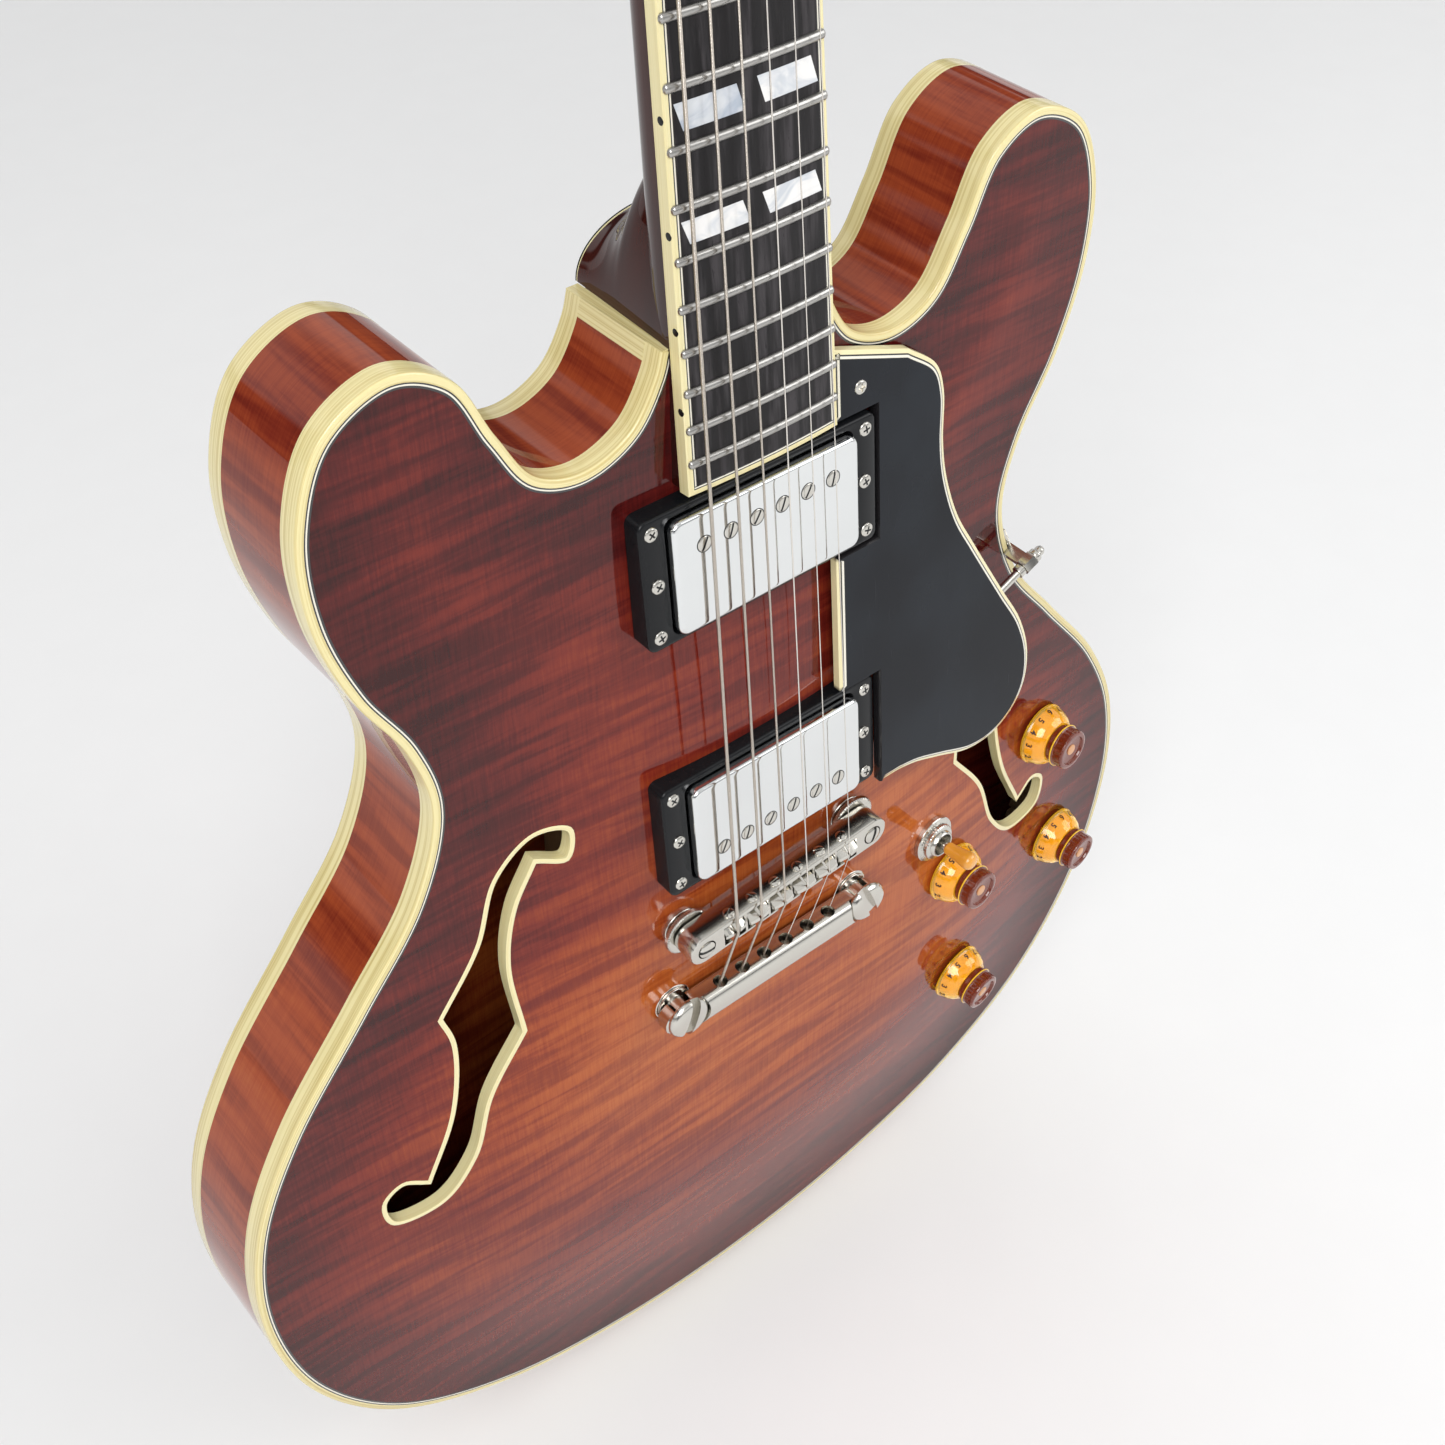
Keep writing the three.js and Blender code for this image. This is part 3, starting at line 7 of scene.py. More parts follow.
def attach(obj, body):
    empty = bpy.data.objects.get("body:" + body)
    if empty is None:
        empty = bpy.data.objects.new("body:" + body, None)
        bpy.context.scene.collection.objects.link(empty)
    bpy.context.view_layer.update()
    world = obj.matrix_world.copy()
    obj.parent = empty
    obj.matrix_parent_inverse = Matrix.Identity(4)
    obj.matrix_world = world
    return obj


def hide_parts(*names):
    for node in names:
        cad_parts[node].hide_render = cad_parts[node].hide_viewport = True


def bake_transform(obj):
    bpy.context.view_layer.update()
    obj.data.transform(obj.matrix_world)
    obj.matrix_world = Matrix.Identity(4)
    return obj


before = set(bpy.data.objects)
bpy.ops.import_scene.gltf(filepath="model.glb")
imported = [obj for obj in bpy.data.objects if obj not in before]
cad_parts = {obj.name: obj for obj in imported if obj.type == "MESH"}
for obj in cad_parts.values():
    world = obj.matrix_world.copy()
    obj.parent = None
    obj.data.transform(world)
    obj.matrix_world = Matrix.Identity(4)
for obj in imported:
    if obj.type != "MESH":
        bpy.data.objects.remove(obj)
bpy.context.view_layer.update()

# The maker's frame is in millimetres: x across the strings, treble side positive, y along them
# towards the headstock, zero under the saddles, z out of the face, zero at the edge of the top.
neckSet = {"scale": 628.65, "angle": math.radians(5.21), "slide": 1.0, "jointFret": 19,
           "riseAtJoint": 5.89, "boardThickness": 5.5, "boardRadius": 305, "nutWidth": 43,
           "nutLength": 5,
           "boardWidth": 55.2, "frets": 22, "overhang": 10, "seat": 0.3}
bodySet = {"length": 487, "lowerBout": 408, "depth": 43, "arch": 12, "backArch": 8, "plate": 4.2,
           "archReach": 124, "crestEnd": 170, "crestLeft": 0.3, "power": 9, "step": 1.5,
           "stubShare": 0.9476, "shoulderShare": 0.9322, "stubMargin": 2.3, "stubPoints": 28}
outlineShares = [
    (0, 0), (0.304, 0.0123), (0.578, 0.0483), (0.809, 0.117), (0.951, 0.2177), (1, 0.3326),
    (0.9706, 0.423), (0.8824, 0.499), (0.7353, 0.577), (0.6176, 0.6407), (0.5652, 0.7064),
    (0.5882, 0.7598), (0.652, 0.8152), (0.6912, 0.8747), (0.6887, 0.9343), (0.6373, 0.9815),
    (0.5392, 1), (0.4559, 0.9836), (0.402, 0.9405), (0.348, 0.9045), (0.2745, 0.8939),
    (0.1985, 0.9055)]


def fretPlace(fret):
    return neckSet["scale"] * 2 ** (-fret / 12)


boardEnd = fretPlace(neckSet["frets"]) - neckSet["overhang"]
stubY = fretPlace(neckSet["jointFret"]) - neckSet["seat"]
bodyEnd = stubY - bodySet["stubShare"] * bodySet["length"]
slope = math.tan(neckSet["angle"])
crownRise = neckSet["riseAtJoint"] + (stubY - neckSet["slide"]) * slope
nutPoint = (neckSet["slide"] + neckSet["scale"] * math.cos(neckSet["angle"]),
            crownRise - neckSet["scale"] * math.sin(neckSet["angle"]))


# Points of the maker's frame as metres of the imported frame: x stays, z turns to -Y, y to Z.
def toWorld(points):
    p = np.asarray(points, float)
    return np.stack([p[..., 0], nutPoint[1] - p[..., 2], p[..., 1] - nutPoint[0]], -1) / 1000


def boardHalf(y):
    share = (neckSet["scale"] - np.asarray(y, float)) / (neckSet["scale"] - boardEnd)
    return (neckSet["nutWidth"] + (neckSet["boardWidth"] - neckSet["nutWidth"]) * share) / 2


# Neck frame, with z zero on the crown of the board, as the maker's frame: turned about x by the
# neck angle, then moved to the bridge's end of the scale.
def fromNeck(points):
    p = np.asarray(points, float)
    c, s = math.cos(neckSet["angle"]), math.sin(neckSet["angle"])
    return np.stack([p[..., 0], p[..., 1] * c + p[..., 2] * s + neckSet["slide"],
                     p[..., 2] * c - p[..., 1] * s + crownRise], -1)


# Height of a plane along the strings, a drop below the board's crown.
def stringPlane(y, drop):
    return crownRise - drop / math.cos(neckSet["angle"]) - (y - neckSet["slide"]) * slope


# A curve through points: on each span a cubic whose end slopes weigh the neighbouring spans by
# the square roots of their lengths.
def smoothCurve(knots, perSpan):
    p = np.asarray(knots, float)
    p = np.vstack([2 * p[:1] - p[1:2], p, 2 * p[-1:] - p[-2:-1]])
    a, b, c, d = p[:-3], p[1:-2], p[2:-1], p[3:]
    gaps = [np.sqrt(np.linalg.norm(v - u, axis=1))[:, None] for u, v in ((a, b), (b, c), (c, d))]
    one, two, three = gaps
    m1 = ((b - a) / one - (c - a) / (one + two) + (c - b) / two) * two
    m2 = ((c - b) / two - (d - b) / (two + three) + (d - c) / three) * two
    t = (np.arange(perSpan) / perSpan)[None, :, None]
    cubic = ((2 * t**3 - 3 * t**2 + 1) * b[:, None] + (t**3 - 2 * t**2 + t) * m1[:, None]
             + (3 * t**2 - 2 * t**3) * c[:, None] + (t**3 - t**2) * m2[:, None])
    return np.vstack([cubic.reshape(-1, p.shape[1]), p[-2:-1]])


# Points at even steps along a polyline.
def evenly(points, step, closed=False):
    p = np.vstack([points, points[:1]]) if closed else np.asarray(points, float)
    run = np.concatenate([[0], np.cumsum(np.linalg.norm(np.diff(p, axis=0), axis=1))])
    count = max(int(round(run[-1] / step)), 2)
    at = np.linspace(0, run[-1], count + 1)
    made = np.stack([np.interp(at, run, p[:, k]) for k in range(p.shape[1])], 1)
    return made[:-1] if closed else made


# A closed outline drawn in by distances: each point goes along the mean of its edges' normals.
def drawnIn(outline, distance):
    p = np.asarray(outline, float)
    normals = []
    for e in (p - np.roll(p, 1, 0), np.roll(p, -1, 0) - p):
        length = np.maximum(np.linalg.norm(e, axis=1), 1e-9)[:, None]
        normals.append(np.stack([-e[:, 1], e[:, 0]], 1) / length)
    mean = normals[0] + normals[1]
    mean /= np.maximum(np.linalg.norm(mean, axis=1), 1e-9)[:, None]
    reach = distance / np.maximum((mean * normals[0]).sum(1), 0.5)
    return p + mean * reach[:, None]


def isInside(points, loop):
    x, y = points[:, 0], points[:, 1]
    inside = np.zeros(len(points), bool)
    for (x0, y0), (x1, y1) in zip(loop, np.roll(loop, -1, 0)):
        crosses = (y0 > y) != (y1 > y)
        at = x0 + (y - y0) * (x1 - x0) / (y1 - y0 if y1 != y0 else 1e-12)
        inside ^= crosses & (x < at)
    return inside


# The shortest way from each point to a closed outline.
def wayTo(points, loop):
    a, b = np.asarray(loop), np.roll(loop, -1, 0)
    best = np.full(len(points), 1e9)
    for start in range(0, len(a), 64):
        p, q = a[start:start + 64], b[start:start + 64]
        e = q - p
        t = ((points[:, None] - p) * e).sum(-1) / np.maximum((e * e).sum(-1), 1e-9)
        near = p + np.clip(t, 0, 1)[..., None] * e
        best = np.minimum(best, np.linalg.norm(points[:, None] - near, axis=-1).min(1))
    return best


def bodyPoint(share):
    return (share[0] * bodySet["lowerBout"] / 2, bodyEnd + share[1] * bodySet["length"])


# The body's edge, counter-clockwise, closed across the neck joint by a straight row of points.
def bodyLoop():
    margin, count = bodySet["stubMargin"], bodySet["stubPoints"]
    stubHalf = float(boardHalf(stubY)) + margin
    shoulder = bodyEnd + bodySet["shoulderShare"] * bodySet["length"]
    right = [bodyPoint(s) for s in outlineShares] + [(stubHalf + margin, shoulder),
                                                     (stubHalf, stubY)]
    left = [(-x, y) for x, y in right[1:]]
    loop = evenly(smoothCurve(left[::-1] + right, 14), bodySet["step"])
    across = np.linspace(stubHalf, -stubHalf, count + 2)[1:-1]
    return np.vstack([loop, np.column_stack([across, np.full(count, stubY)])])


bodyEdge = bodyLoop()


# The distance to the edge as a mean of a high power over the whole edge, so that the arch has no
# ridge where two edges are equally near.
def softDistance(x, y):
    p = bodySet["power"]
    nextPoint = np.roll(bodyEdge, -1, 0)
    weight = np.linalg.norm(nextPoint - bodyEdge, axis=1)
    middle = (nextPoint + bodyEdge) / 2
    whole = math.sqrt(math.pi) * math.gamma((p - 1) / 2) / math.gamma(p / 2)
    flat = np.stack([np.ravel(x), np.ravel(y)], 1).astype(float)
    total, atOnce, least = np.empty(len(flat)), 2000, 0.09
    for i in range(0, len(flat), atOnce):
        d2 = ((flat[i:i + atOnce, None] - middle) ** 2).sum(-1)
        total[i:i + atOnce] = (weight * np.maximum(d2, least) ** (-p / 2)).sum(1)
    return ((total / whole) ** (-1 / (p - 1))).reshape(np.shape(x))


# Rise of the arch: half a cosine wave from the edge to where it is archReach away, lower
# towards the neck along a smooth step.
def arch(x, y, height):
    share = np.clip(softDistance(x, y) / bodySet["archReach"], 0, 1)
    step = np.clip(np.asarray(y, float) / bodySet["crestEnd"], 0, 1)
    crest = 1 - (1 - bodySet["crestLeft"]) * step**2 * (3 - 2 * step)
    return height * crest * (1 - np.cos(math.pi * share)) / 2


def topHeight(x, y):
    return arch(x, y, bodySet["arch"])


def backHeight(x, y):
    return -bodySet["depth"] - arch(x, y, bodySet["backArch"])


# A loop of the plan as points at one height, or at a height each.
def raised(loop, z):
    return np.column_stack([loop, np.broadcast_to(np.asarray(z, float), (len(loop),))])


def overTop(loop, rise):
    return raised(loop, topHeight(loop[:, 0], loop[:, 1]) + rise)


def evenTurns(sides):
    return np.arange(sides) * 2 * math.pi / sides


# Meshes. A part holds points, faces of three or four corners, and a uv for each corner in
# millimetres along its surface.
def makePart(points, faces, uv=None):
    return {"points": np.asarray(points, float), "faces": faces, "uv": uv}


# A grid of points as a skin, joined round where it closes, with fans over the open ends.
def skin(grid, closeU=False, closeV=False, capped=False):
    g = np.asarray(grid, float)
    nu, nv = g.shape[:2]
    i, j = np.meshgrid(np.arange(nu if closeU else nu - 1), np.arange(nv if closeV else nv - 1),
                       indexing="ij")
    i, j = i.ravel(), j.ravel()
    corners = [(i, j), (i + 1, j), (i + 1, j + 1), (i, j + 1)]
    faces = np.stack([(a % nu) * nv + b % nv for a, b in corners], 1)
    along = np.concatenate([[0], np.cumsum(np.linalg.norm(
        np.diff(np.concatenate([g, g[:1]]), axis=0), axis=2).mean(1))])
    across = np.concatenate([[0], np.cumsum(np.linalg.norm(
        np.diff(np.concatenate([g, g[:, :1]], 1), axis=1), axis=2).mean(0))])
    uv = np.stack([np.stack([along[a], across[b]], 1) for a, b in corners], 1)
    points = g.reshape(-1, 3)
    groups, uvs = [faces], [uv.reshape(-1, 2)]
    if capped:
        j = np.arange(nv)
        k = (j + 1) % nv
        for row, centre, turned in ((0, len(points), True), (nu - 1, len(points) + 1, False)):
            a, b = (k, j) if turned else (j, k)
            groups.append(np.stack([row * nv + a, row * nv + b, np.full(nv, centre)], 1))
            uvs.append(np.zeros((3 * nv, 2)))
        points = np.vstack([points, g[0].mean(0), g[-1].mean(0)])
    made = makePart(points, groups, np.vstack(uvs))
    return outward(made) if capped or (closeU and closeV) else made


def triangles(part):
    made = []
    for f in part["faces"]:
        made.append(f[:, :3])
        if f.shape[1] == 4:
            made.append(f[:, [0, 2, 3]])
    return np.vstack(made)


# Turns a closed part's faces outwards: the volume inside its faces is then positive.
def outward(part):
    t = part["points"][triangles(part)]
    if np.einsum("ij,ij->i", t[:, 0], np.cross(t[:, 1], t[:, 2])).sum() < 0:
        start, uvs = 0, []
        for k, f in enumerate(part["faces"]):
            part["faces"][k] = f[:, ::-1]
            if part["uv"] is not None:
                rows = part["uv"][start:start + f.size].reshape(len(f), f.shape[1], 2)
                uvs.append(rows[:, ::-1].reshape(-1, 2))
                start += f.size
        if part["uv"] is not None:
            part["uv"] = np.vstack(uvs)
    return part


def joined(*parts):
    points, faces, uvs, base = [], [], [], 0
    for part in parts:
        points.append(part["points"])
        faces += [f + base for f in part["faces"]]
        count = sum(f.size for f in part["faces"])
        uvs.append(part["uv"] if part["uv"] is not None else np.zeros((count, 2)))
        base += len(part["points"])
    return makePart(np.vstack(points), faces, np.vstack(uvs))


def moved(part, change):
    return makePart(change(part["points"]), list(part["faces"]), part["uv"])


def shifted(part, x=0, y=0, z=0):
    return moved(part, lambda p: p + np.array([x, y, z]))


# Turned about an axis, by the right-hand rule.
def spun(part, axis, angle):
    turn = np.array(Matrix.Rotation(angle, 3, axis))
    return moved(part, lambda p: p @ turn.T)


# A bar from the lines along its edges, closed at both ends, and a ring from lines that close.
def barOf(rows):
    return skin(np.stack(rows, 1), closeV=True, capped=True)


def ringOf(rows):
    return skin(np.stack(rows, 1), closeU=True, closeV=True)


# Radii and heights turned round z: a radius is one for the whole turn or one for each side.
def revolved(radii, heights, sides, **closing):
    turn = evenTurns(sides)
    z = np.repeat(np.reshape(heights, (-1, 1)), sides, 1)
    return skin(np.stack([radii * np.cos(turn), radii * np.sin(turn), z], -1), closeV=True,
                **closing)


# A profile of (radius, height) turned round z; its ends close on the axis.
def lathe(profile, sides=48):
    p = np.array(profile, float)
    return revolved(np.maximum(p[:, :1], 0.03), p[:, 1], sides, capped=True)


def cylinder(radius, low, high, sides=32):
    return lathe([(0, low), (radius, low), (radius, high), (0, high)], sides)


# Copies of a part, each turned about z and then put at its place.
def copies(part, places, turns):
    return joined(*[shifted(spun(part, "Z", turn), *place) for place, turn in zip(places, turns)])


# A profile with its corners rounded: each corner becomes an arc of a few points that is a
# quadratic between the two cut-back points.
def rounded(profile, radius, steps=4):
    p = np.asarray(profile, float)
    made = [p[:1]]
    t = np.linspace(0, 1, steps + 1)[:, None]
    for before, here, after in zip(p, p[1:], p[2:]):
        back, on = np.linalg.norm(before - here), np.linalg.norm(after - here)
        r = min(radius, back / 2.2, on / 2.2)
        a, b = here + (before - here) * r / back, here + (after - here) * r / on
        made.append((1 - t) ** 2 * a + 2 * t * (1 - t) * here + t**2 * b)
    return np.vstack(made + [p[-1:]])


def roundRectangle(width, length, radius, perCorner=6):
    turn = np.linspace(0, math.pi / 2, perCorner + 1)
    arc = np.stack([np.cos(turn), np.sin(turn)], 1) * radius
    made = []
    for k, (sx, sy) in enumerate(((1, 1), (-1, 1), (-1, -1), (1, -1))):
        c, s = math.cos(k * math.pi / 2), math.sin(k * math.pi / 2)
        centre = np.array([sx * (width / 2 - radius), sy * (length / 2 - radius)])
        made.append(arc @ np.array([[c, s], [-s, c]]) + centre)
    return np.vstack(made)


# Outlines stacked in height, each (outline, z), as a closed part.
def stacked(layers):
    return skin([raised(o, z) for o, z in layers], closeV=True, capped=True)


# The same with ends that are single faces.
def solidStack(layers):
    n, last = len(layers[0][0]), len(layers) - 1
    k, i = np.arange(n), np.arange(last)[:, None] * n
    after = (k + 1) % n
    sides = np.stack([i + k, i + after, i + n + after, i + n + k], -1).reshape(-1, 4)
    points = np.vstack([raised(o, z) for o, z in layers])
    return makePart(points, [sides, k[None, ::-1], k[None] + last * n])


def makeBox(low, high):
    (x0, y0, z0), (x1, y1, z1) = low, high
    loop = np.array([(x0, y0), (x1, y0), (x1, y1), (x0, y1)])
    return solidStack([(loop, z0), (loop, z1)])


# A tube round a path: a circle carried along it on axes that turn as little as they can.
def tube(path, radius, sides=10):
    p = np.asarray(path, float)
    t = np.gradient(p, axis=0)
    t /= np.linalg.norm(t, axis=1)[:, None]
    side = np.cross(t[0], [0, 0, 1.0] if abs(t[0][2]) < 0.9 else [1.0, 0, 0])
    sideways = np.empty_like(p)
    for k in range(len(p)):
        side = side - t[k] * (side @ t[k])
        side /= np.linalg.norm(side)
        sideways[k] = side
    up = np.cross(t, sideways)
    turn = evenTurns(sides)[:, None]
    r = np.broadcast_to(np.asarray(radius, float), (len(p),))[:, None, None]
    grid = p[:, None] + r * (np.cos(turn) * sideways[:, None] + np.sin(turn) * up[:, None])
    return skin(grid, closeV=True, capped=True)


# A flat outline with holes as triangles, with even grid points inside.
def planSheet(loops, holes, spacing=0, margin=1.0):
    points, edges = [], []
    for loop in loops + holes:
        start = sum(len(p) for p in points)
        n = len(loop)
        points.append(np.asarray(loop, float))
        edges += [(start + k, start + (k + 1) % n) for k in range(n)]
    if spacing:
        lo, hi = np.min(loops[0], 0), np.max(loops[0], 0)
        x, y = np.meshgrid(np.arange(lo[0], hi[0], spacing),
                           np.arange(lo[1], hi[1], spacing * 0.87))
        x[1::2] += spacing / 2
        inner = np.stack([x.ravel(), y.ravel()], 1)
        inner = inner[isInside(inner, loops[0])]
        for hole in holes:
            inner = inner[~isInside(inner, hole)]
        for loop in loops + holes:
            inner = inner[wayTo(inner, loop) > margin]
        points.append(inner)
    flat = np.vstack(points)
    made = geometry.delaunay_2d_cdt([tuple(p) for p in flat], edges, [], 0, 1e-6)
    plan = np.array([tuple(v) for v in made[0]])
    tris = np.array([f for f in made[2] if len(f) == 3])
    centre = plan[tris].mean(1)
    keep = np.zeros(len(tris), bool)
    for loop in loops:
        keep |= isInside(centre, loop)
    for hole in holes:
        keep &= ~isInside(centre, hole)
    tris = tris[keep]
    a, b, c = plan[tris[:, 0]], plan[tris[:, 1]], plan[tris[:, 2]]
    turned = (b[:, 0] - a[:, 0]) * (c[:, 1] - a[:, 1]) - (b[:, 1] - a[:, 1]) * (c[:, 0] - a[:,
                                                                                            0]) < 0
    tris[turned] = tris[turned][:, ::-1]
    return plan, tris


# A plan sheet raised to two heights with walls round its edges.
def plate(plan, tris, high, low):
    n = len(plan)
    points = np.vstack([np.column_stack([plan, high]), np.column_stack([plan, low])])
    edges = np.vstack([tris[:, [0, 1]], tris[:, [1, 2]], tris[:, [2, 0]]])
    keys = edges[:, 0] * n + edges[:, 1]
    alone = ~np.isin(keys, edges[:, 1] * n + edges[:, 0])
    a, b = edges[alone].T
    walls = np.stack([a, a + n, b + n, b], 1)
    corners = np.concatenate([tris.ravel(), (tris[:, ::-1] + n).ravel(), walls.ravel()])
    return makePart(points, [tris, tris[:, ::-1] + n, walls], points[corners][:, :2])


def makeObject(name, part, finish, body="root", sharp=35, slot=None, replaces=(), world=True):
    points = toWorld(part["points"]) if world else part["points"]
    groups = part["faces"]
    corners = np.concatenate([f.ravel() for f in groups]).astype(np.int32)
    sizes = np.concatenate([np.full(len(f), f.shape[1]) for f in groups]).astype(np.int32)
    mesh = bpy.data.meshes.new(name)
    mesh.vertices.add(len(points))
    mesh.vertices.foreach_set("co", points.astype(np.float32).ravel())
    mesh.loops.add(len(corners))
    mesh.loops.foreach_set("vertex_index", corners)
    mesh.polygons.add(len(sizes))
    mesh.polygons.foreach_set("loop_start", (np.cumsum(sizes) - sizes).astype(np.int32))
    if part["uv"] is not None:
        layer = mesh.uv_layers.new(name="surface")
        layer.data.foreach_set("uv", (part["uv"] / 1000).astype(np.float32).ravel())
    mesh.update(calc_edges=True)
    mesh.polygons.foreach_set("use_smooth", np.ones(len(sizes), bool))
    mesh.set_sharp_from_angle(angle=math.radians(sharp))
    mesh.materials.append(finish)
    made = bpy.data.objects.new(name, mesh)
    bpy.context.scene.collection.objects.link(made)
    if finish and not slot:
        slot = usualSlots.get(finish.name)
    if body:
        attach(made, body)
    if replaces:
        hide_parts(*replaces)
    return made


# Gives a finish to the shape that a node of the frame brings along.
def paint(node, finish):
    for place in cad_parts[node].material_slots:
        place.material = finish


# One part with others taken away, as a part again.
def carved(part, *tools, join=False):
    whole = makeObject("carved", part, None, body=None, world=False)
    others = [makeObject("tool", t, None, body=None, world=False) for t in tools]
    for other in others:
        step = whole.modifiers.new("cut", "BOOLEAN")
        step.operation = "UNION" if join else "DIFFERENCE"
        step.solver = "EXACT"
        step.object = other
    done = whole.evaluated_get(bpy.context.evaluated_depsgraph_get()).to_mesh()
    done.calc_loop_triangles()
    points = np.empty(len(done.vertices) * 3, np.float32)
    done.vertices.foreach_get("co", points)
    sizes = np.empty(len(done.polygons), np.int32)
    starts = np.empty(len(done.polygons), np.int32)
    done.polygons.foreach_get("loop_total", sizes)
    done.polygons.foreach_get("loop_start", starts)
    corners = np.empty(len(done.loops), np.int32)
    done.loops.foreach_get("vertex_index", corners)
    faces = []
    for size in np.unique(sizes):
        rows = starts[sizes == size][:, None] + np.arange(size)
        faces.append(corners[rows])
    for thing in [whole] + others:
        mesh = thing.data
        bpy.data.objects.remove(thing)
        bpy.data.meshes.remove(mesh)
    return makePart(points.reshape(-1, 3), faces)


# Rounds a piece's sharp edges a little.
def soften(piece, width, angle=35):
    step = piece.modifiers.new("edges", "BEVEL")
    step.width = width / 1000
    step.segments = 2
    step.limit_method = "ANGLE"
    step.angle_limit = math.radians(angle)
    step.use_clamp_overlap = True
    step.harden_normals = False


# Finishes. A wire is a node's output; sums and products of wires add Math nodes.
class Wire:
    def __init__(self, finish, socket):
        self.finish = finish
        self.socket = socket

    def math(self, operation, *values):
        return self.finish.node("Math", {"operation": operation}, dict(enumerate(values)))

    def __add__(self, other):
        return self.math("ADD", self, other)

    def __sub__(self, other):
        return self.math("SUBTRACT", self, other)

    def __rsub__(self, other):
        return self.math("SUBTRACT", other, self)

    def __mul__(self, other):
        return self.math("MULTIPLY", self, other)

    def __truediv__(self, other):
        return self.math("DIVIDE", self, other)

    def __pow__(self, other):
        return self.math("POWER", self, other)

    __radd__ = __add__
    __rmul__ = __mul__

    # 0 below low, 1 above high, a smooth step between
    def step(self, low, high):
        return self.finish.node("MapRange", {"interpolation_type": "SMOOTHSTEP"},
                                {0: self, 1: low, 2: high, 3: 0.0, 4: 1.0})

    # 1 between low and high, with soft edges
    def band(self, low, high, soft):
        return self.step(low - soft, low + soft) * (1 - self.step(high - soft, high + soft))


class Finish:
    def __init__(self, name, **values):
        self.material = bpy.data.materials.new(name)
        self.material.use_nodes = True
        self.tree = self.material.node_tree
        self.shader = self.tree.nodes["Principled BSDF"]
        self.put(**values)

    def feed(self, socket, value):
        if isinstance(value, Wire):
            self.tree.links.new(value.socket, socket)
        elif socket.type == "RGBA" and len(value) == 3:
            socket.default_value = (*value, 1)
        else:
            socket.default_value = value

    def node(self, kind, settings=None, inputs=None, output=0):
        made = self.tree.nodes.new("ShaderNode" + kind)
        for name, value in (settings or {}).items():
            if name == "stops":
                ramp = made.color_ramp
                while len(ramp.elements) < len(value):
                    ramp.elements.new(0.5)
                for element, (at, colour) in zip(ramp.elements, value):
                    element.position = at
                    element.color = (*colour, 1)
            else:
                setattr(made, name, value)
        for name, value in (inputs or {}).items():
            self.feed(made.inputs[name], value)
        return Wire(self, made.outputs[output])

    # names of shader sockets in camelCase, such as baseColor or coatWeight
    def put(self, **values):
        for name, value in values.items():
            words = "".join(" " + c if c.isupper() else c for c in name).title()
            self.feed(self.shader.inputs[words.replace("Ior", "IOR")], value)
        return self

    def place(self, scale=(1, 1, 1), turn=(0, 0, 0), surface=False):
        at = self.node("UVMap") if surface else self.node("TexCoord", output="Object")
        return self.node("Mapping", None, {"Vector": at, "Scale": scale, "Rotation": turn})

    def axis(self, vector, name):
        return self.node("SeparateXYZ", None, {0: vector}, name)

    # a scale is one number or one for each axis
    def noise(self, scale, detail=3, rough=0.5, bend=0.0, **placing):
        scales = (scale,) * 3 if np.isscalar(scale) else scale
        return self.node("TexNoise", None, {"Vector": self.place(scales, **placing), "Scale": 1.0,
                                            "Detail": detail, "Roughness": rough,
                                            "Distortion": bend}, "Fac")

    def mix(self, factor, a, b, blend="MIX"):
        return self.node("Mix", {"data_type": "RGBA", "blend_type": blend}, {0: factor, 6: a, 7: b},
                         2)

    def bump(self, height, strength=0.3, distance=0.0002):
        return self.put(normal=self.node("Bump", None, {"Strength": strength, "Distance": distance,
                                                        "Height": height}))


print("frame and tools ready")

# Materials. The figure of the maple is thin wavy streaks across the grain on wider soft bands, cut
# by fine fibres along it; the burst goes from orange-brown round the bridge to a dark maroon edge.
figureSet = {"edges": (0.34, 0.66), "thin": 0.27, "wide": 0.20, "fine": 0.6, "all": 0.62,
             "slow": 0.2}


def flamedWood(name, colours, across, along, burst=None, slant=8):
    finish = Finish(name, roughness=0.5, specularIorLevel=0.0, coatWeight=1.0, coatRoughness=0.03,
                    coatIor=1.38)
    turn = (0, math.radians(slant), 0)
    wideScale = tuple(c * 0.34 for c in across)
    thin = finish.noise(across, 3.5, 0.6, 0.25, turn=turn)
    wide = finish.noise(wideScale, 1.5, 0.5, 0.3, turn=turn)
    fine = finish.noise(along, 4, 0.65)
    slow = finish.noise((9, 9, 5), 2)
    edges = figureSet["edges"]
    streaks = (thin.step(*edges) - 0.5) * figureSet["thin"]
    streaks = streaks + (wide.step(*edges) - 0.5) * figureSet["wide"]
    figure = (streaks + (fine - 0.5) * figureSet["fine"]) * figureSet["all"]
    level = (burst(finish) if burst else 0.42 + slow * 0.16) + figure
    level = level + (slow - 0.5) * figureSet["slow"]
    stops = [(k / (len(colours) - 1), c) for k, c in enumerate(colours)]
    colour = finish.node("ValToRGB", {"stops": stops}, {"Fac": level}, "Color")
    shade = (1 - thin.step(0.38, 0.56)) * 0.28
    finish.put(baseColor=finish.mix(shade, colour, (0.42, 0.30, 0.34), "MULTIPLY"))
    return finish.bump(fine, 0.02, 0.00005).material


# Dark at the edge of the plate, lightest in an oval round a point between bridge and tailpiece.
burstSet = {"middle": (0.026, -0.682), "reach": (0.118, 0.082), "rim": (0.004, 0.065)}


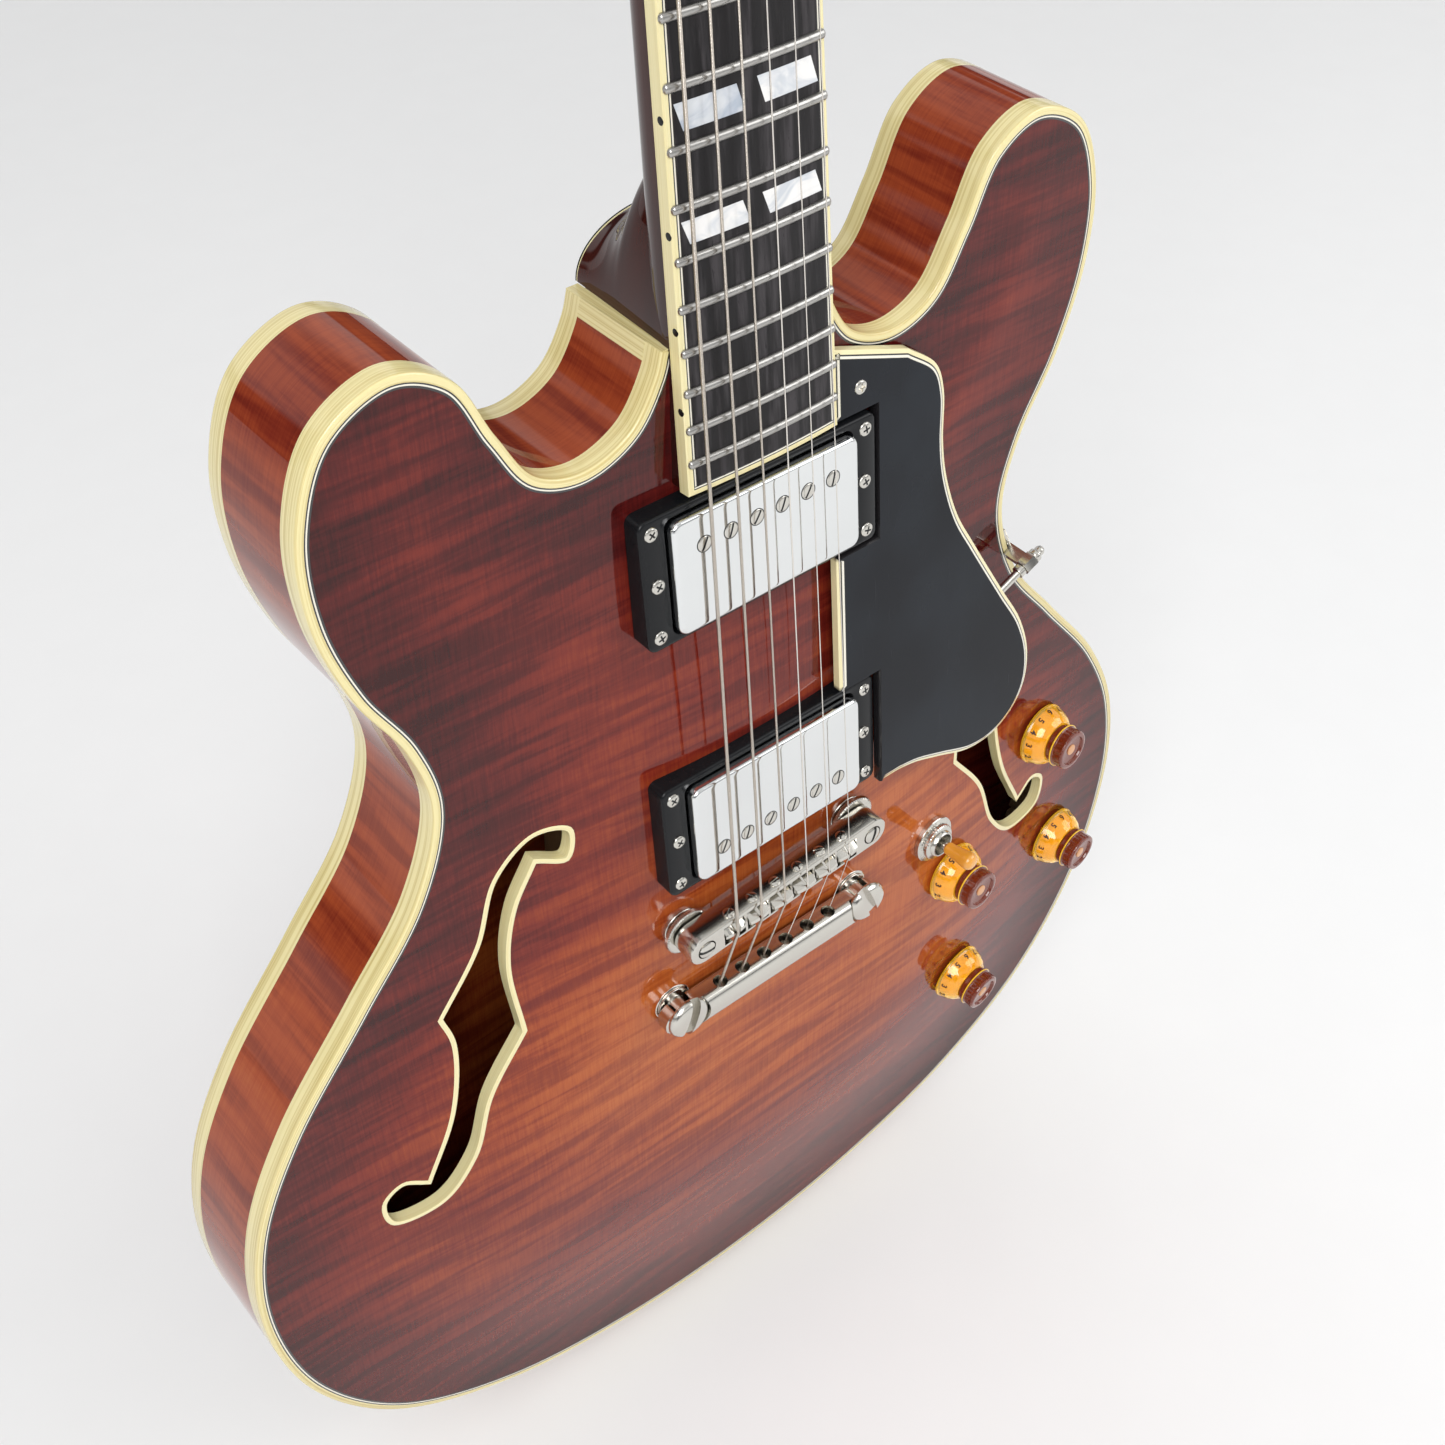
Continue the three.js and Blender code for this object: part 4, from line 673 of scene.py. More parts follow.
def topBurst(finish):
    edge = finish.node("Attribute", {"attribute_name": "edge"}, output="Fac")
    x = finish.axis(finish.place(), "X")
    z = finish.axis(finish.place(), "Z")
    (cx, cz), (rx, rz) = burstSet["middle"], burstSet["reach"]
    core = ((z - cz) / rz) ** 2 + ((x - cx) / rx) ** 2
    return 0.13 + edge.step(*burstSet["rim"]) * 0.29 + (1 - core.step(0.05, 2.1)) * 0.38


alongGrain = (1300, 300, 70)
burstColours = [(0.036, 0.003, 0.003), (0.088, 0.007, 0.006), (0.165, 0.017, 0.009),
                (0.255, 0.040, 0.011), (0.375, 0.082, 0.017), (0.48, 0.13, 0.028)]
rimColours = [(0.05, 0.007, 0.005), (0.17, 0.02, 0.009), (0.32, 0.06, 0.018), (0.48, 0.135, 0.036)]
neckColours = [(0.010, 0.0025, 0.002), (0.032, 0.006, 0.004), (0.075, 0.012, 0.006)]
redTop = flamedWood("redTop", burstColours, (19, 30, 190), alongGrain, topBurst)
redBack = flamedWood("redBack", burstColours, (17, 30, 170), alongGrain, topBurst, slant=-7)
redRim = flamedWood("redRim", rimColours, (170, 14, 170), (60, 1500, 60), slant=0)
redNeck = flamedWood("redNeck", neckColours, (40, 40, 9), (900, 900, 30), slant=0)


# Bare wood, lighter and darker along its grain.
def rawWood(name, light, dark, scale):
    finish = Finish(name, roughness=0.7)
    grain = finish.noise(scale, 4, 0.6, 0.4)
    finish.put(baseColor=finish.mix(grain.step(0.35, 0.7), light, dark))
    return finish.bump(grain, 0.2, 0.0003).material


blockWood = rawWood("blockWood", (0.33, 0.20, 0.09), (0.20, 0.11, 0.045), (260, 260, 18))
liningWood = rawWood("liningWood", (0.36, 0.22, 0.11), (0.22, 0.12, 0.06), (90, 90, 300))


# Near-black wood with greyish streaks along the neck and tiny open pores.
def ebonyFinish():
    finish = Finish("ebony", roughness=0.36, specularIorLevel=0.24)
    streaks = finish.noise((330, 330, 7), 4, 0.55)
    pores = finish.noise((2600, 2600, 190), 2)
    hollow = 1 - pores.step(0.30, 0.36)
    tone = finish.mix(streaks.step(0.44, 0.70), (0.0105, 0.0092, 0.010), (0.046, 0.041, 0.044))
    finish.put(baseColor=finish.mix(hollow * 0.7, tone, (0.004, 0.0035, 0.004)),
               roughness=0.30 + 0.22 * streaks)
    return finish.bump(0.6 * streaks - hollow, 0.35, 0.00008).material


ebony = ebonyFinish()


# Cream plastic with thin brown lines along its length, from the uv along the strip.
def grainedIvory(name, base=(0.74, 0.65, 0.33), tint=0.5):
    finish = Finish(name, roughness=0.24, coatWeight=0.5, coatRoughness=0.06, subsurfaceWeight=0.08,
                    subsurfaceRadius=(0.002, 0.0014, 0.0008), subsurfaceScale=1.0)
    thin = finish.noise((7, 1300, 1), 2, 0.45, surface=True)
    wide = finish.noise((3, 520, 1), 1, 0.4, surface=True)
    amount = thin.step(0.48, 0.60) * tint + wide.step(0.5, 0.62) * tint * 0.7
    finish.put(baseColor=finish.mix(amount, base, (0.50, 0.38, 0.13)))
    return finish.bump(thin, 0.03, 0.00003).material


ivory = grainedIvory("grainedIvory")
creamPlain = grainedIvory("creamEdge", (0.76, 0.68, 0.38), tint=0.16)


whitePly, blackPly, guardPly = (0.78, 0.75, 0.64), (0.012, 0.011, 0.012), (0.80, 0.72, 0.42)


# Thin plies beside each other: bands of black or white at millimetres across the strip's uv. The
# attribute named by shown is 1 where they are seen.
def pliedFinish(name, bands, base, shown=None):
    finish = Finish(name, roughness=0.25, coatWeight=0.6, coatRoughness=0.05)
    across = finish.axis(finish.place(surface=True), "Y") * 1000
    soft = finish.noise(700, 2)
    colour = finish.mix(soft * 0.1, base, (0.4, 0.33, 0.26))
    for low, high, shade in bands:
        colour = finish.mix(across.band(low, high, 0.03), colour, shade)
    if shown:
        seen = finish.node("Attribute", {"attribute_name": shown}, output="Fac")
        colour = finish.mix(seen, blackPly, colour)
    return finish.put(baseColor=colour).material


purflingPlies = pliedFinish("purflingPlies", [(-0.1, 0.42, blackPly), (0.86, 1.6, blackPly)],
                            whitePly)
boardPlies = pliedFinish("boardPlies", [(-0.1, 0.34, blackPly), (0.78, 1.2, blackPly)], whitePly)


def pearlFinish(name, white, shadow):
    finish = Finish(name, roughness=0.16, coatWeight=0.8, coatRoughness=0.04)
    wave = finish.noise((55, 55, 120), 3, 0.55, 1.6)
    flake = finish.noise(420, 2)
    tone = finish.mix(wave.step(0.36, 0.64), white, shadow)
    finish.put(baseColor=finish.mix(flake * 0.35, tone, (0.72, 0.70, 0.74)))
    return finish.bump(wave, 0.05, 0.0001).material


pearl = pearlFinish("pearl", (0.80, 0.79, 0.76), (0.50, 0.54, 0.58))
greyPearl = pearlFinish("greyPearl", (0.30, 0.36, 0.44), (0.55, 0.58, 0.60))


# A colour with clouds of another in it, which also make the surface slightly uneven.
def plainFinish(name, colour, spot, roughness, coat=0.0, scale=400, amount=0.3, shine=0.5):
    finish = Finish(name, coatWeight=coat, coatRoughness=0.05, specularIorLevel=shine)
    cloud = finish.noise(scale)
    finish.put(baseColor=finish.mix(cloud * amount, colour, spot),
               roughness=roughness * 0.85 + cloud * roughness * 0.3)
    return finish.bump(cloud, 0.15, 0.00004).material


bone = plainFinish("bone", (0.76, 0.70, 0.56), (0.55, 0.46, 0.33), 0.32, 0.2)
blackPlastic = plainFinish("blackPlastic", (0.005, 0.0055, 0.0065), (0.016, 0.017, 0.019), 0.22,
                           shine=0.22)
tipPlastic = plainFinish("caramelTip", (0.74, 0.33, 0.035), (0.52, 0.19, 0.02), 0.16, 0.8)
buttonPlastic = plainFinish("pearlButton", (0.62, 0.58, 0.46), (0.36, 0.34, 0.27), 0.2, 0.8, 120,
                            0.7)


# Metal: a colour with darker clouds, faint wipe marks and a slightly uneven polish.
def metalFinish(name, colour, roughness, marks=0.1, scale=(300, 300, 300), spots=0.0):
    finish = Finish(name, metallic=1.0)
    cloud = finish.noise(35, 3, 0.55)
    wiped = finish.noise(scale, 3, 0.6)
    dull = finish.noise(900, 2)
    darker = tuple(c * 0.72 for c in colour)
    finish.put(baseColor=finish.mix(cloud * 0.25 + dull.step(0.62, 0.75) * spots, colour, darker),
               roughness=roughness * 0.7 + cloud * roughness * 0.5 + dull.step(0.6,
                                                                               0.8) * spots * 0.3)
    return finish.bump(wiped, marks, 0.00003).material


nickel = metalFinish("nickel", (0.64, 0.62, 0.57), 0.2, 0.08, (900, 60, 60), 0.16)
coverNickel = metalFinish("coverNickel", (0.76, 0.775, 0.775), 0.05, 0.03, (80, 80, 80), 0.05)
steel = metalFinish("steel", (0.56, 0.55, 0.54), 0.24, 0.2, (500, 500, 500), 0.3)
fretMetal = metalFinish("fretMetal", (0.43, 0.42, 0.40), 0.3, 0.08, (60, 1200, 1200), 0.1)
plainString = metalFinish("plainString", (0.74, 0.70, 0.65), 0.18, 0.05)


# A wound string: a rounded wrap whose turns, each as wide as its pitch, are fine rings, with painted
# shade in the grooves between turns and a painted highlight on each crest.
def woundFinish(pitch=0.00032):
    finish = Finish("woundString", metallic=1.0)
    run = finish.axis(finish.place(surface=True), "X") * (2 * math.pi / pitch)
    ring = run.math("SINE", run) * 0.5 + 0.5
    # colour: painted shade in the grooves, a painted highlight on the crests
    finish.put(baseColor=finish.mix(ring, (0.36, 0.31, 0.26), (0.80, 0.74, 0.66)),
               roughness=0.34 - 0.1 * ring)
    return finish.bump(ring, 0.5, 0.0001).material


woundString = woundFinish()


# Guard plastic: near-black with faint scratches, its slate-blue tint a painted sheen.
def guardFinish():
    finish = Finish("guardPlastic", coatWeight=0.0, specularIorLevel=0.2)
    cloud = finish.noise((26, 26, 20))
    scratch = finish.noise((2300, 300, 60), 2, 0.5, turn=(0, 0.5, 0))
    # both tones carry the slate-blue painted sheen
    tone = finish.mix(cloud.step(0.35, 0.7), (0.005, 0.006, 0.009), (0.010, 0.013, 0.018))
    finish.put(baseColor=finish.mix(scratch.step(0.68, 0.8) * 0.3, tone, (0.05, 0.055, 0.06)),
               roughness=0.06 + 0.06 * cloud)
    return finish.bump(scratch, 0.04, 0.00003).material


guardPlastic = guardFinish()
guardBands = [(-0.1, 0.16, blackPly), (0.16, 0.75, whitePly), (0.75, 1.15, blackPly),
              (4.9, 12, blackPly)]
guardPlies = pliedFinish("guardPlies", guardBands, guardPly, shown="pale")


# Clear amber of the knob: light goes through its colour, deepest in the crown. It also glows faintly
# in its own colour, a painted light.
def amberFinish(name, colour, glow, transmission, roughness=0.08):
    finish = Finish(name, roughness=roughness, coatWeight=0.6, coatRoughness=0.04, ior=1.48,
                    transmissionWeight=transmission, emissionStrength=0.12)
    cloud = finish.noise(120, 2)
    # the emission makes the amber glow: painted light
    finish.put(baseColor=finish.mix(cloud * 0.5, colour, glow),
               emissionColor=finish.mix(cloud * 0.5, colour, glow))
    return finish.bump(cloud, 0.05, 0.0001).material


amberSkirt = amberFinish("amberSkirt", (0.93, 0.56, 0.02), (0.96, 0.68, 0.05), 0.85)
amberCrown = amberFinish("amberCrown", (0.17, 0.022, 0.006), (0.26, 0.045, 0.01), 0.45)
amberInside = amberFinish("amberInside", (0.80, 0.47, 0.015), (0.90, 0.60, 0.04), 0.0, 0.35)
paleCap = plainFinish("paleCap", (0.62, 0.30, 0.12), (0.42, 0.18, 0.07), 0.3, 0.6)
inkFinish = plainFinish("numeralInk", (0.035, 0.012, 0.006), (0.05, 0.02, 0.01), 0.5)

# The slot that each finish goes with unless a piece names another. makeObject looks the slot up but
# does not put it on the piece.
usualSlots = {finish.name: slot for slot, finishes in {
    "red_top": [redTop], "red_rim": [redBack, redRim], "neck_wood": [redNeck],
    "block_wood": [liningWood], "ebony": [ebony], "bone": [bone, pearl, greyPearl],
    "ivory": [ivory, creamPlain, purflingPlies, boardPlies], "steel": [steel],
    "nickel": [nickel, coverNickel, fretMetal], "black_plastic": [blackPlastic, inkFinish],
    "string_steel": [plainString, woundString], "guard_plastic": [guardPlastic, guardPlies],
    "amber": [amberSkirt, amberCrown, amberInside, paleCap], "tip": [tipPlastic],
    "button": [buttonPlastic]}.items() for finish in finishes}
print("finishes ready")


# Body. Offsets go inwards from the edge; the neck's end of the outline stays open.
def offsetPath(path, distance):
    t = np.gradient(path, axis=0)
    t /= np.linalg.norm(t, axis=1)[:, None]
    return path + distance * np.stack([-t[:, 1], t[:, 0]], 1)


# A section of (inset, height, follows) points carried along the plan's edge; where one follows,
# the height of the surface at the point is added.
def alongEdge(section, surface=None):
    rows = []
    for inset, height, follows in section:
        plan = offsetPath(edgePath, inset)
        z = surface(plan[:, 0], plan[:, 1]) if follows else 0.0
        rows.append(raised(plan, float(height) + z))
    return barOf(rows)


edgePath = bodyEdge[:len(bodyEdge) - bodySet["stubPoints"]]
depth = bodySet["depth"]
bindingSet = {"width": 2.4, "height": 7, "round": 0.8, "purfling": 1.5, "lift": 0.03, "sunk": 1.6,
              "endReach": 25.2}
w, h, r = bindingSet["width"], bindingSet["height"], bindingSet["round"]
sunk, lift = bindingSet["sunk"], bindingSet["lift"]
cornerArc = [(0, -r), (r * 0.08, -r * 0.6), (r * 0.3, -r * 0.28), (r * 0.65, -r * 0.07)]
frontSection = ([(0, -h, 0)] + [(x, z, 0) for x, z in cornerArc]
                + [(r * 1.1, lift, 0), (w, lift, 1), (w, -h, 0)])
backSection = ([(0, -depth + h, 0)] + [(x, -depth - z, 0) for x, z in cornerArc]
               + [(r * 1.1, -depth, 0), (w, -lift, 1), (w, -depth + h, 0)])
for side, section, surface in (("front", frontSection, topHeight),
                               ("back", backSection, backHeight)):
    makeObject(side + "_binding_strip", alongEdge(section, surface), ivory,
               replaces=[side + "_binding"])

p = w + bindingSet["purfling"]
purfling = alongEdge([(w, lift, 1), (p, lift, 1), (p, -sunk, 1), (w, -sunk, 1)], topHeight)
makeObject("top_purfling", purfling, purflingPlies)

rimSet = {"thickness": 2.6, "kerf": 6.0, "top": 5.2, "wide": 5.2, "cut": 1.2, "tip": 0.45,
          "straight": 5, "height": 10}
rimWide = rimSet["thickness"]
rimSection = [(0.02, -h, 0), (0.02, -depth + h, 0), (rimWide, -depth + h, 0), (rimWide, -h, 0)]
makeObject("rim_sides", alongEdge(rimSection), redRim, replaces=["rim"])


# Kerfed linings: a strip inside each rim edge whose inner face steps in at every saw cut.
def lining(near, sign):
    path = evenly(edgePath[20:-20], rimSet["kerf"] / 4)
    cut = np.where(np.arange(len(path)) % 4 == 0, rimWide + rimSet["cut"], rimWide + rimSet["wide"])
    outer = offsetPath(path, rimWide)
    normal = offsetPath(path, 1.0) - path
    inner = path + normal * cut[:, None]
    tip = path + normal * (rimWide + (cut - rimWide)[:, None] * rimSet["tip"])
    far = near + sign * rimSet["height"]
    return barOf([raised(outer, near), raised(inner, near),
                  raised(inner, near + sign * rimSet["straight"]),
                  raised(tip, far), raised(outer, far)])


linings = joined(lining(-rimSet["top"], -1), lining(-depth + rimSet["top"], 1))
makeObject("kerfed_linings", linings, liningWood, sharp=20)


# Where a rim ends at the neck: an upright ivory strip round its corner, and a thin board up to
# the heel.
def rimEnd(corner, away):
    run = evenly(np.vstack([corner, away]), 0.6)[:10]
    cx, cy = corner
    side = math.copysign(1, cx)
    face = np.array([(side * bindingSet["endReach"], cy + 0.1)])
    outer = np.vstack([(cx - side * 0.4, cy + 0.1), (cx + side * 0.1, cy + 0.1),
                       run[1:] + [side * 0.1, 0]])
    inner = np.vstack([(cx - side * 1.2, cy - 1.3), run[3:] - [side * 1.2, 0]])[::-1]
    board = np.vstack([face, (cx - side * 0.1, cy + 0.1), (cx - side * 0.1, cy - 1.3),
                       face - [0, 1.4]])
    parts = []
    for loop, high, low in ((np.vstack([outer, inner]), -h, -depth + h),
                            (board, -0.3, -depth + 0.3)):
        parts.append(stacked([(loop, z) for z in np.linspace(high, low, 8)]))
    return joined(*parts)


for name, corner, away in (("first", edgePath[0], edgePath[1:14]),
                           ("last", edgePath[-1], edgePath[-14:-1][::-1])):
    makeObject("rim_end_%s" % name, rimEnd(corner, away), ivory, sharp=30)
print("rims and bindings ready")

# Top: the f-holes first, then the sheet with its holes, arched.
fHoleSet = {"scale": 144.5, "centre": (111, -6.5), "binding": 1.7, "proud": 0.12}
fHoleCurves = [
    [(-0.182, 0.41), (-0.122, 0.306), (-0.087, 0.157), (-0.097, -0.057)],
    [(-0.097, -0.057), (0.011, -0.208), (0.077, -0.383), (0.175, -0.486), (0.3, -0.476),
     (0.315, -0.38), (0.26, -0.342), (0.201, -0.377)],
    [(0.201, -0.377), (0.115, -0.19), (0.081, 0.008), (0.1, 0.102)],
    [(0.1, 0.102), (-0.014, 0.257), (-0.082, 0.426), (-0.182, 0.497), (-0.274, 0.464),
     (-0.258, 0.377), (-0.182, 0.41)]]


def counterClockwise(loop):
    x, y = loop.T
    return loop[::-1] if (x * np.roll(y, -1) - y * np.roll(x, -1)).sum() < 0 else loop


def fHoleLoop(side):
    runs = [evenly(smoothCurve(c, 16), 0.012) for c in fHoleCurves]
    loop = np.vstack([r[:-1] for r in runs]) * fHoleSet["scale"] + fHoleSet["centre"]
    return counterClockwise((loop * [-1, 1])[::-1] if side < 0 else loop)


fHoles = {"bass": fHoleLoop(-1), "treble": fHoleLoop(1)}
pickupSet = {"neck": 141.41, "bridge": 42.4, "route": (70, 38, 3)}
routes = [roundRectangle(*pickupSet["route"]) + [0, pickupSet[k]] for k in ("neck", "bridge")]


# The top or the back: a sheet of even triangles up to its binding, arched, with the distance to
# the body's edge in metres kept on it for the burst.
def archedPlate(name, node, finish, inset, holes, spacing, margin, heights):
    loop = evenly(drawnIn(bodyEdge, inset), 2.2, True)
    plan, tris = planSheet([loop], holes, spacing, margin)
    made = makeObject(name, plate(plan, tris, *heights(plan[:, 0], plan[:, 1])), finish,
                      replaces=[node], sharp=40)
    values = np.tile(wayTo(plan, bodyEdge), 2) / 1000
    layer = made.data.attributes.new("edge", "FLOAT", "POINT")
    layer.data.foreach_set("value", values.astype(np.float32))


def topHeights(x, y):
    high = topHeight(x, y)
    return high, high - bodySet["plate"]


def backHeights(x, y):
    low = backHeight(x, y)
    return low + bodySet["plate"], low


archedPlate("top_plate_maple", "top_plate", redTop, p, list(fHoles.values()) + routes, 3.0, 1.3,
            topHeights)
for side, loop in fHoles.items():
    inner, outer = drawnIn(loop, fHoleSet["binding"]), drawnIn(loop, -0.02)
    rows = []
    for share, rise in ((0, 0), (0.12, 1), (0.5, 1.25), (0.88, 1), (1, 0.2)):
        rows.append(overTop(outer * (1 - share) + inner * share, rise * fHoleSet["proud"]))
    for q in (inner, outer):
        rows.append(raised(q, topHeight(q[:, 0], q[:, 1]) - bodySet["plate"] - 0.1))
    makeObject("f_hole_binding_" + side, ringOf(rows), creamPlain, sharp=50)
print("top ready")

archedPlate("back_plate_maple", "back_plate", redBack, w, [], 3.6, 1.5, backHeights)
paint("center_block", blockWood)
paint("truss_rod", steel)
print("back ready")

# Neck. Everything here is made in the neck frame, then turned back by the neck angle.
def crown(x):
    return -np.asarray(x, float) ** 2 / (2 * neckSet["boardRadius"])


def onNeck(part):
    return moved(part, fromNeck)


boardSet = {"binding": 1.7, "plies": 1.1, "bindingEdge": 0.35, "fretWidth": 2.7, "fretHeight": 1.2,
            "fretInset": 0.25, "fretEnd": 0.9}
scale, headStart = neckSet["scale"], neckSet["scale"] + neckSet["nutLength"]


# A slab of the board between two insets from its sides, from one end to the other.
def boardSlab(inset, near, far):
    y, share = np.linspace(near, far, 60), np.linspace(-1, 1, 25)
    x = (boardHalf(y) - inset)[:, None] * share
    top = np.stack([x, np.repeat(y[:, None], len(share), 1), crown(x)], -1)
    low = top[:, ::-1].copy()
    low[..., 2] = -neckSet["boardThickness"]
    return skin(np.concatenate([top, low], 1), closeV=True, capped=True)


inner = boardSet["binding"] + boardSet["plies"]
board = boardSlab(inner, boardEnd + inner, scale)
makeObject("fingerboard_ebony", onNeck(board), ebony, replaces=["fingerboard"])


# A strip along one side, round the end of the board and back up the other side. Its section is
# a row of (inset, height above the crown or None for the board's underside).
def boardStrip(section):
    half, top = float(boardHalf(boardEnd)), float(boardHalf(scale))
    corner = np.array([(half, boardEnd), (-half, boardEnd)])
    path = np.vstack([np.linspace((top, scale), corner[0], 40),
                      np.linspace(corner[0], corner[1], 30)[1:],
                      np.linspace(corner[1], (-top, scale), 40)[1:]])
    run = np.diff(path, axis=0)
    run /= np.linalg.norm(run, axis=1)[:, None]
    n = np.stack([run[:, 1], -run[:, 0]], 1)
    before, after = np.vstack([n[:1], n]), np.vstack([n, n[-1:]])
    mean = before + after
    mean /= (mean * before).sum(1)[:, None]
    rows = []
    for inset, rise in section:
        q = path + mean * inset
        rows.append(raised(q,
                           -neckSet["boardThickness"] if rise is None else crown(q[:, 0]) + rise))
    return barOf(rows)


b, edge = boardSet["binding"], boardSet["bindingEdge"]
strip = boardStrip([(edge, 0), (b, 0), (b, None), (0, None), (0, -edge)])
lines = boardStrip([(b, 0), (inner, 0), (inner, None), (b, None), (b, 0)])
makeObject("board_binding", onNeck(strip), creamPlain, replaces=["fingerboard_binding"])
makeObject("board_plies", onNeck(lines), boardPlies)


# Frets: half an ellipse in section, running over the binding, each end rounded off.
def fretBar(y):
    half, tip = float(boardHalf(y)) - boardSet["fretInset"], boardSet["fretEnd"]
    end = half - tip
    turn = np.linspace(0, math.pi / 2, 5)
    x = np.concatenate([-end - tip * np.cos(turn), np.linspace(-end, end, 16)[1:-1],
                        (end + tip * np.cos(turn))[::-1]])
    size = np.concatenate([np.sin(turn), np.ones(14), np.sin(turn)[::-1]]) * 0.98 + 0.02
    a = np.linspace(0, math.pi, 9)
    across = np.concatenate([np.cos(a), [-0.9, 0.9]])
    up = np.concatenate([np.sin(a), [-0.35, -0.35]])
    grid = np.stack([np.repeat(x[:, None], 11, 1),
                     y + size[:, None] * across * boardSet["fretWidth"] / 2,
                     crown(x)[:, None] + size[:, None] * up * boardSet["fretHeight"]], -1)
    return skin(grid, closeV=True, capped=True)


frets = joined(*[fretBar(fretPlace(n)) for n in range(1, neckSet["frets"] + 1)])
makeObject("frets", onNeck(frets), fretMetal, sharp=60)


# A thin slab over a quadrilateral, its top on the board's crown.
def inlaySlab(corners):
    (ax, ay), (bx, by), (cx, cy), (dx, dy) = corners
    u = np.linspace(0, 1, 12)
    near = np.stack([dx + (cx - dx) * u, dy + (cy - dy) * u], 1)
    far = np.stack([ax + (bx - ax) * u, ay + (by - ay) * u], 1)
    rise, under = inlaySet["rise"], inlaySet["depth"]
    return barOf([raised(q, crown(q[:, 0]) + up)
                  for q, up in ((near, rise), (far, rise), (far, -under), (near, -under))])


# Inlays: at each place two blocks beside a slanted gap, one of white and one of grey pearl.
inlaySet = {"frets": (1, 3, 5, 7, 9, 12, 15, 17), "greyOnBass": (1, 3, 5, 7, 9, 12, 15),
            "length": 0.46,
            "margin": 4.2, "lean": 1.15, "gap": 3.3, "shift": 0.4, "rise": 0.025, "depth": 0.5}
for fret in inlaySet["frets"]:
    near, far = fretPlace(fret), fretPlace(fret - 1)
    middle, half = (near + far) / 2, (far - near) * inlaySet["length"] / 2
    wide = float(boardHalf(middle)) - inlaySet["margin"]
    lean, gap, shift = inlaySet["lean"], inlaySet["gap"], inlaySet["shift"]
    high, low = middle + half, middle - half
    bass = [(-wide - lean, high), (-gap - lean + shift, high), (-gap + lean + shift, low),
            (-wide + lean, low)]
    treble = [(gap - lean + shift, high), (wide - lean, high), (wide + lean, low),
              (gap + lean + shift, low)]
    bassPearl = greyPearl if fret in inlaySet["greyOnBass"] else pearl
    for side, corners, finish in (("bass", bass, bassPearl), ("treble", treble, pearl)):
        makeObject("inlay_%d_%s" % (fret, side), onNeck(inlaySlab(corners)), finish)

# Side dots, two of them at the octave.
dotSet = {"frets": (3, 5, 7, 9, 12, 15, 17, 19, 21), "radius": 1.15, "apart": 4, "height": -2.5}
disc = lathe([(0, -0.4), (1, -0.4), (1, 0.02), (0.8, 0.05), (0, 0.06)], 20)
disc["points"][:, :2] *= dotSet["radius"]
disc = spun(disc, "Y", -math.pi / 2)
dots = []
for fret in dotSet["frets"]:
    for shift in ((-dotSet["apart"], dotSet["apart"]) if fret == 12 else (0,)):
        y = (fretPlace(fret) + fretPlace(fret - 1)) / 2 + shift
        dots.append(shifted(disc, -float(boardHalf(y)), y, dotSet["height"]))
makeObject("side_dots", onNeck(joined(*dots)), blackPlastic)
print("fingerboard ready")

# Strings' places: even steps across at the bridge and at the nut.
stringSet = {"radii": (0.58, 0.46, 0.36, 0.25, 0.2, 0.17), "atBridge": 50, "atNut": 35.5,
             "riseAtNut": 2.1, "riseAtBridge": 3.6}
spots = np.arange(6) / 5 - 0.5
nutX = spots * stringSet["atNut"]
bridgeX = spots * stringSet["atBridge"]


# Nut: a rounded bar across, with a slot under each string.
nutSet = {"start": 0.05, "end": 4.95, "rise": 1.75, "endFall": 0.35, "slotRoom": (0.06, 0.03)}


def nutBar():
    half, (aside, under) = neckSet["nutWidth"] / 2, nutSet["slotRoom"]
    x = np.linspace(-half, half, 345)
    top = crown(x) + nutSet["rise"] - nutSet["endFall"] * (np.abs(x) / half) ** 8
    for place, radius in zip(nutX, stringSet["radii"]):
        slot = crown(x) + stringSet["riseAtNut"] - radius - under
        top = np.where(np.abs(x - place) < radius + aside, slot, top)
    y0, y1 = scale + nutSet["start"], scale + nutSet["end"]
    low = -neckSet["boardThickness"]
    section = [(y0, low, 0), (y0, -0.1, 1), (y0 + 0.35, 0, 1), (y1 - 1.4, -0.08, 1),
               (y1 - 0.3, -0.6, 1), (y1, -1.5, 1), (y1, low, 0)]
    return barOf([np.column_stack([x, np.full(len(x), y), top + z if on else np.full(len(x), z)])
                  for y, z, on in section])


makeObject("nut_bone", onNeck(nutBar()), bone, replaces=["nut"])

# Neck wood: a D-shaped shaft, the heel as half ellipses that draw in towards the cap, the
# headstock, and the riser that fills the wedge under the board's free end.
woodSet = {"depthAtNut": 14.6, "depthAtHeel": 19.5, "power": 0.8, "heelLength": 16.5,
           "heelWidth": 50,
           "heelDrop": 1.2, "heelStart": 0.35, "shaftEnd": 188, "flare": 1.5, "flareAt": (8, 13)}
heelShares = [(0, 3, 1), (0.35, 3, 1), (0.5, 2.7, 1), (0.6, 2.1, 1), (0.72, 1.5, 1),
              (0.86, 1.13, 1), (0.975, 1, 1)]


def neckShaft():
    y = np.linspace(headStart, woodSet["shaftEnd"], 90)
    share = (headStart - y) / (headStart - boardEnd)
    half = boardHalf(np.minimum(y, scale))
    before, over = woodSet["flareAt"]
    flare = np.clip((y - scale + before) / over, 0, 1) ** 2 * woodSet["flare"]
    deeper = (woodSet["depthAtHeel"] - woodSet["depthAtNut"]) * share
    depthAt = woodSet["depthAtNut"] + deeper + flare
    turn = np.linspace(0, math.pi, 33)
    low = np.sin(turn) ** woodSet["power"]
    x = half[:, None] * np.cos(turn)
    z = -neckSet["boardThickness"] - 0.02 - depthAt[:, None] * low
    return skin(np.stack([x, np.repeat(y[:, None], 33, 1), z], -1), closeV=True, capped=True)


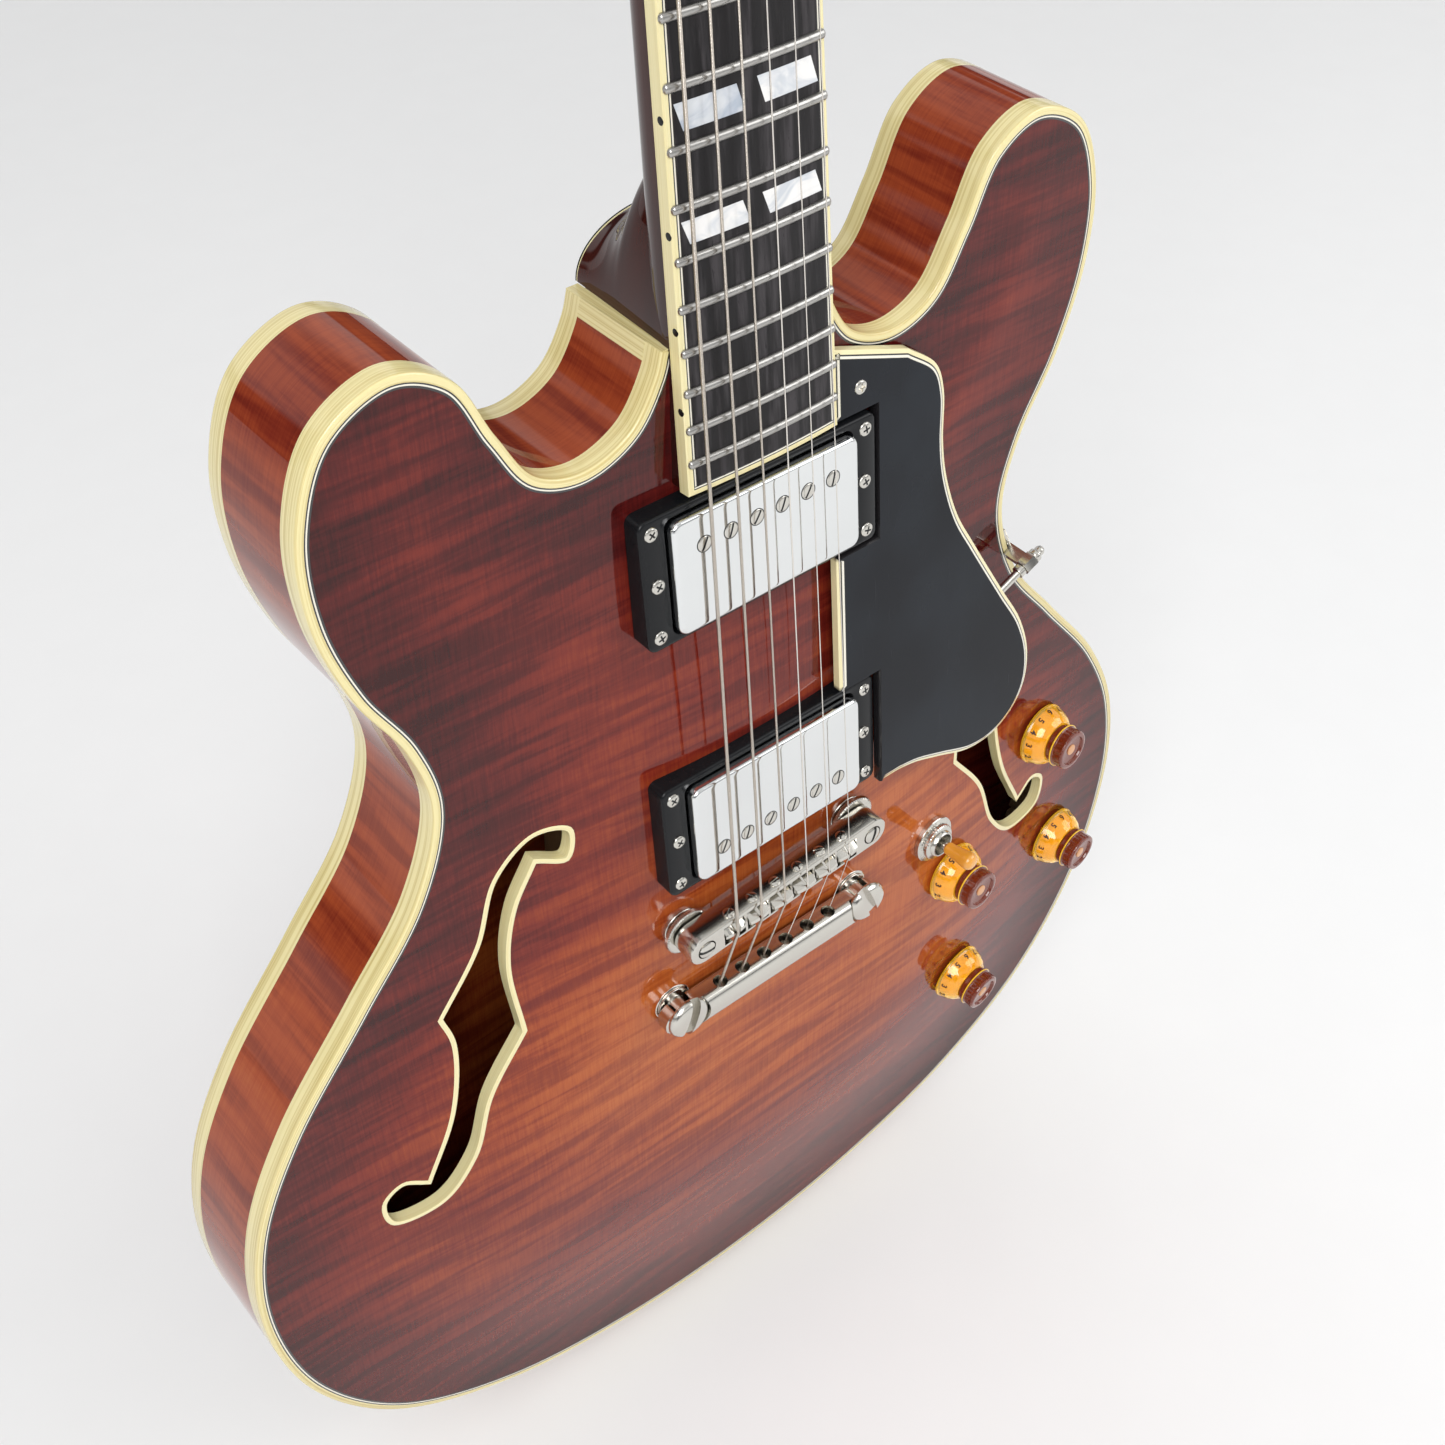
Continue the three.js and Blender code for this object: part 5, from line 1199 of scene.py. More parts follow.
def heelBlock():
    turn = np.linspace(0, math.pi, 49)
    heel = stubY + woodSet["heelStart"]
    rows = []
    for down, length, width in smoothCurve(heelShares, 6):
        half = (boardHalf(stubY) + (woodSet["heelWidth"] / 2 - boardHalf(stubY)) * down) * width
        y = heel + woodSet["heelLength"] * length * np.sin(turn)
        high = stringPlane(y, neckSet["boardThickness"] + 0.1)
        z = high + (-depth - woodSet["heelDrop"] - high) * down
        rows.append(np.column_stack([half * np.cos(turn), y, z]))
    return skin(rows, closeV=True, capped=True)


def riser():
    y = np.linspace(boardEnd + 0.6, stubY + 2, 24)
    columns = np.linspace(-1, 1, 21)
    x = (boardHalf(y) - 0.35)[:, None] * columns
    yy = np.repeat(y[:, None], 21, 1)
    top = np.stack([x, yy, stringPlane(yy, neckSet["boardThickness"]) + 0.02], -1)
    low = np.stack([x, yy, topHeight(x, np.minimum(yy, stubY - 1)) - 0.5], -1)[:, ::-1]
    return skin(np.concatenate([top, low], 1), closeV=True, capped=True)


headSet = {"angle": math.radians(15), "length": 182, "width": 78, "thickness": 14.5, "binding": 1.6,
           "veneer": 1.2, "under": 2.2}
headShares = [(0.56, 0.05), (0.7, 0.15), (0.86, 0.26), (0.93, 0.42), (0.97, 0.62), (1, 0.8),
              (0.95, 0.9), (0.74, 0.955), (0.4, 0.985), (0, 1)]


# Head frame: at the nut, y up the headstock, z zero on its face.
def fromHead(points):
    p = np.asarray(points, float)
    c, s = math.cos(headSet["angle"]), math.sin(headSet["angle"])
    return fromNeck(np.stack([p[..., 0], p[..., 1] * c + p[..., 2] * s + headStart,
                              p[..., 2] * c - p[..., 1] * s - neckSet["boardThickness"]], -1))


def onHead(part):
    return moved(part, fromHead)


# Half a loop, from its bottom to its top, with the same on the other side.
def mirrored(half, sameStart=False):
    other = (half * [-1, 1])[::-1]
    return np.vstack([half, other[1:-1] if sameStart else other[1:]])


headHalf = [(neckSet["nutWidth"] / 2, 0)]
headHalf += [(x * headSet["width"] / 2, y * headSet["length"]) for x, y in headShares]
headLoop = evenly(mirrored(smoothCurve(headHalf, 12)), 1.5)
face, back, trim = -headSet["veneer"] - headSet["under"], -headSet["thickness"], headSet["binding"]


def inHead(*layers):
    return [(drawnIn(headLoop, d) if d else headLoop, z) for d, z in layers]


headWood = stacked(inHead((0, face), (0, back + 1.2), (0.35, back + 0.35), (1.2, back)))
veneer = stacked(inHead((trim, face), (trim, 0.0)))
headTrim = ringOf([raised(loop, z) for loop, z in
                   inHead((0, face), (0, -0.5), (0.15, -0.15), (0.5, 0), (trim, 0), (trim, face))])
wood = joined(onNeck(neckShaft()), heelBlock(), riser(), onHead(headWood))
makeObject("neck_wood", wood, redNeck, replaces=["neck"], sharp=40)
makeObject("head_veneer", onHead(veneer), blackPlastic, slot="ebony")
makeObject("head_binding", onHead(headTrim), creamPlain)

# Heel cap: a black plate with a pale line above it, a little wider than the heel.
capSet = {"half": 25, "length": 16.6, "line": (1.35, 0.75), "edge": 0.2, "in": 0.3}
turn = np.linspace(0, math.pi, 49)
capLoop = np.column_stack([capSet["half"] * np.cos(turn),
                           stubY + woodSet["heelStart"] + capSet["length"] * np.sin(turn)])
capZ = -depth - woodSet["heelDrop"]
lineHigh, lineLow = [capZ + rise for rise in capSet["line"]]
capPlate = stacked([(capLoop, lineLow), (capLoop, capZ + capSet["edge"]),
                    (drawnIn(capLoop, capSet["in"]), capZ)])
makeObject("heel_cap_line", stacked([(capLoop, lineHigh), (capLoop, lineLow)]), creamPlain)
makeObject("heel_cap", capPlate, blackPlastic, slot="ebony")


# Screw head, domed, facing z, with a cross or a single slot let in, and dark blocks of painted shade
# for its slot.
def screwHead(radius, height, slotWidth, cross=True):
    r = np.array([1, 1, 0.93, 0.75, 0.5, 0.28, 0.12, 0.02])
    z = np.array([-0.8, 0.35, 0.62, 0.85, 0.96, 1, 1, 1]) * height
    body = lathe(np.column_stack([r * radius, z])[::-1], 28)
    half, w = radius * (1.15 if cross else 2.4) / 2, slotWidth / 2
    low, high = height * 0.35, height * 1.4
    bars = [makeBox((-half, -w, low), (half, w, high))]
    if cross:
        bars.append(makeBox((-w, -half, low), (w, half, high)))
    return carved(body, *bars)


# Dark blocks set into a screw's slot: painted shade.
def slotShade(radius, height, slotWidth, cross=True):
    half = radius * (0.56 if cross else 0.9)
    w = slotWidth * 0.49
    low, high = height * 0.3, height * 0.86
    bars = [makeBox((-half, -w, low), (half, w, high))]
    if cross:
        bars.append(makeBox((-w, -half, low), (w, half, high + 0.004)))
    return joined(*bars)


phillips = screwHead(2.3, 1.0, 0.62)
smallPhillips = screwHead(1.7, 0.7, 0.5)
slotted = screwHead(2.45, 0.45, 0.7, cross=False)

# Rod cover: a plain bell with a white line round it and three screws.
bell = smoothCurve([(0, 4), (9, 4.4), (11, 7), (9.4, 12), (5.6, 20), (4.6, 28), (3.2, 34), (0, 37)],
                   8)
bellLoop = mirrored(bell, sameStart=True)
bellTop, bellEdge = drawnIn(bellLoop, 0.5), drawnIn(bellLoop, 0.8)
cover = stacked([(bellTop, 0.9), (bellTop, 2.0), (bellEdge, 2.15)])
coverLine = stacked([(bellLoop, 0.02), (bellLoop, 0.8), (drawnIn(bellLoop, 0.25), 1.1),
                     (bellEdge, 1.3)])
makeObject("rod_cover", onHead(cover), blackPlastic)
makeObject("rod_cover_line", onHead(coverLine), creamPlain)
coverScrews = copies(smallPhillips, [(-8, 7, 2.0), (8, 7, 2.0), (0, 32, 2.0)], [0.4, 1.4, 2.4])
makeObject("rod_cover_screws", onHead(coverScrews), nickel, sharp=30)
print("neck ready")

# Tuners. Posts with their gears, bushings on the face, worms and buttons behind.
tunerSet = {"offsets": (20.5, 21.8, 23.1), "first": 46, "spacing": 38, "post": 3, "rise": 13,
            "waist": 2.35,
            "hole": 8, "gear": 5.2, "gearThickness": 3, "tooth": 0.4, "teeth": 14, "worm": 2,
            "plate": (0.3, 1.3), "button": (17, 20, 6), "reach": 9, "turnsOfString": 2.8}
plateHigh = -headSet["thickness"] - tunerSet["plate"][0]
gearHigh = plateHigh - tunerSet["plate"][1] - 0.3
wormZ = gearHigh - tunerSet["gearThickness"] / 2
wormY = tunerSet["gear"] + tunerSet["worm"] + 0.3
posts = [(side * x, tunerSet["first"] + k * tunerSet["spacing"], side)
         for side in (-1, 1) for k, x in enumerate(tunerSet["offsets"])]
postNames = ("6", "5", "4", "1", "2", "3")
postOfString = (0, 1, 2, 5, 4, 3)


def headHalfAt(y):
    along = [s[1] * headSet["length"] for s in headShares]
    return float(np.interp(y, along, [s[0] * headSet["width"] / 2 for s in headShares]))


def gearWheel():
    sides, size = tunerSet["teeth"] * 8, tunerSet["tooth"]
    tooth = np.clip(np.sin(evenTurns(sides) * tunerSet["teeth"]) * 1.6, -1, 1) * size
    layers = np.array([(1.0, gearHigh - 3), (0, gearHigh - 2.6), (0, gearHigh - 0.4),
                       (0.7, gearHigh)])
    radii = tunerSet["gear"] - size + tooth - layers[:, :1] * 0.6
    return revolved(radii, layers[:, 1], sides, capped=True)


def tunerPost():
    full, waist, top, hole = [tunerSet[key] for key in ("post", "waist", "rise", "hole")]
    p = rounded([(0, gearHigh), (full, gearHigh), (full, 6.2), (waist, 7.6), (waist, 8.4),
                 (full, 9.9), (full, top), (0, top)], 0.5)
    eye = spun(tube([(0, 0, -6), (0, 0, 0), (0, 0, 6)], 0.8, 12), "X", math.pi / 2)
    return joined(carved(lathe(p, 32), shifted(eye, 0, 0, hole)), gearWheel())


# The string's turns round its post, from the hole down.
def windings(radius, side):
    hole, start = tunerSet["hole"], math.pi if side > 0 else 0
    turns = np.linspace(0, tunerSet["turnsOfString"] * 2 * math.pi, 110)
    fall = np.linspace(hole, hole - 2.4 * radius * 2.4 - 0.4, 110)
    around = windRadius + radius + 0.35 * np.clip((8.4 - fall) / 2, 0, 1)
    turned = start + side * turns
    return tube(np.column_stack([around * np.cos(turned), around * np.sin(turned), fall]), radius,
                8)


# Button: an oval whose rim is half round, with flat faces.
def tunerButton():
    length, width, thick = tunerSet["button"]
    outline = roundRectangle(length, width, 7.4, 10)
    layers = []
    for a in np.linspace(-1, 1, 13):
        q = drawnIn(outline, (1 - math.sqrt(max(1 - a * a, 0))) * 2.3)
        layers.append((q * (1 if abs(a) < 1 else 0.9), a * thick / 2))
    return stacked(layers)


# A worm on its shaft, which runs out to the button with a collar at its end.
wormSet = {"sizes": (1.3, 1.9, 1.9, 1.9, 1.9, 1.9, 2.7, 2.9, 2.4), "half": 3.6, "radius": 1.75,
           "wire": 0.32, "turnPerLength": 4.2}


def wormShaft(edge):
    run = np.array([-8.0, -4, 0, 4, 8, edge - 3, edge - 1.2, edge, edge + 2])
    shaft = tube(np.column_stack([run, np.zeros(9), np.zeros(9)]), wormSet["sizes"], 20)
    worm = np.linspace(-wormSet["half"], wormSet["half"], 90)
    turned, r = worm * wormSet["turnPerLength"], wormSet["radius"]
    thread = np.column_stack([worm, r * np.cos(turned), r * np.sin(turned)])
    return joined(shaft, tube(thread, wormSet["wire"], 6))


windRadius = tunerSet["waist"] + 0.1
post, button = tunerPost(), tunerButton()
bush = lathe(rounded([(3.25, 0.02), (5.6, 0.02), (5.6, 0.7), (4.6, 1.5), (3.6, 2.1), (3.25, 2.1)],
                     0.35), 32)
for name, string, (x, y, side) in zip(postNames, [postOfString.index(k) for k in range(6)], posts):
    place = lambda part: onHead(shifted(part, x, y, 0))
    lay = lambda part: onHead(shifted(spun(part, "Z", 0 if side > 0 else math.pi), x, y + wormY,
                                      wormZ))
    body, turning = "tuner_post_" + name, "tuner_button_" + name
    edge = headHalfAt(y) - abs(x) + tunerSet["reach"]
    paddle = shifted(button, edge + tunerSet["button"][0] / 2)
    wound = windings(stringSet["radii"][string], side)
    makeObject("tuner_post_%s_metal" % name, place(post), nickel, body, replaces=[body])
    makeObject("tuner_winding_%s" % name, place(wound), woundString if string < 3 else plainString,
               body)
    makeObject("tuner_bush_%s" % name, place(bush), nickel)
    makeObject("tuner_shaft_%s" % name, lay(wormShaft(edge)), nickel, turning, replaces=[turning])
    makeObject("tuner_knob_%s" % name, lay(paddle), buttonPlastic, turning)

# One screw below each post and one above the last of a side.
screwSet = {"below": -6.0, "above": 14.5, "height": plateHigh - 1.25}
places = []
for side in (-1, 1):
    row = [(x, y) for x, y, of in posts if of == side]
    places += [(x, y + screwSet["below"], screwSet["height"]) for x, y in row]
    places.append((row[2][0], row[2][1] + screwSet["above"], screwSet["height"]))
    paint("tuner_plate_" + ("bass" if side < 0 else "treble"), nickel)
turned = spun(smallPhillips, "X", math.pi)
makeObject("tuner_screws", onHead(joined(*[shifted(turned, *place) for place in places])), nickel,
           sharp=30)
print("tuners ready")


# Strings. The bridge is turned by its slant; the saddles' tops follow the board's crown.
bridgeSlant = math.radians(4)


def bridgePlace(x, y):
    c, s = math.cos(bridgeSlant), math.sin(bridgeSlant)
    return x * c - y * s, x * s + y * c


def onBridge(part):
    return spun(part, "Z", bridgeSlant)


def saddleTop(x):
    return crownRise + stringSet["riseAtBridge"] + crown(x)


tailSet = {"centre": -41.5, "width": 12.5, "height": 9.6, "top": 23, "ear": 99,
           "stud": (41.5, -39.3), "inside": 0.5}
holeZ = tailSet["top"] - tailSet["height"] / 2


def worldPoint(p):
    return tuple(float(c) for c in toWorld(np.array(p, float)))


# Each string in three pieces: the speaking part with the run over the nut to its post, and two
# halves behind the saddle, of which one follows the bridge and one the tailpiece.
for k in range(6):
    name, radius = "string_%d" % (6 - k), stringSet["radii"][k]
    finish = woundString if k < 3 else plainString
    crest = np.array([*bridgePlace(bridgeX[k], 0), float(saddleTop(bridgeX[k]))])
    onNut = stringSet["riseAtNut"] + crown(nutX[k])
    nutPlace = fromNeck(np.array([nutX[k], scale + 0.4, onNut]))
    behind = fromNeck(np.array([nutX[k], scale + 4.6, onNut - 0.35]))
    px, py, side = posts[postOfString[k]]
    end = fromHead(np.array([px - side * (windRadius + radius), py, float(tunerSet["hole"])]))
    front = np.vstack([np.linspace(crest + [0, 0.2, -0.02], nutPlace, 160),
                       np.linspace(behind, end, 24)])
    piece = makeObject(name + "_speaking", tube(front, radius), finish, body=None, replaces=[name],
                       sharp=60)
    worldPoint(nutPlace)
    worldPoint(crest)
    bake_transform(piece)
    hole = np.array([bridgeX[k], tailSet["centre"] + tailSet["width"] / 2 - tailSet["inside"],
                     holeZ])
    middle = (crest + hole) / 2
    arc = np.array([crest + [0, 0.4, -0.02], crest + [0, -0.6, -0.12],
                    crest * 0.9 + hole * 0.1 + [0, 0, -0.1]])
    first = np.vstack([arc, np.linspace(arc[-1], middle, 12)[1:]])
    second = np.vstack([np.linspace(middle, hole, 12), [hole + [0, -4, 0.0]]])
    piece = makeObject(name + "_behind_saddle", tube(first, radius), finish, body=None, sharp=60)
    worldPoint(middle)
    worldPoint(crest)
    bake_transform(piece)
    piece = makeObject(name + "_at_tailpiece", tube(second, radius), finish, body=None, sharp=60)
    worldPoint(middle)
    worldPoint(hole)
    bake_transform(piece)
print("strings ready")

# Pickups. Each stands in its ring, tilted with the strings.
ringSet = {"length": 89, "width": 44.5, "corner": 3, "opening": (71, 39.5), "bevel": 0.9,
           "drop": {"neck": 3.5, "bridge": 5.7}, "screws": (80.5, 35.4), "heightScrews": 39.6}
coverSet = {"size": (70, 38.5), "corner": 3.5, "rise": 3.7, "depth": 16, "wall": 0.8, "edge": 1.4,
            "lowered": {"neck": -0.6, "bridge": 0}}
poleSet = {"span": {"neck": 48.7, "bridge": 49.3}, "shift": {"neck": 8.9, "bridge": -8.9},
           "turns": (1.05, 1.2, 0.95, 1.15, 1.0, 1.3), "gap": (2.75, 0.085)}


def tilted(part, middle, height):
    return shifted(spun(part, "X", -neckSet["angle"]), 0, middle, height)


# Ring: outer walls down into the arched top, a bevel along the top edges, an open middle.
def pickupRing(middle, height):
    outer = roundRectangle(ringSet["length"], ringSet["width"], ringSet["corner"], 8)
    hole = roundRectangle(*ringSet["opening"], ringSet["corner"], 8)
    b = ringSet["bevel"]
    rows = []
    for loop, z in ((outer, None), (outer, -b * 0.9), (drawnIn(outer, b * 0.3), -b * 0.28),
                    (drawnIn(outer, b), 0), (drawnIn(hole, -0.6), 0), (drawnIn(hole, -0.15), -0.15),
                    (hole, -0.6), (hole, None)):
        q = tilted(makePart(raised(loop, z or 0), []), middle, height)["points"]
        if z is None:
            q = overTop(q[:, :2], 0.05)
        rows.append(q)
    return skin(rows, closeU=True, closeV=True)


# Cover: a pressed shell with a soft edge.
def pickupCover():
    r, rise = coverSet["edge"], coverSet["rise"]
    outer = roundRectangle(*coverSet["size"], coverSet["corner"], 9)
    inner, low = drawnIn(outer, coverSet["wall"]), rise - coverSet["depth"]
    layers = [(inner, low), (outer, low), (outer, rise - r)]
    for a in np.linspace(0, math.pi / 2, 7)[1:]:
        layers.append((drawnIn(outer, r * (1 - math.cos(a))), rise - r + r * math.sin(a)))
    return stacked(layers + [(drawnIn(outer, r + 0.8), rise + 0.01), (outer * 0.55, rise + 0.05)])


# cross and poleShade are dark blocks of painted shade in the screws' slots
cover, cross = pickupCover(), slotShade(2.3, 1.0, 0.62)
gap, gapHigh = poleSet["gap"]
poleShade = shifted(slotShade(2.45, 0.45, 0.7, cross=False), 0, 0, -0.05)
poleGapAndSlotShade = joined(cylinder(gap, -0.3, gapHigh, 28), poleShade)
sx, sy = [size / 2 for size in ringSet["screws"]]
corners = [(x, y, -0.2) for y in (-sy, sy) for x in (-sx, sx)]
ends = [(-ringSet["heightScrews"], 0, 0.0), (ringSet["heightScrews"], 0, 0.0)]
cornerTurns, endTurns = [0.3 + k for k in range(4)], [0.9, 1.9]
for name in ("neck", "bridge"):
    middle = pickupSet[name]
    height = stringPlane(middle, 0) - ringSet["drop"][name]
    seat = lambda part: tilted(part, middle, height)
    seatLower = lambda part: seat(shifted(part, 0, 0, coverSet["lowered"][name]))
    body, rise = "pickup_" + name, coverSet["rise"]
    makeObject("pickup_ring_%s_moulding" % name, pickupRing(middle, height), blackPlastic,
               replaces=["pickup_ring_" + name], sharp=50)
    makeObject("pickup_cover_%s_shell" % name, seatLower(cover), coverNickel, body,
               replaces=["pickup_cover_" + name], sharp=40)
    paint("pickup_coils_" + name, blackPlastic)
    across = [poleSet["span"][name] * spot for spot in spots]
    shift = poleSet["shift"][name]
    poles = copies(slotted, [(x, shift, rise - 0.05) for x in across], poleSet["turns"])
    # a black ring round each pole and the painted shade in its slot
    gaps = copies(poleGapAndSlotShade, [(x, shift, rise) for x in across], poleSet["turns"])
    makeObject("pole_screws_" + name, seatLower(poles), nickel, body, sharp=30)
    makeObject("pole_gaps_" + name, seatLower(gaps), blackPlastic, body, sharp=30)
    makeObject("ring_screws_" + name, seat(copies(phillips, corners, cornerTurns)), nickel,
               sharp=30)
    # dark crosses of painted shade in the ring and height screws' slots
    marks = copies(cross, corners + ends, cornerTurns + endTurns)
    makeObject("screw_slots_" + name, seat(marks), blackPlastic, sharp=30)
    makeObject("height_screws_" + name, seat(copies(phillips, ends, endTurns)), nickel, sharp=30)
print("pickups ready")

# Bridge: a bar with round ends, six pockets, a screw for each saddle on the neck side.
bridgeSet = {"length": 87, "width": 12, "height": 9.4, "below": 2.6, "posts": 74, "bore": 3.7,
             "pocket": (9.1, 8.6, 5.4), "slot": 0.8, "slotDepth": 2.4}
bridgeTop = float(saddleTop(0)) - bridgeSet["below"]


def bridgeBar():
    outline = roundRectangle(bridgeSet["length"], bridgeSet["width"], bridgeSet["width"] / 2 - 0.3,
                             12)
    low, high = bridgeTop - bridgeSet["height"], bridgeTop
    layers = [(0.8, low), (0.2, low + 0.3), (0, low + 1.0), (0, high - 0.9), (0.22, high - 0.35),
              (0.7, high - 0.05), (1.2, high)]
    body = solidStack([(drawnIn(outline, d), z) for d, z in layers])
    w, l, d = bridgeSet["pocket"]
    tools = []
    for x, radius in zip(bridgeX, stringSet["radii"]):
        tools.append(makeBox((x - w / 2, -l / 2, high - d), (x + w / 2, l / 2, high + 5)))
        half = radius + bridgeSet["slot"]
        tools.append(makeBox((x - half, -10, high - bridgeSet["slotDepth"]),
                             (x + half, 0, high + 5)))
    for side in (-1, 1):
        tools.append(shifted(cylinder(bridgeSet["bore"], -20, 20), side * bridgeSet["posts"] / 2, 0,
                             high))
    return carved(body, *tools)


bridgePiece = makeObject("bridge_bar", onBridge(bridgeBar()), nickel, "bridge_body",
                         replaces=["bridge_body"], sharp=28)
soften(bridgePiece, 0.22, 40)

# Saddle: a block with a crest line, notched where its string rests, carried on its screw. Its
# section is a row of (place along the string, height, depth of the notch there).
saddleSet = {"half": 2.2, "room": 0.3, "notchRoom": 0.22, "fall": 0.55, "lip": 0.35,
             "screwDrop": 2.9, "headAt": 6.5}


def saddleBlock(radius, x):
    half, back = bridgeSet["pocket"][0] / 2 - saddleSet["room"], saddleSet["half"]
    floor = bridgeTop - bridgeSet["pocket"][2] + saddleSet["room"]
    high = float(saddleTop(x)) - radius - 0.02
    u = np.concatenate([np.linspace(-half, -0.75, 6), np.linspace(-0.6, 0.6, 13),
                        np.linspace(0.75, half, 6)])
    notch = np.abs(u) < radius + saddleSet["notchRoom"]
    fall = saddleSet["fall"] * (np.abs(u) / half) ** 2
    rows = []
    for y, z, deep in ((-back, floor, 0), (-back, bridgeTop - 1.0, 0), (-0.6, high, 1.3),
                       (-0.15, high, 1.0), (0.55, high - 0.25, 0.5), (back, bridgeTop - 1.2, 0),
                       (back, floor, 0)):
        top = z - fall + np.where(notch, -deep, saddleSet["lip"]) if deep else np.full(len(u), z)
        rows.append(np.column_stack([u, np.full(len(u), y), top]))
    return barOf(rows)


saddleThread = tube([(0, y, 0) for y in np.linspace(-4.1, 5.8, 30)],
                    1.25 + 0.12 * (np.arange(30) % 2), 14)
saddleHead = spun(screwHead(2.0, 0.9, 0.5, cross=False), "X", -math.pi / 2)
for k, x in enumerate(bridgeX):
    name = "saddle_%d" % (6 - k)
    block = onBridge(shifted(saddleBlock(stringSet["radii"][k], x), x))
    makeObject(name + "_block", block, nickel, name, replaces=[name], sharp=30)
    screw = joined(saddleThread,
                   shifted(spun(saddleHead, "Y", 0.6 + 1.3 * k), 0, saddleSet["headAt"], 0))
    screw = shifted(screw, x, 0, bridgeTop - saddleSet["screwDrop"])
    makeObject("saddle_screw_%d" % (6 - k), onBridge(screw), nickel, "bridge_body", sharp=30)

# Posts with knurled wheels, domed and slotted where they come up through the bar.
wheelSet = {"radius": 9, "thickness": 2, "gap": 0.3, "knurls": 60, "ripple": 0.28, "rise": 0.9}
wheelHigh = bridgeTop - bridgeSet["height"] - wheelSet["gap"]


def knurledPost():
    ripple = wheelSet["ripple"] * np.cos(evenTurns(240) * wheelSet["knurls"])
    top, r = bridgeTop + wheelSet["rise"], wheelSet["radius"] - 0.3
    high, low = wheelHigh, wheelHigh - wheelSet["thickness"]
    p = np.array([(0.02, -14, 0), (3.4, -14, 0), (3.4, low, 0), (r - 0.5, low, 0),
                  (r, low + 0.35, 1),
                  (r, high - 0.35, 1), (r - 0.5, high, 0), (3.45, high, 0), (3.4, top - 1.4, 0),
                  (3.2, top - 0.7, 0), (2.6, top - 0.25, 0), (1.4, top - 0.03, 0), (0.02, top, 0)])
    body = revolved(p[:, :1] + ripple * p[:, 2:], p[:, 1], 240, capped=True)
    return carved(body, makeBox((-5, -0.6, top - 1.3), (5, 0.6, top + 2)))


wheelPost = knurledPost()
# a dark block of painted shade in each post's slot
postShade = makeBox((-2.9, -0.58, bridgeTop - 0.6), (2.9, 0.58, bridgeTop + 0.5))
sleeve = lathe(rounded([(3.75, 9.4), (7.2, 9.4), (7.2, 12.6), (6.6, 13.0), (3.75, 13.0)], 0.3), 40)
for side, name in ((-1, "bass"), (1, "treble")):
    stand = lambda part, turn=0: onBridge(shifted(spun(part, "Z", turn),
                                                  side * bridgeSet["posts"] / 2))
    body, turned = "bridge_post_" + name, 0.7 * side + 0.5
    makeObject(body + "_wheel", stand(wheelPost, turned), nickel, body, replaces=[body], sharp=30)
    makeObject(body + "_slot", stand(postShade, turned), blackPlastic, body)
    makeObject("bridge_bushing_" + name, stand(sleeve), nickel)
print("bridge ready")


# Tailpiece: a bar with a rounded back, drilled for the strings, its ears open towards the neck.
earSet = {"half": 38, "width": 11.5, "round": 5.45, "thick": 6, "seat": 8.5, "bore": 3.9,
          "ahead": 2.2,
          "roundFrom": 36.6, "roundOver": 1.4, "roundBy": 0.12}


def tailBar():
    half, low = tailSet["width"] / 2, tailSet["top"] - tailSet["height"]
    radius = tailSet["height"] / 2
    a = np.linspace(0, math.pi, 25)
    profile = np.vstack([[(-half, low + 1.5), (-half + 1.5, low), (half - 1.5, low),
                          (half, low + 1.5)],
                         np.column_stack([half * np.cos(a),
                                          low + radius + radius * np.sin(a) ** 0.7])])
    x = np.linspace(-earSet["half"], earSet["half"], 60)
    fall = np.clip((np.abs(x) - earSet["roundFrom"]) / earSet["roundOver"], 0,
                   1) ** 2 * earSet["roundBy"]
    centre = np.array([0, low + radius])
    rows = [np.column_stack([np.full(len(profile), at), centre + (profile - centre) * (1 - down)])
            for at, down in zip(x, fall)]
    beam = skin(rows, closeV=True, capped=True)
    ear, thick = roundRectangle(tailSet["ear"], earSet["width"], earSet["round"],
                                12), earSet["thick"]
    small = drawnIn(ear, 0.6)
    ears = stacked([(small, low), (ear, low + 0.6), (ear, low + 5.3), (small, low + thick)])
    tools = []
    for side in (-1, 1):
        x, y, bore = side * tailSet["stud"][0], earSet["ahead"], earSet["bore"]
        tools += [shifted(cylinder(earSet["seat"], 0, 20, 48), x, y, low + thick),
                  shifted(cylinder(bore, -30, 20), x, y, low),
                  makeBox((x - bore, y, 0), (x + bore, y + 20, 40))]
    bore = lathe([(0, -20), (2.2, -20), (2.2, 4.9), (2.7, 6.4), (2.7, 20), (0, 20)], 20)
    tools += [shifted(spun(bore, "X", -math.pi / 2), x, 0, holeZ) for x in bridgeX]
    return carved(carved(beam, ears, join=True), *tools)


makeObject("tailpiece_bar", shifted(tailBar(), 0, tailSet["centre"]), nickel, "tailpiece",
           replaces=["tailpiece"], sharp=30)


# Stud: flange, neck and a wide rounded head with a deep slot.
def tailStud():
    low = tailSet["top"] - tailSet["height"]
    head, flange = low + 6.3, low - 0.3
    top = head + 4.1
    p = [(0, -14), (3.6, -14), (3.6, flange - 1), (6.4, flange - 1), (6.4, flange), (3.6, flange),
         (3.6, head), (7.6, head), (8.2, head + 0.5), (8.2, head + 1.2), (7.9, head + 2.1),
         (7.1, head + 3.0), (5.8, head + 3.6), (3.5, head + 4.0), (0, top)]
    return carved(lathe(rounded(p, 0.4, 3), 56),
                  makeBox((-1.9, -12, top - 3.2), (1.9, 12, top + 5)))


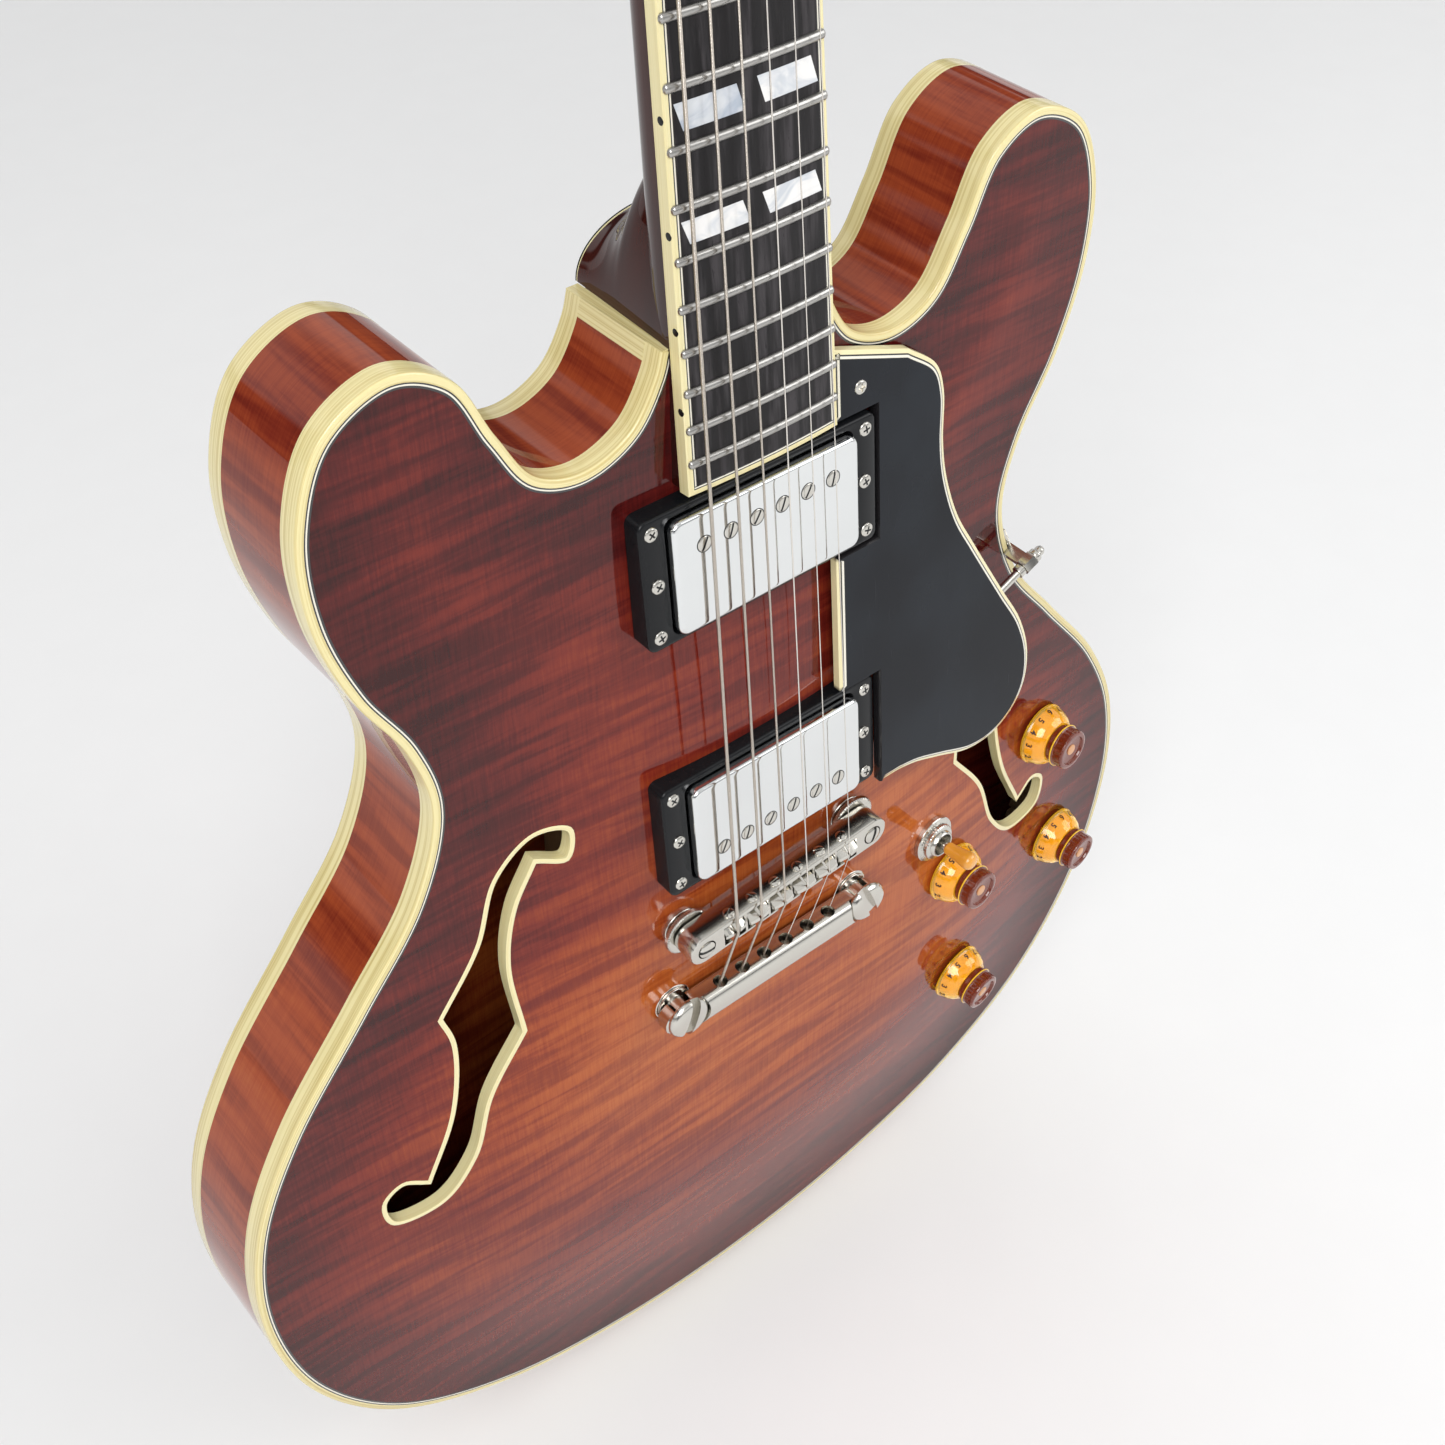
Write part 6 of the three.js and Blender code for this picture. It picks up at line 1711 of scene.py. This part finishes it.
stud = tailStud()
sleeve = lathe(rounded([(3.95, 8.6), (7.4, 8.6), (7.4, 12.0), (6.8, 12.35), (3.95, 12.35)], 0.3),
               40)
for side, name in ((-1, "bass"), (1, "treble")):
    x, y = side * tailSet["stud"][0], tailSet["stud"][1]
    body = "tailpiece_stud_" + name
    makeObject("tail_stud_" + name, shifted(spun(stud, "Z", 0.35 * side), x, y), nickel, body,
               replaces=[body], sharp=30)
    makeObject("tail_bushing_" + name, shifted(sleeve, x, y), nickel)
print("tailpiece ready")

# Controls stand square to the arch at their places.
knobPlaces = {"neck_volume": (150, -33.5), "neck_tone": (168.8, -104),
              "bridge_volume": (97.3, -69.8), "bridge_tone": (111.5, -144.5)}
switchPlace = (85, -43.5)


def onTop(part, place):
    step = 0.5
    x, y = place
    height = lambda u, v: float(topHeight(np.array(float(u)), np.array(float(v))))
    gx = (height(x + step, y) - height(x - step, y)) / (2 * step)
    gy = (height(x, y + step) - height(x, y - step)) / (2 * step)
    turn = Vector((0, 0, 1)).rotation_difference(Vector((-gx, -gy, 1)).normalized()).to_matrix()
    return moved(part, lambda p: p @ np.array(turn).T + np.array([x, y, height(x, y)]))


# Knob: a clear skirt over a coloured core, a ribbed crown with a cap, and a band between them.
knobSet = {"stand": 1.2, "size": 3.3, "extrude": 0.04, "bolder": 0.09, "numeralAt": (-11.98, 3.1),
           "numeralStep": 27, "numeralsTurned": 3.3, "sides": 96, "ribs": 24, "rib": 0.012}


def knobParts():
    b, sides = knobSet["stand"], knobSet["sides"]
    up = lambda profile: [(r, b + z) for r, z in profile]
    ring = lambda p: revolved(p[:, :1], p[:, 1], sides, closeU=True)
    skirt = up([(12.6, 0), (12.8, 0.3), (12.8, 0.9), (12.35, 1.6), (11.5, 4.6), (10.4, 6.6),
                (9.2, 7.8),
                (8.5, 8.5), (7.6, 7.9), (8.4, 7.0), (9.6, 5.9), (10.6, 4.1), (11.4, 1.4),
                (11.6, 0)])
    wave = 1 + knobSet["rib"] * np.cos(evenTurns(sides) * knobSet["ribs"])
    p = rounded(up([(0.02, 8.2), (7.7, 8.2), (7.9, 8.8), (8.0, 10.4), (8.6, 10.8), (8.6, 11.4),
                    (8.0, 11.8),
                    (8.1, 15.1), (7.9, 15.8), (7.2, 16), (6.2, 16), (5.9, 15.1), (0.02, 14.9)]),
                    0.22, 3)
    ribbed = np.where((p[:, 1] > b + 11.9) & (p[:, 0] > 7.95), 1, 0)[:, None]
    crownPart = revolved(p[:, :1] * (1 + (wave - 1) * ribbed), p[:, 1], sides, capped=True)
    inner = up([(0, 0.3), (10.9, 0.3), (10.7, 1.4), (9.9, 4.0), (8.9, 5.6), (7.4, 7.0), (7.2, 7.9),
                (0, 7.9)])
    cap = up([(0, 14.7), (2.3, 14.7), (2.3, 15.2), (2.0, 15.4), (0, 15.45)])
    band = up([(8.45, 10.8), (8.8, 10.95), (8.8, 11.25), (8.45, 11.4)])
    return {"skirt": ring(rounded(skirt, 0.25, 2)), "crown": crownPart,
            "inside": lathe(rounded(inner, 0.3, 2), 64), "cap": lathe(rounded(cap, 0.2, 2), 40),
            "band": ring(np.array(band)), "shaft": cylinder(3, -10.5, b + 0.4, 24)}


# The numerals 1 to 10 stand on the slope of the skirt.
def numeralsPart():
    parts = []
    ahead, up = knobSet["numeralAt"]
    for n in range(1, 11):
        curve = bpy.data.curves.new("numeral", "FONT")
        curve.body = str(n)
        curve.size = knobSet["size"]
        curve.align_x = curve.align_y = "CENTER"
        curve.extrude = knobSet["extrude"]
        curve.offset = knobSet["bolder"]
        holder = bpy.data.objects.new("numeral", curve)
        bpy.context.scene.collection.objects.link(holder)
        mesh = holder.evaluated_get(bpy.context.evaluated_depsgraph_get()).to_mesh()
        points = np.empty(len(mesh.vertices) * 3, np.float32)
        mesh.vertices.foreach_get("co", points)
        mesh.calc_loop_triangles()
        tris = np.empty(len(mesh.loop_triangles) * 3, np.int32)
        mesh.loop_triangles.foreach_get("vertices", tris)
        bpy.data.objects.remove(holder)
        bpy.data.curves.remove(curve)
        part = makePart(points.reshape(-1, 3), [tris.reshape(-1, 3)])
        part = shifted(spun(part, "X", math.atan2(3.0, 0.85)), 0, ahead, knobSet["stand"] + up)
        parts.append(spun(part, "Z", -(n - 5.5) * math.radians(knobSet["numeralStep"])))
    return joined(*parts)


knob = knobParts()
knob["numerals"] = spun(numeralsPart(), "Z", knobSet["numeralsTurned"])
knobLooks = {"skirt": (amberSkirt, 50), "crown": (amberCrown, 50), "inside": (amberInside, 35),
             "cap": (paleCap, 35), "band": (amberInside, 35), "shaft": (steel, 35),
             "numerals": (inkFinish, 35)}
for name, place in knobPlaces.items():
    body = "knob_" + name
    for piece, (finish, sharp) in knobLooks.items():
        makeObject("%s_%s" % (body, piece), onTop(knob[piece], place), finish, body, sharp=sharp,
                   replaces=[body] if piece == "skirt" else ())

# Switch: washer, stepped round nut with a ribbed edge and a wide mouth for the lever, the box
# below the top, lever and tip. Rows of the nut are (radius, height, whether it is ribbed).
switchSet = {"sides": 144, "ribs": 36, "rib": 0.02, "box": (8.5, -32, -8.4)}
nutRows = np.array([
    (4.6, -7.2, 0), (4.6, 0.05, 0), (9.5, 0.05, 0), (9.5, 1.7, 0), (9.3, 1.95, 0), (7.6, 2.2, 0),
    (7.3, 2.4, 1), (7.25, 3.9, 1), (6.9, 4.3, 0), (5.6, 4.6, 0), (5.3, 5.7, 0), (5.0, 6.0, 0),
    (4.5, 5.95, 0), (4.4, 5.4, 0), (2.7, -4.2, 0), (2.7, -7.2, 0)])
ribs = 1 + switchSet["rib"] * np.cos(evenTurns(switchSet["sides"]) * switchSet["ribs"])
nutPart = revolved(nutRows[:, :1] * np.where(nutRows[:, 2:] > 0, ribs, 1.0), nutRows[:, 1],
                   switchSet["sides"], closeU=True)
half, low, high = switchSet["box"]
tip = lathe(smoothCurve([(0, 8.0), (1.9, 8.0), (2.45, 8.4), (2.65, 11.5), (3.1, 15.2), (3.5, 18.0),
                         (3.3, 19.6), (2.2, 20.7), (0, 21.0)], 5), 40)
stem = lathe(rounded([(0, -6.4), (1.6, -6.4), (1.6, 8.2), (0, 8.2)], 0.2), 24)
box = makeBox((-half, -half, low), (half, half, high))
makeObject("switch_nut", onTop(nutPart, switchPlace), nickel, replaces=["switch_body"], sharp=30)
makeObject("switch_box", onTop(box, switchPlace), steel, slot="nickel")
makeObject("switch_tip", onTop(tip, switchPlace), tipPlastic, "switch_lever",
           replaces=["switch_lever"])
makeObject("switch_stem", onTop(stem, switchPlace), nickel, "switch_lever")
print("controls ready")

# Output jack on the treble side, its plate curved with the rim.
jackSet = {"place": (204, -90.02, -21.5), "plate": (35, 23), "around": (150, -150, -40), "nut": 7,
           "bore": 3.475, "hole": 5.1, "screws": (13.5, 8), "bend": 0.0011}


def jackPlate():
    length, height = jackSet["plate"]
    middle, level = jackSet["place"][1:]
    least, lowest, highest = jackSet["around"]
    y = middle + np.linspace(-length / 2, length / 2, 40)
    near = bodyEdge[(bodyEdge[:, 0] > least) & (bodyEdge[:, 1] < highest) & (bodyEdge[:,
                                                                                      1] > lowest)]
    order = np.argsort(near[:, 1])
    x = np.interp(y, near[order, 1], near[order, 0])
    z0, z1 = level - height / 2, level + height / 2
    return barOf([np.column_stack([x + out, y, np.full(40, z)]) for out, z in
                  ((0.02, z0), (1.6, z0), (2.0, z0 + 0.4), (2.0, z1 - 0.4), (1.6, z1), (0.02, z1))])


def onJack(part, x=0, y=0, z=0):
    cx, cy, cz = jackSet["place"]
    return shifted(spun(part, "Y", math.pi / 2), cx + x, cy + y, cz + z)


turn = evenTurns(6)
hexLoop = np.column_stack([jackSet["nut"] * np.cos(turn), jackSet["nut"] * np.sin(turn)])
nut = solidStack([(hexLoop * 0.94, 2.0), (hexLoop, 2.4), (hexLoop, 4.3), (hexLoop * 0.93, 4.7)])
barrel = lathe(rounded([(0, -18), (4.9, -18), (4.9, 5.0), (4.5, 5.4), (0, 5.4)], 0.2), 40)
whole = carved(carved(onJack(barrel), onJack(nut), join=True),
               onJack(cylinder(jackSet["bore"], -60, 60)))
dy, dz = jackSet["screws"]
bent = 2.0 - jackSet["bend"] * dy * dy * 2
jackScrews = [onJack(smallPhillips, bent, y, z) for y in (-dy, dy) for z in (-dz, dz)]
makeObject("jack_plate", carved(jackPlate(), onJack(cylinder(jackSet["hole"], -60, 60))), nickel,
           replaces=["output_jack"], sharp=30)
makeObject("jack_barrel", whole, nickel, sharp=30)
makeObject("jack_screws", joined(*jackScrews), nickel, sharp=30)

# Guard: thin plies seen along a slanted edge, a flat top, and the outline round both pickups.
guardShares = [
    (0.29, 0.882), (0.347, 0.8624), (0.3632, 0.8417), (0.3632, 0.806), (0.3706, 0.7799),
    (0.397, 0.744),
    (0.4368, 0.7127), (0.5078, 0.6602), (0.5574, 0.6234), (0.579, 0.5912), (0.5735, 0.564),
    (0.5451, 0.5448), (0.4961, 0.5329), (0.4387, 0.532), (0.3632, 0.5429), (0.3078, 0.5507),
    (0.2681, 0.5534)]
guardSet = {"thickness": 3.6, "drop": 3.8, "ringGap": 1.4, "boardGap": 1.1, "top": 0.9047,
            "bevel": 2.5,
            "ringBevel": 0.4, "ringRoom": 0.1, "step": 1.6, "screw": (39, 173.2), "screwSunk": 0.3}


# The guard's outline, clockwise: round the board's end and both rings, then its free edge.
def guardCorners():
    free = smoothCurve([bodyPoint(s) for s in guardShares], 10)
    left = float(boardHalf(boardEnd)) + guardSet["boardGap"]
    top = bodyEnd + guardSet["top"] * bodySet["length"]
    ringX = ringSet["length"] / 2 + guardSet["ringGap"]
    reach = ringSet["width"] / 2 + guardSet["ringGap"]
    neck, low = pickupSet["neck"], pickupSet["bridge"]
    fixed = np.array([(left, top), (left, neck + reach), (ringX, neck + reach),
                      (ringX, neck - reach),
                      (left, neck - reach), (left, low + reach), (ringX, low + reach),
                      (ringX, free[-1][1])])
    return np.vstack([fixed, free[::-1]])


def guardLoop():
    loop = guardCorners()
    made = []
    for a, b in zip(loop, np.roll(loop, -1, 0)):
        n = max(int(np.linalg.norm(b - a) / guardSet["step"]), 1)
        made.append(a + (b - a) * (np.arange(n) / n)[:, None])
    return counterClockwise(np.vstack(made))


def onGuard(loop, drop):
    return raised(loop, stringPlane(loop[:, 1], guardSet["drop"] + drop))


guardOuter = guardLoop()
ringX, reach = [ringSet[key] / 2 + guardSet["ringGap"] + guardSet["ringRoom"]
                for key in ("length", "width")]
x, y = guardOuter.T
byRing = ((np.abs(y - pickupSet["neck"]) <= reach) | (y <= pickupSet["bridge"] + reach)) & (x <= ringX)
slanted = np.where(byRing[:, None], drawnIn(guardOuter, guardSet["ringBevel"]),
                   drawnIn(guardOuter, guardSet["bevel"]))
plan, tris = planSheet([slanted], [])
high, low = [stringPlane(plan[:, 1], drop) for drop in
             (guardSet["drop"], guardSet["drop"] + guardSet["thickness"] - 0.1)]
makeObject("guard_plate", plate(plan, tris, high, low), guardPlastic, replaces=["pickguard"],
           sharp=40)
edgeRows = [onGuard(slanted, 0.0), onGuard(slanted * 0.5 + guardOuter * 0.5, 0.5),
            onGuard(guardOuter, 1.0),
            onGuard(guardOuter, guardSet["thickness"]), onGuard(slanted, guardSet["thickness"])]
guardEdge = makeObject("guard_edge", ringOf(edgeRows), guardPlies, sharp=40)

# The pale plies show on the free edge and between the rings, not beside a ring.
beside = np.repeat(byRing, len(edgeRows))
layer = guardEdge.data.attributes.new("pale", "FLOAT", "POINT")
layer.data.foreach_set("value", (~beside).astype(np.float32))
x, y = guardSet["screw"]
z = float(stringPlane(y, guardSet["drop"])) - guardSet["screwSunk"]
guardScrew = shifted(spun(phillips, "X", -neckSet["angle"]), x, y, z)
makeObject("guard_screw", guardScrew, nickel, sharp=30)

# Guard bracket: a rod under the guard runs out to a six-sided barrel, whose leg reaches down to
# a foot on the rim.
bracketSet = {"start": (109, 64.3), "turn": 0.439, "high": 9.5, "rim": 14.3, "leg": 0.9,
              "footEnd": 8.5, "screw": (1.0, 4.8, -7.5)}


def onBracket(part):
    return shifted(spun(part, "Z", bracketSet["turn"]), *bracketSet["start"])


def besideBracket(outline, near, far):
    layers = [[(s, t, z) for s, z in outline] for t in (near, far)]
    return skin(layers, closeV=True, capped=True)


rodProfile = rounded([(0, -9), (1.5, -9), (1.5, 7.6), (2.3, 7.7), (2.3, 10.1), (1.5, 10.3),
                      (1.5, 15.7),
                      (2.5, 15.8), (2.5, 17.4), (1.8, 18.0), (1.8, 19.4), (1.1, 20.5), (0, 20.7)],
                      0.25, 3)
barrelProfile = rounded([(0, 10.3), (3.1, 10.3), (3.1, 15.6), (0, 15.6)], 0.2, 2)
for label, part, sharp in (("rod", lathe(rodProfile, 32), 40),
                           ("barrel", lathe(barrelProfile, 6), 25)):
    made = onBracket(shifted(spun(part, "Y", math.pi / 2), 0, 0, bracketSet["high"]))
    makeObject("guard_bracket_" + label, made, nickel, sharp=sharp,
               replaces=["pickguard_bracket"] if label == "rod" else ())
rim, half = bracketSet["rim"], bracketSet["leg"]
legSide = [(10.6, 7.6), (15.3, 7.6), (rim + 1.2, -12.5), (rim, -12.5), (rim, 1.0), (10.6, 1.0)]
footSide = [(rim, -1.2), (rim + 1.1, -1.2), (rim + 1.1, -13.5), (rim, -13.5)]
for label, side, near, far in (("leg", legSide, -half, half),
                               ("foot", footSide, half + 0.02, bracketSet["footEnd"])):
    made = makeObject("guard_bracket_" + label, onBracket(besideBracket(side, near, far)), nickel,
                      sharp=30)
    soften(made, 0.15)
out, aside, up = bracketSet["screw"]
footScrew = shifted(spun(phillips, "Y", math.pi / 2), rim + out, aside, up)
makeObject("guard_bracket_screw", onBracket(footScrew), nickel, sharp=30)

# Strap buttons: a flared button held by a screw, at the end of the body and on the heel.
strapSet = {"end": (math.pi / 2, (0, bodyEnd, -21.5)), "heel": (math.pi, (12, 215.986, -44.2))}
flare = lathe(rounded([(0, 0.02), (6.4, 0.02), (6.5, 1.2), (4.6, 2.6), (3.9, 5.6), (4.2, 8.4),
                       (6.0, 10.4),
                       (7.0, 11.2), (6.9, 12.1), (5.6, 12.45), (3.0, 12.0), (0, 12.0)], 0.5, 3), 56)
head = shifted(phillips, 0, 0, 11.55)
for name, (angle, at) in strapSet.items():
    seat = lambda part: shifted(spun(part, "X", angle), *at)
    makeObject("strap_button_%s_flare" % name, seat(flare), nickel,
               replaces=["strap_button_" + name])
    makeObject("strap_screw_" + name, seat(head), nickel, sharp=30)
print("guard and buttons ready")

# The camera: found from the frets, screws and rims of the photograph.
cameraSet = {"turn": (-2.2718, 0.3244, -0.8190), "shift": (6.8634, 43.2375, 652.5219),
             "lens": 47.085, "sensor": 36, "nearest": 0.01}


def rotationOf(vector):
    angle = math.sqrt(sum(c * c for c in vector))
    return np.array(Matrix.Rotation(angle, 3, [c / angle for c in vector]))


turn = rotationOf(cameraSet["turn"])
place = -turn.T @ np.array(cameraSet["shift"])
direct = np.array([[1, 0, 0], [0, 0, -1], [0, 1, 0]], float)
axes = np.stack([direct @ turn[0], direct @ -turn[1], direct @ -turn[2]], 1)
camera = bpy.data.objects.new("camera", bpy.data.cameras.new("camera"))
camera.data.lens = cameraSet["lens"]
camera.data.sensor_width = cameraSet["sensor"]
camera.data.clip_start = cameraSet["nearest"]
pose = np.eye(4)
pose[:3, :3] = axes
pose[:3, 3] = toWorld(place)
camera.matrix_world = Matrix(pose.tolist())
bpy.context.scene.collection.objects.link(camera)
bpy.context.scene.camera = camera

# Floor and light: pale floor, wide soft lamps and an even pale room.
lightSet = {"floor": -0.893, "reach": 6, "room": 0.90, "key": 53, "fill": 22, "size": 1.6,
            "target": (0, 0, -0.6)}
corners = np.array([(-1, -1), (1, -1), (1, 1), (-1, 1)]) * lightSet["reach"]
floorFinish = Finish("floorPaper", roughness=0.7)
speck = floorFinish.noise(30)
floorFinish.put(baseColor=floorFinish.mix(speck, (0.84, 0.84, 0.84), (0.82, 0.82, 0.82)))
floorPart = makePart(raised(corners, lightSet["floor"]), [np.array([[0, 1, 2, 3]])])
floor = makeObject("floor", floorPart, floorFinish.material, body=None, world=False)


def softLamp(name, place, power):
    lamp = bpy.data.lights.new(name, "AREA")
    lamp.shape = "RECTANGLE"
    lamp.size = lamp.size_y = lightSet["size"]
    lamp.energy = power
    made = bpy.data.objects.new(name, lamp)
    made.location = place
    made.rotation_euler = (Vector(lightSet["target"]) - Vector(place)).to_track_quat("-Z",
                                                                                     "Y").to_euler()
    bpy.context.scene.collection.objects.link(made)


softLamp("key_lamp", (-1.5, -1.6, 1.3), lightSet["key"])
softLamp("fill_lamp", (1.8, -1.4, 0.6), lightSet["fill"])
world = bpy.data.worlds.new("room")
world.use_nodes = True
bpy.context.scene.world = world
backdrop = world.node_tree.nodes["Background"]
backdrop.inputs[1].default_value = lightSet["room"]

# The room is bright, with darker strips between its lamps that the polished metal shows.
room = Finish.__new__(Finish)
room.tree, room.shader = world.node_tree, backdrop
toward = room.node("TexCoord", output="Generated")
across, upward = room.axis(toward, "X"), room.axis(toward, "Z")
stripSet = {"left": (-0.72, -0.56), "right": (0.60, 0.74), "low": (0.10, 0.26),
            "high": (0.62, 0.74), "soft": 0.03, "highShare": 0.6}
soft = stripSet["soft"]
strips = across.band(*stripSet["left"], soft) + across.band(*stripSet["right"], soft)
strips = strips + upward.band(*stripSet["low"], soft)
strips = strips + upward.band(*stripSet["high"], soft) * stripSet["highShare"]
strips = strips.math("MINIMUM", strips, 1.0)
room.feed(backdrop.inputs[0], room.mix(strips, (1.0, 1.0, 1.0), (0.05, 0.055, 0.065)))
bpy.context.scene.view_settings.view_transform = "Standard"
print("camera and light ready")
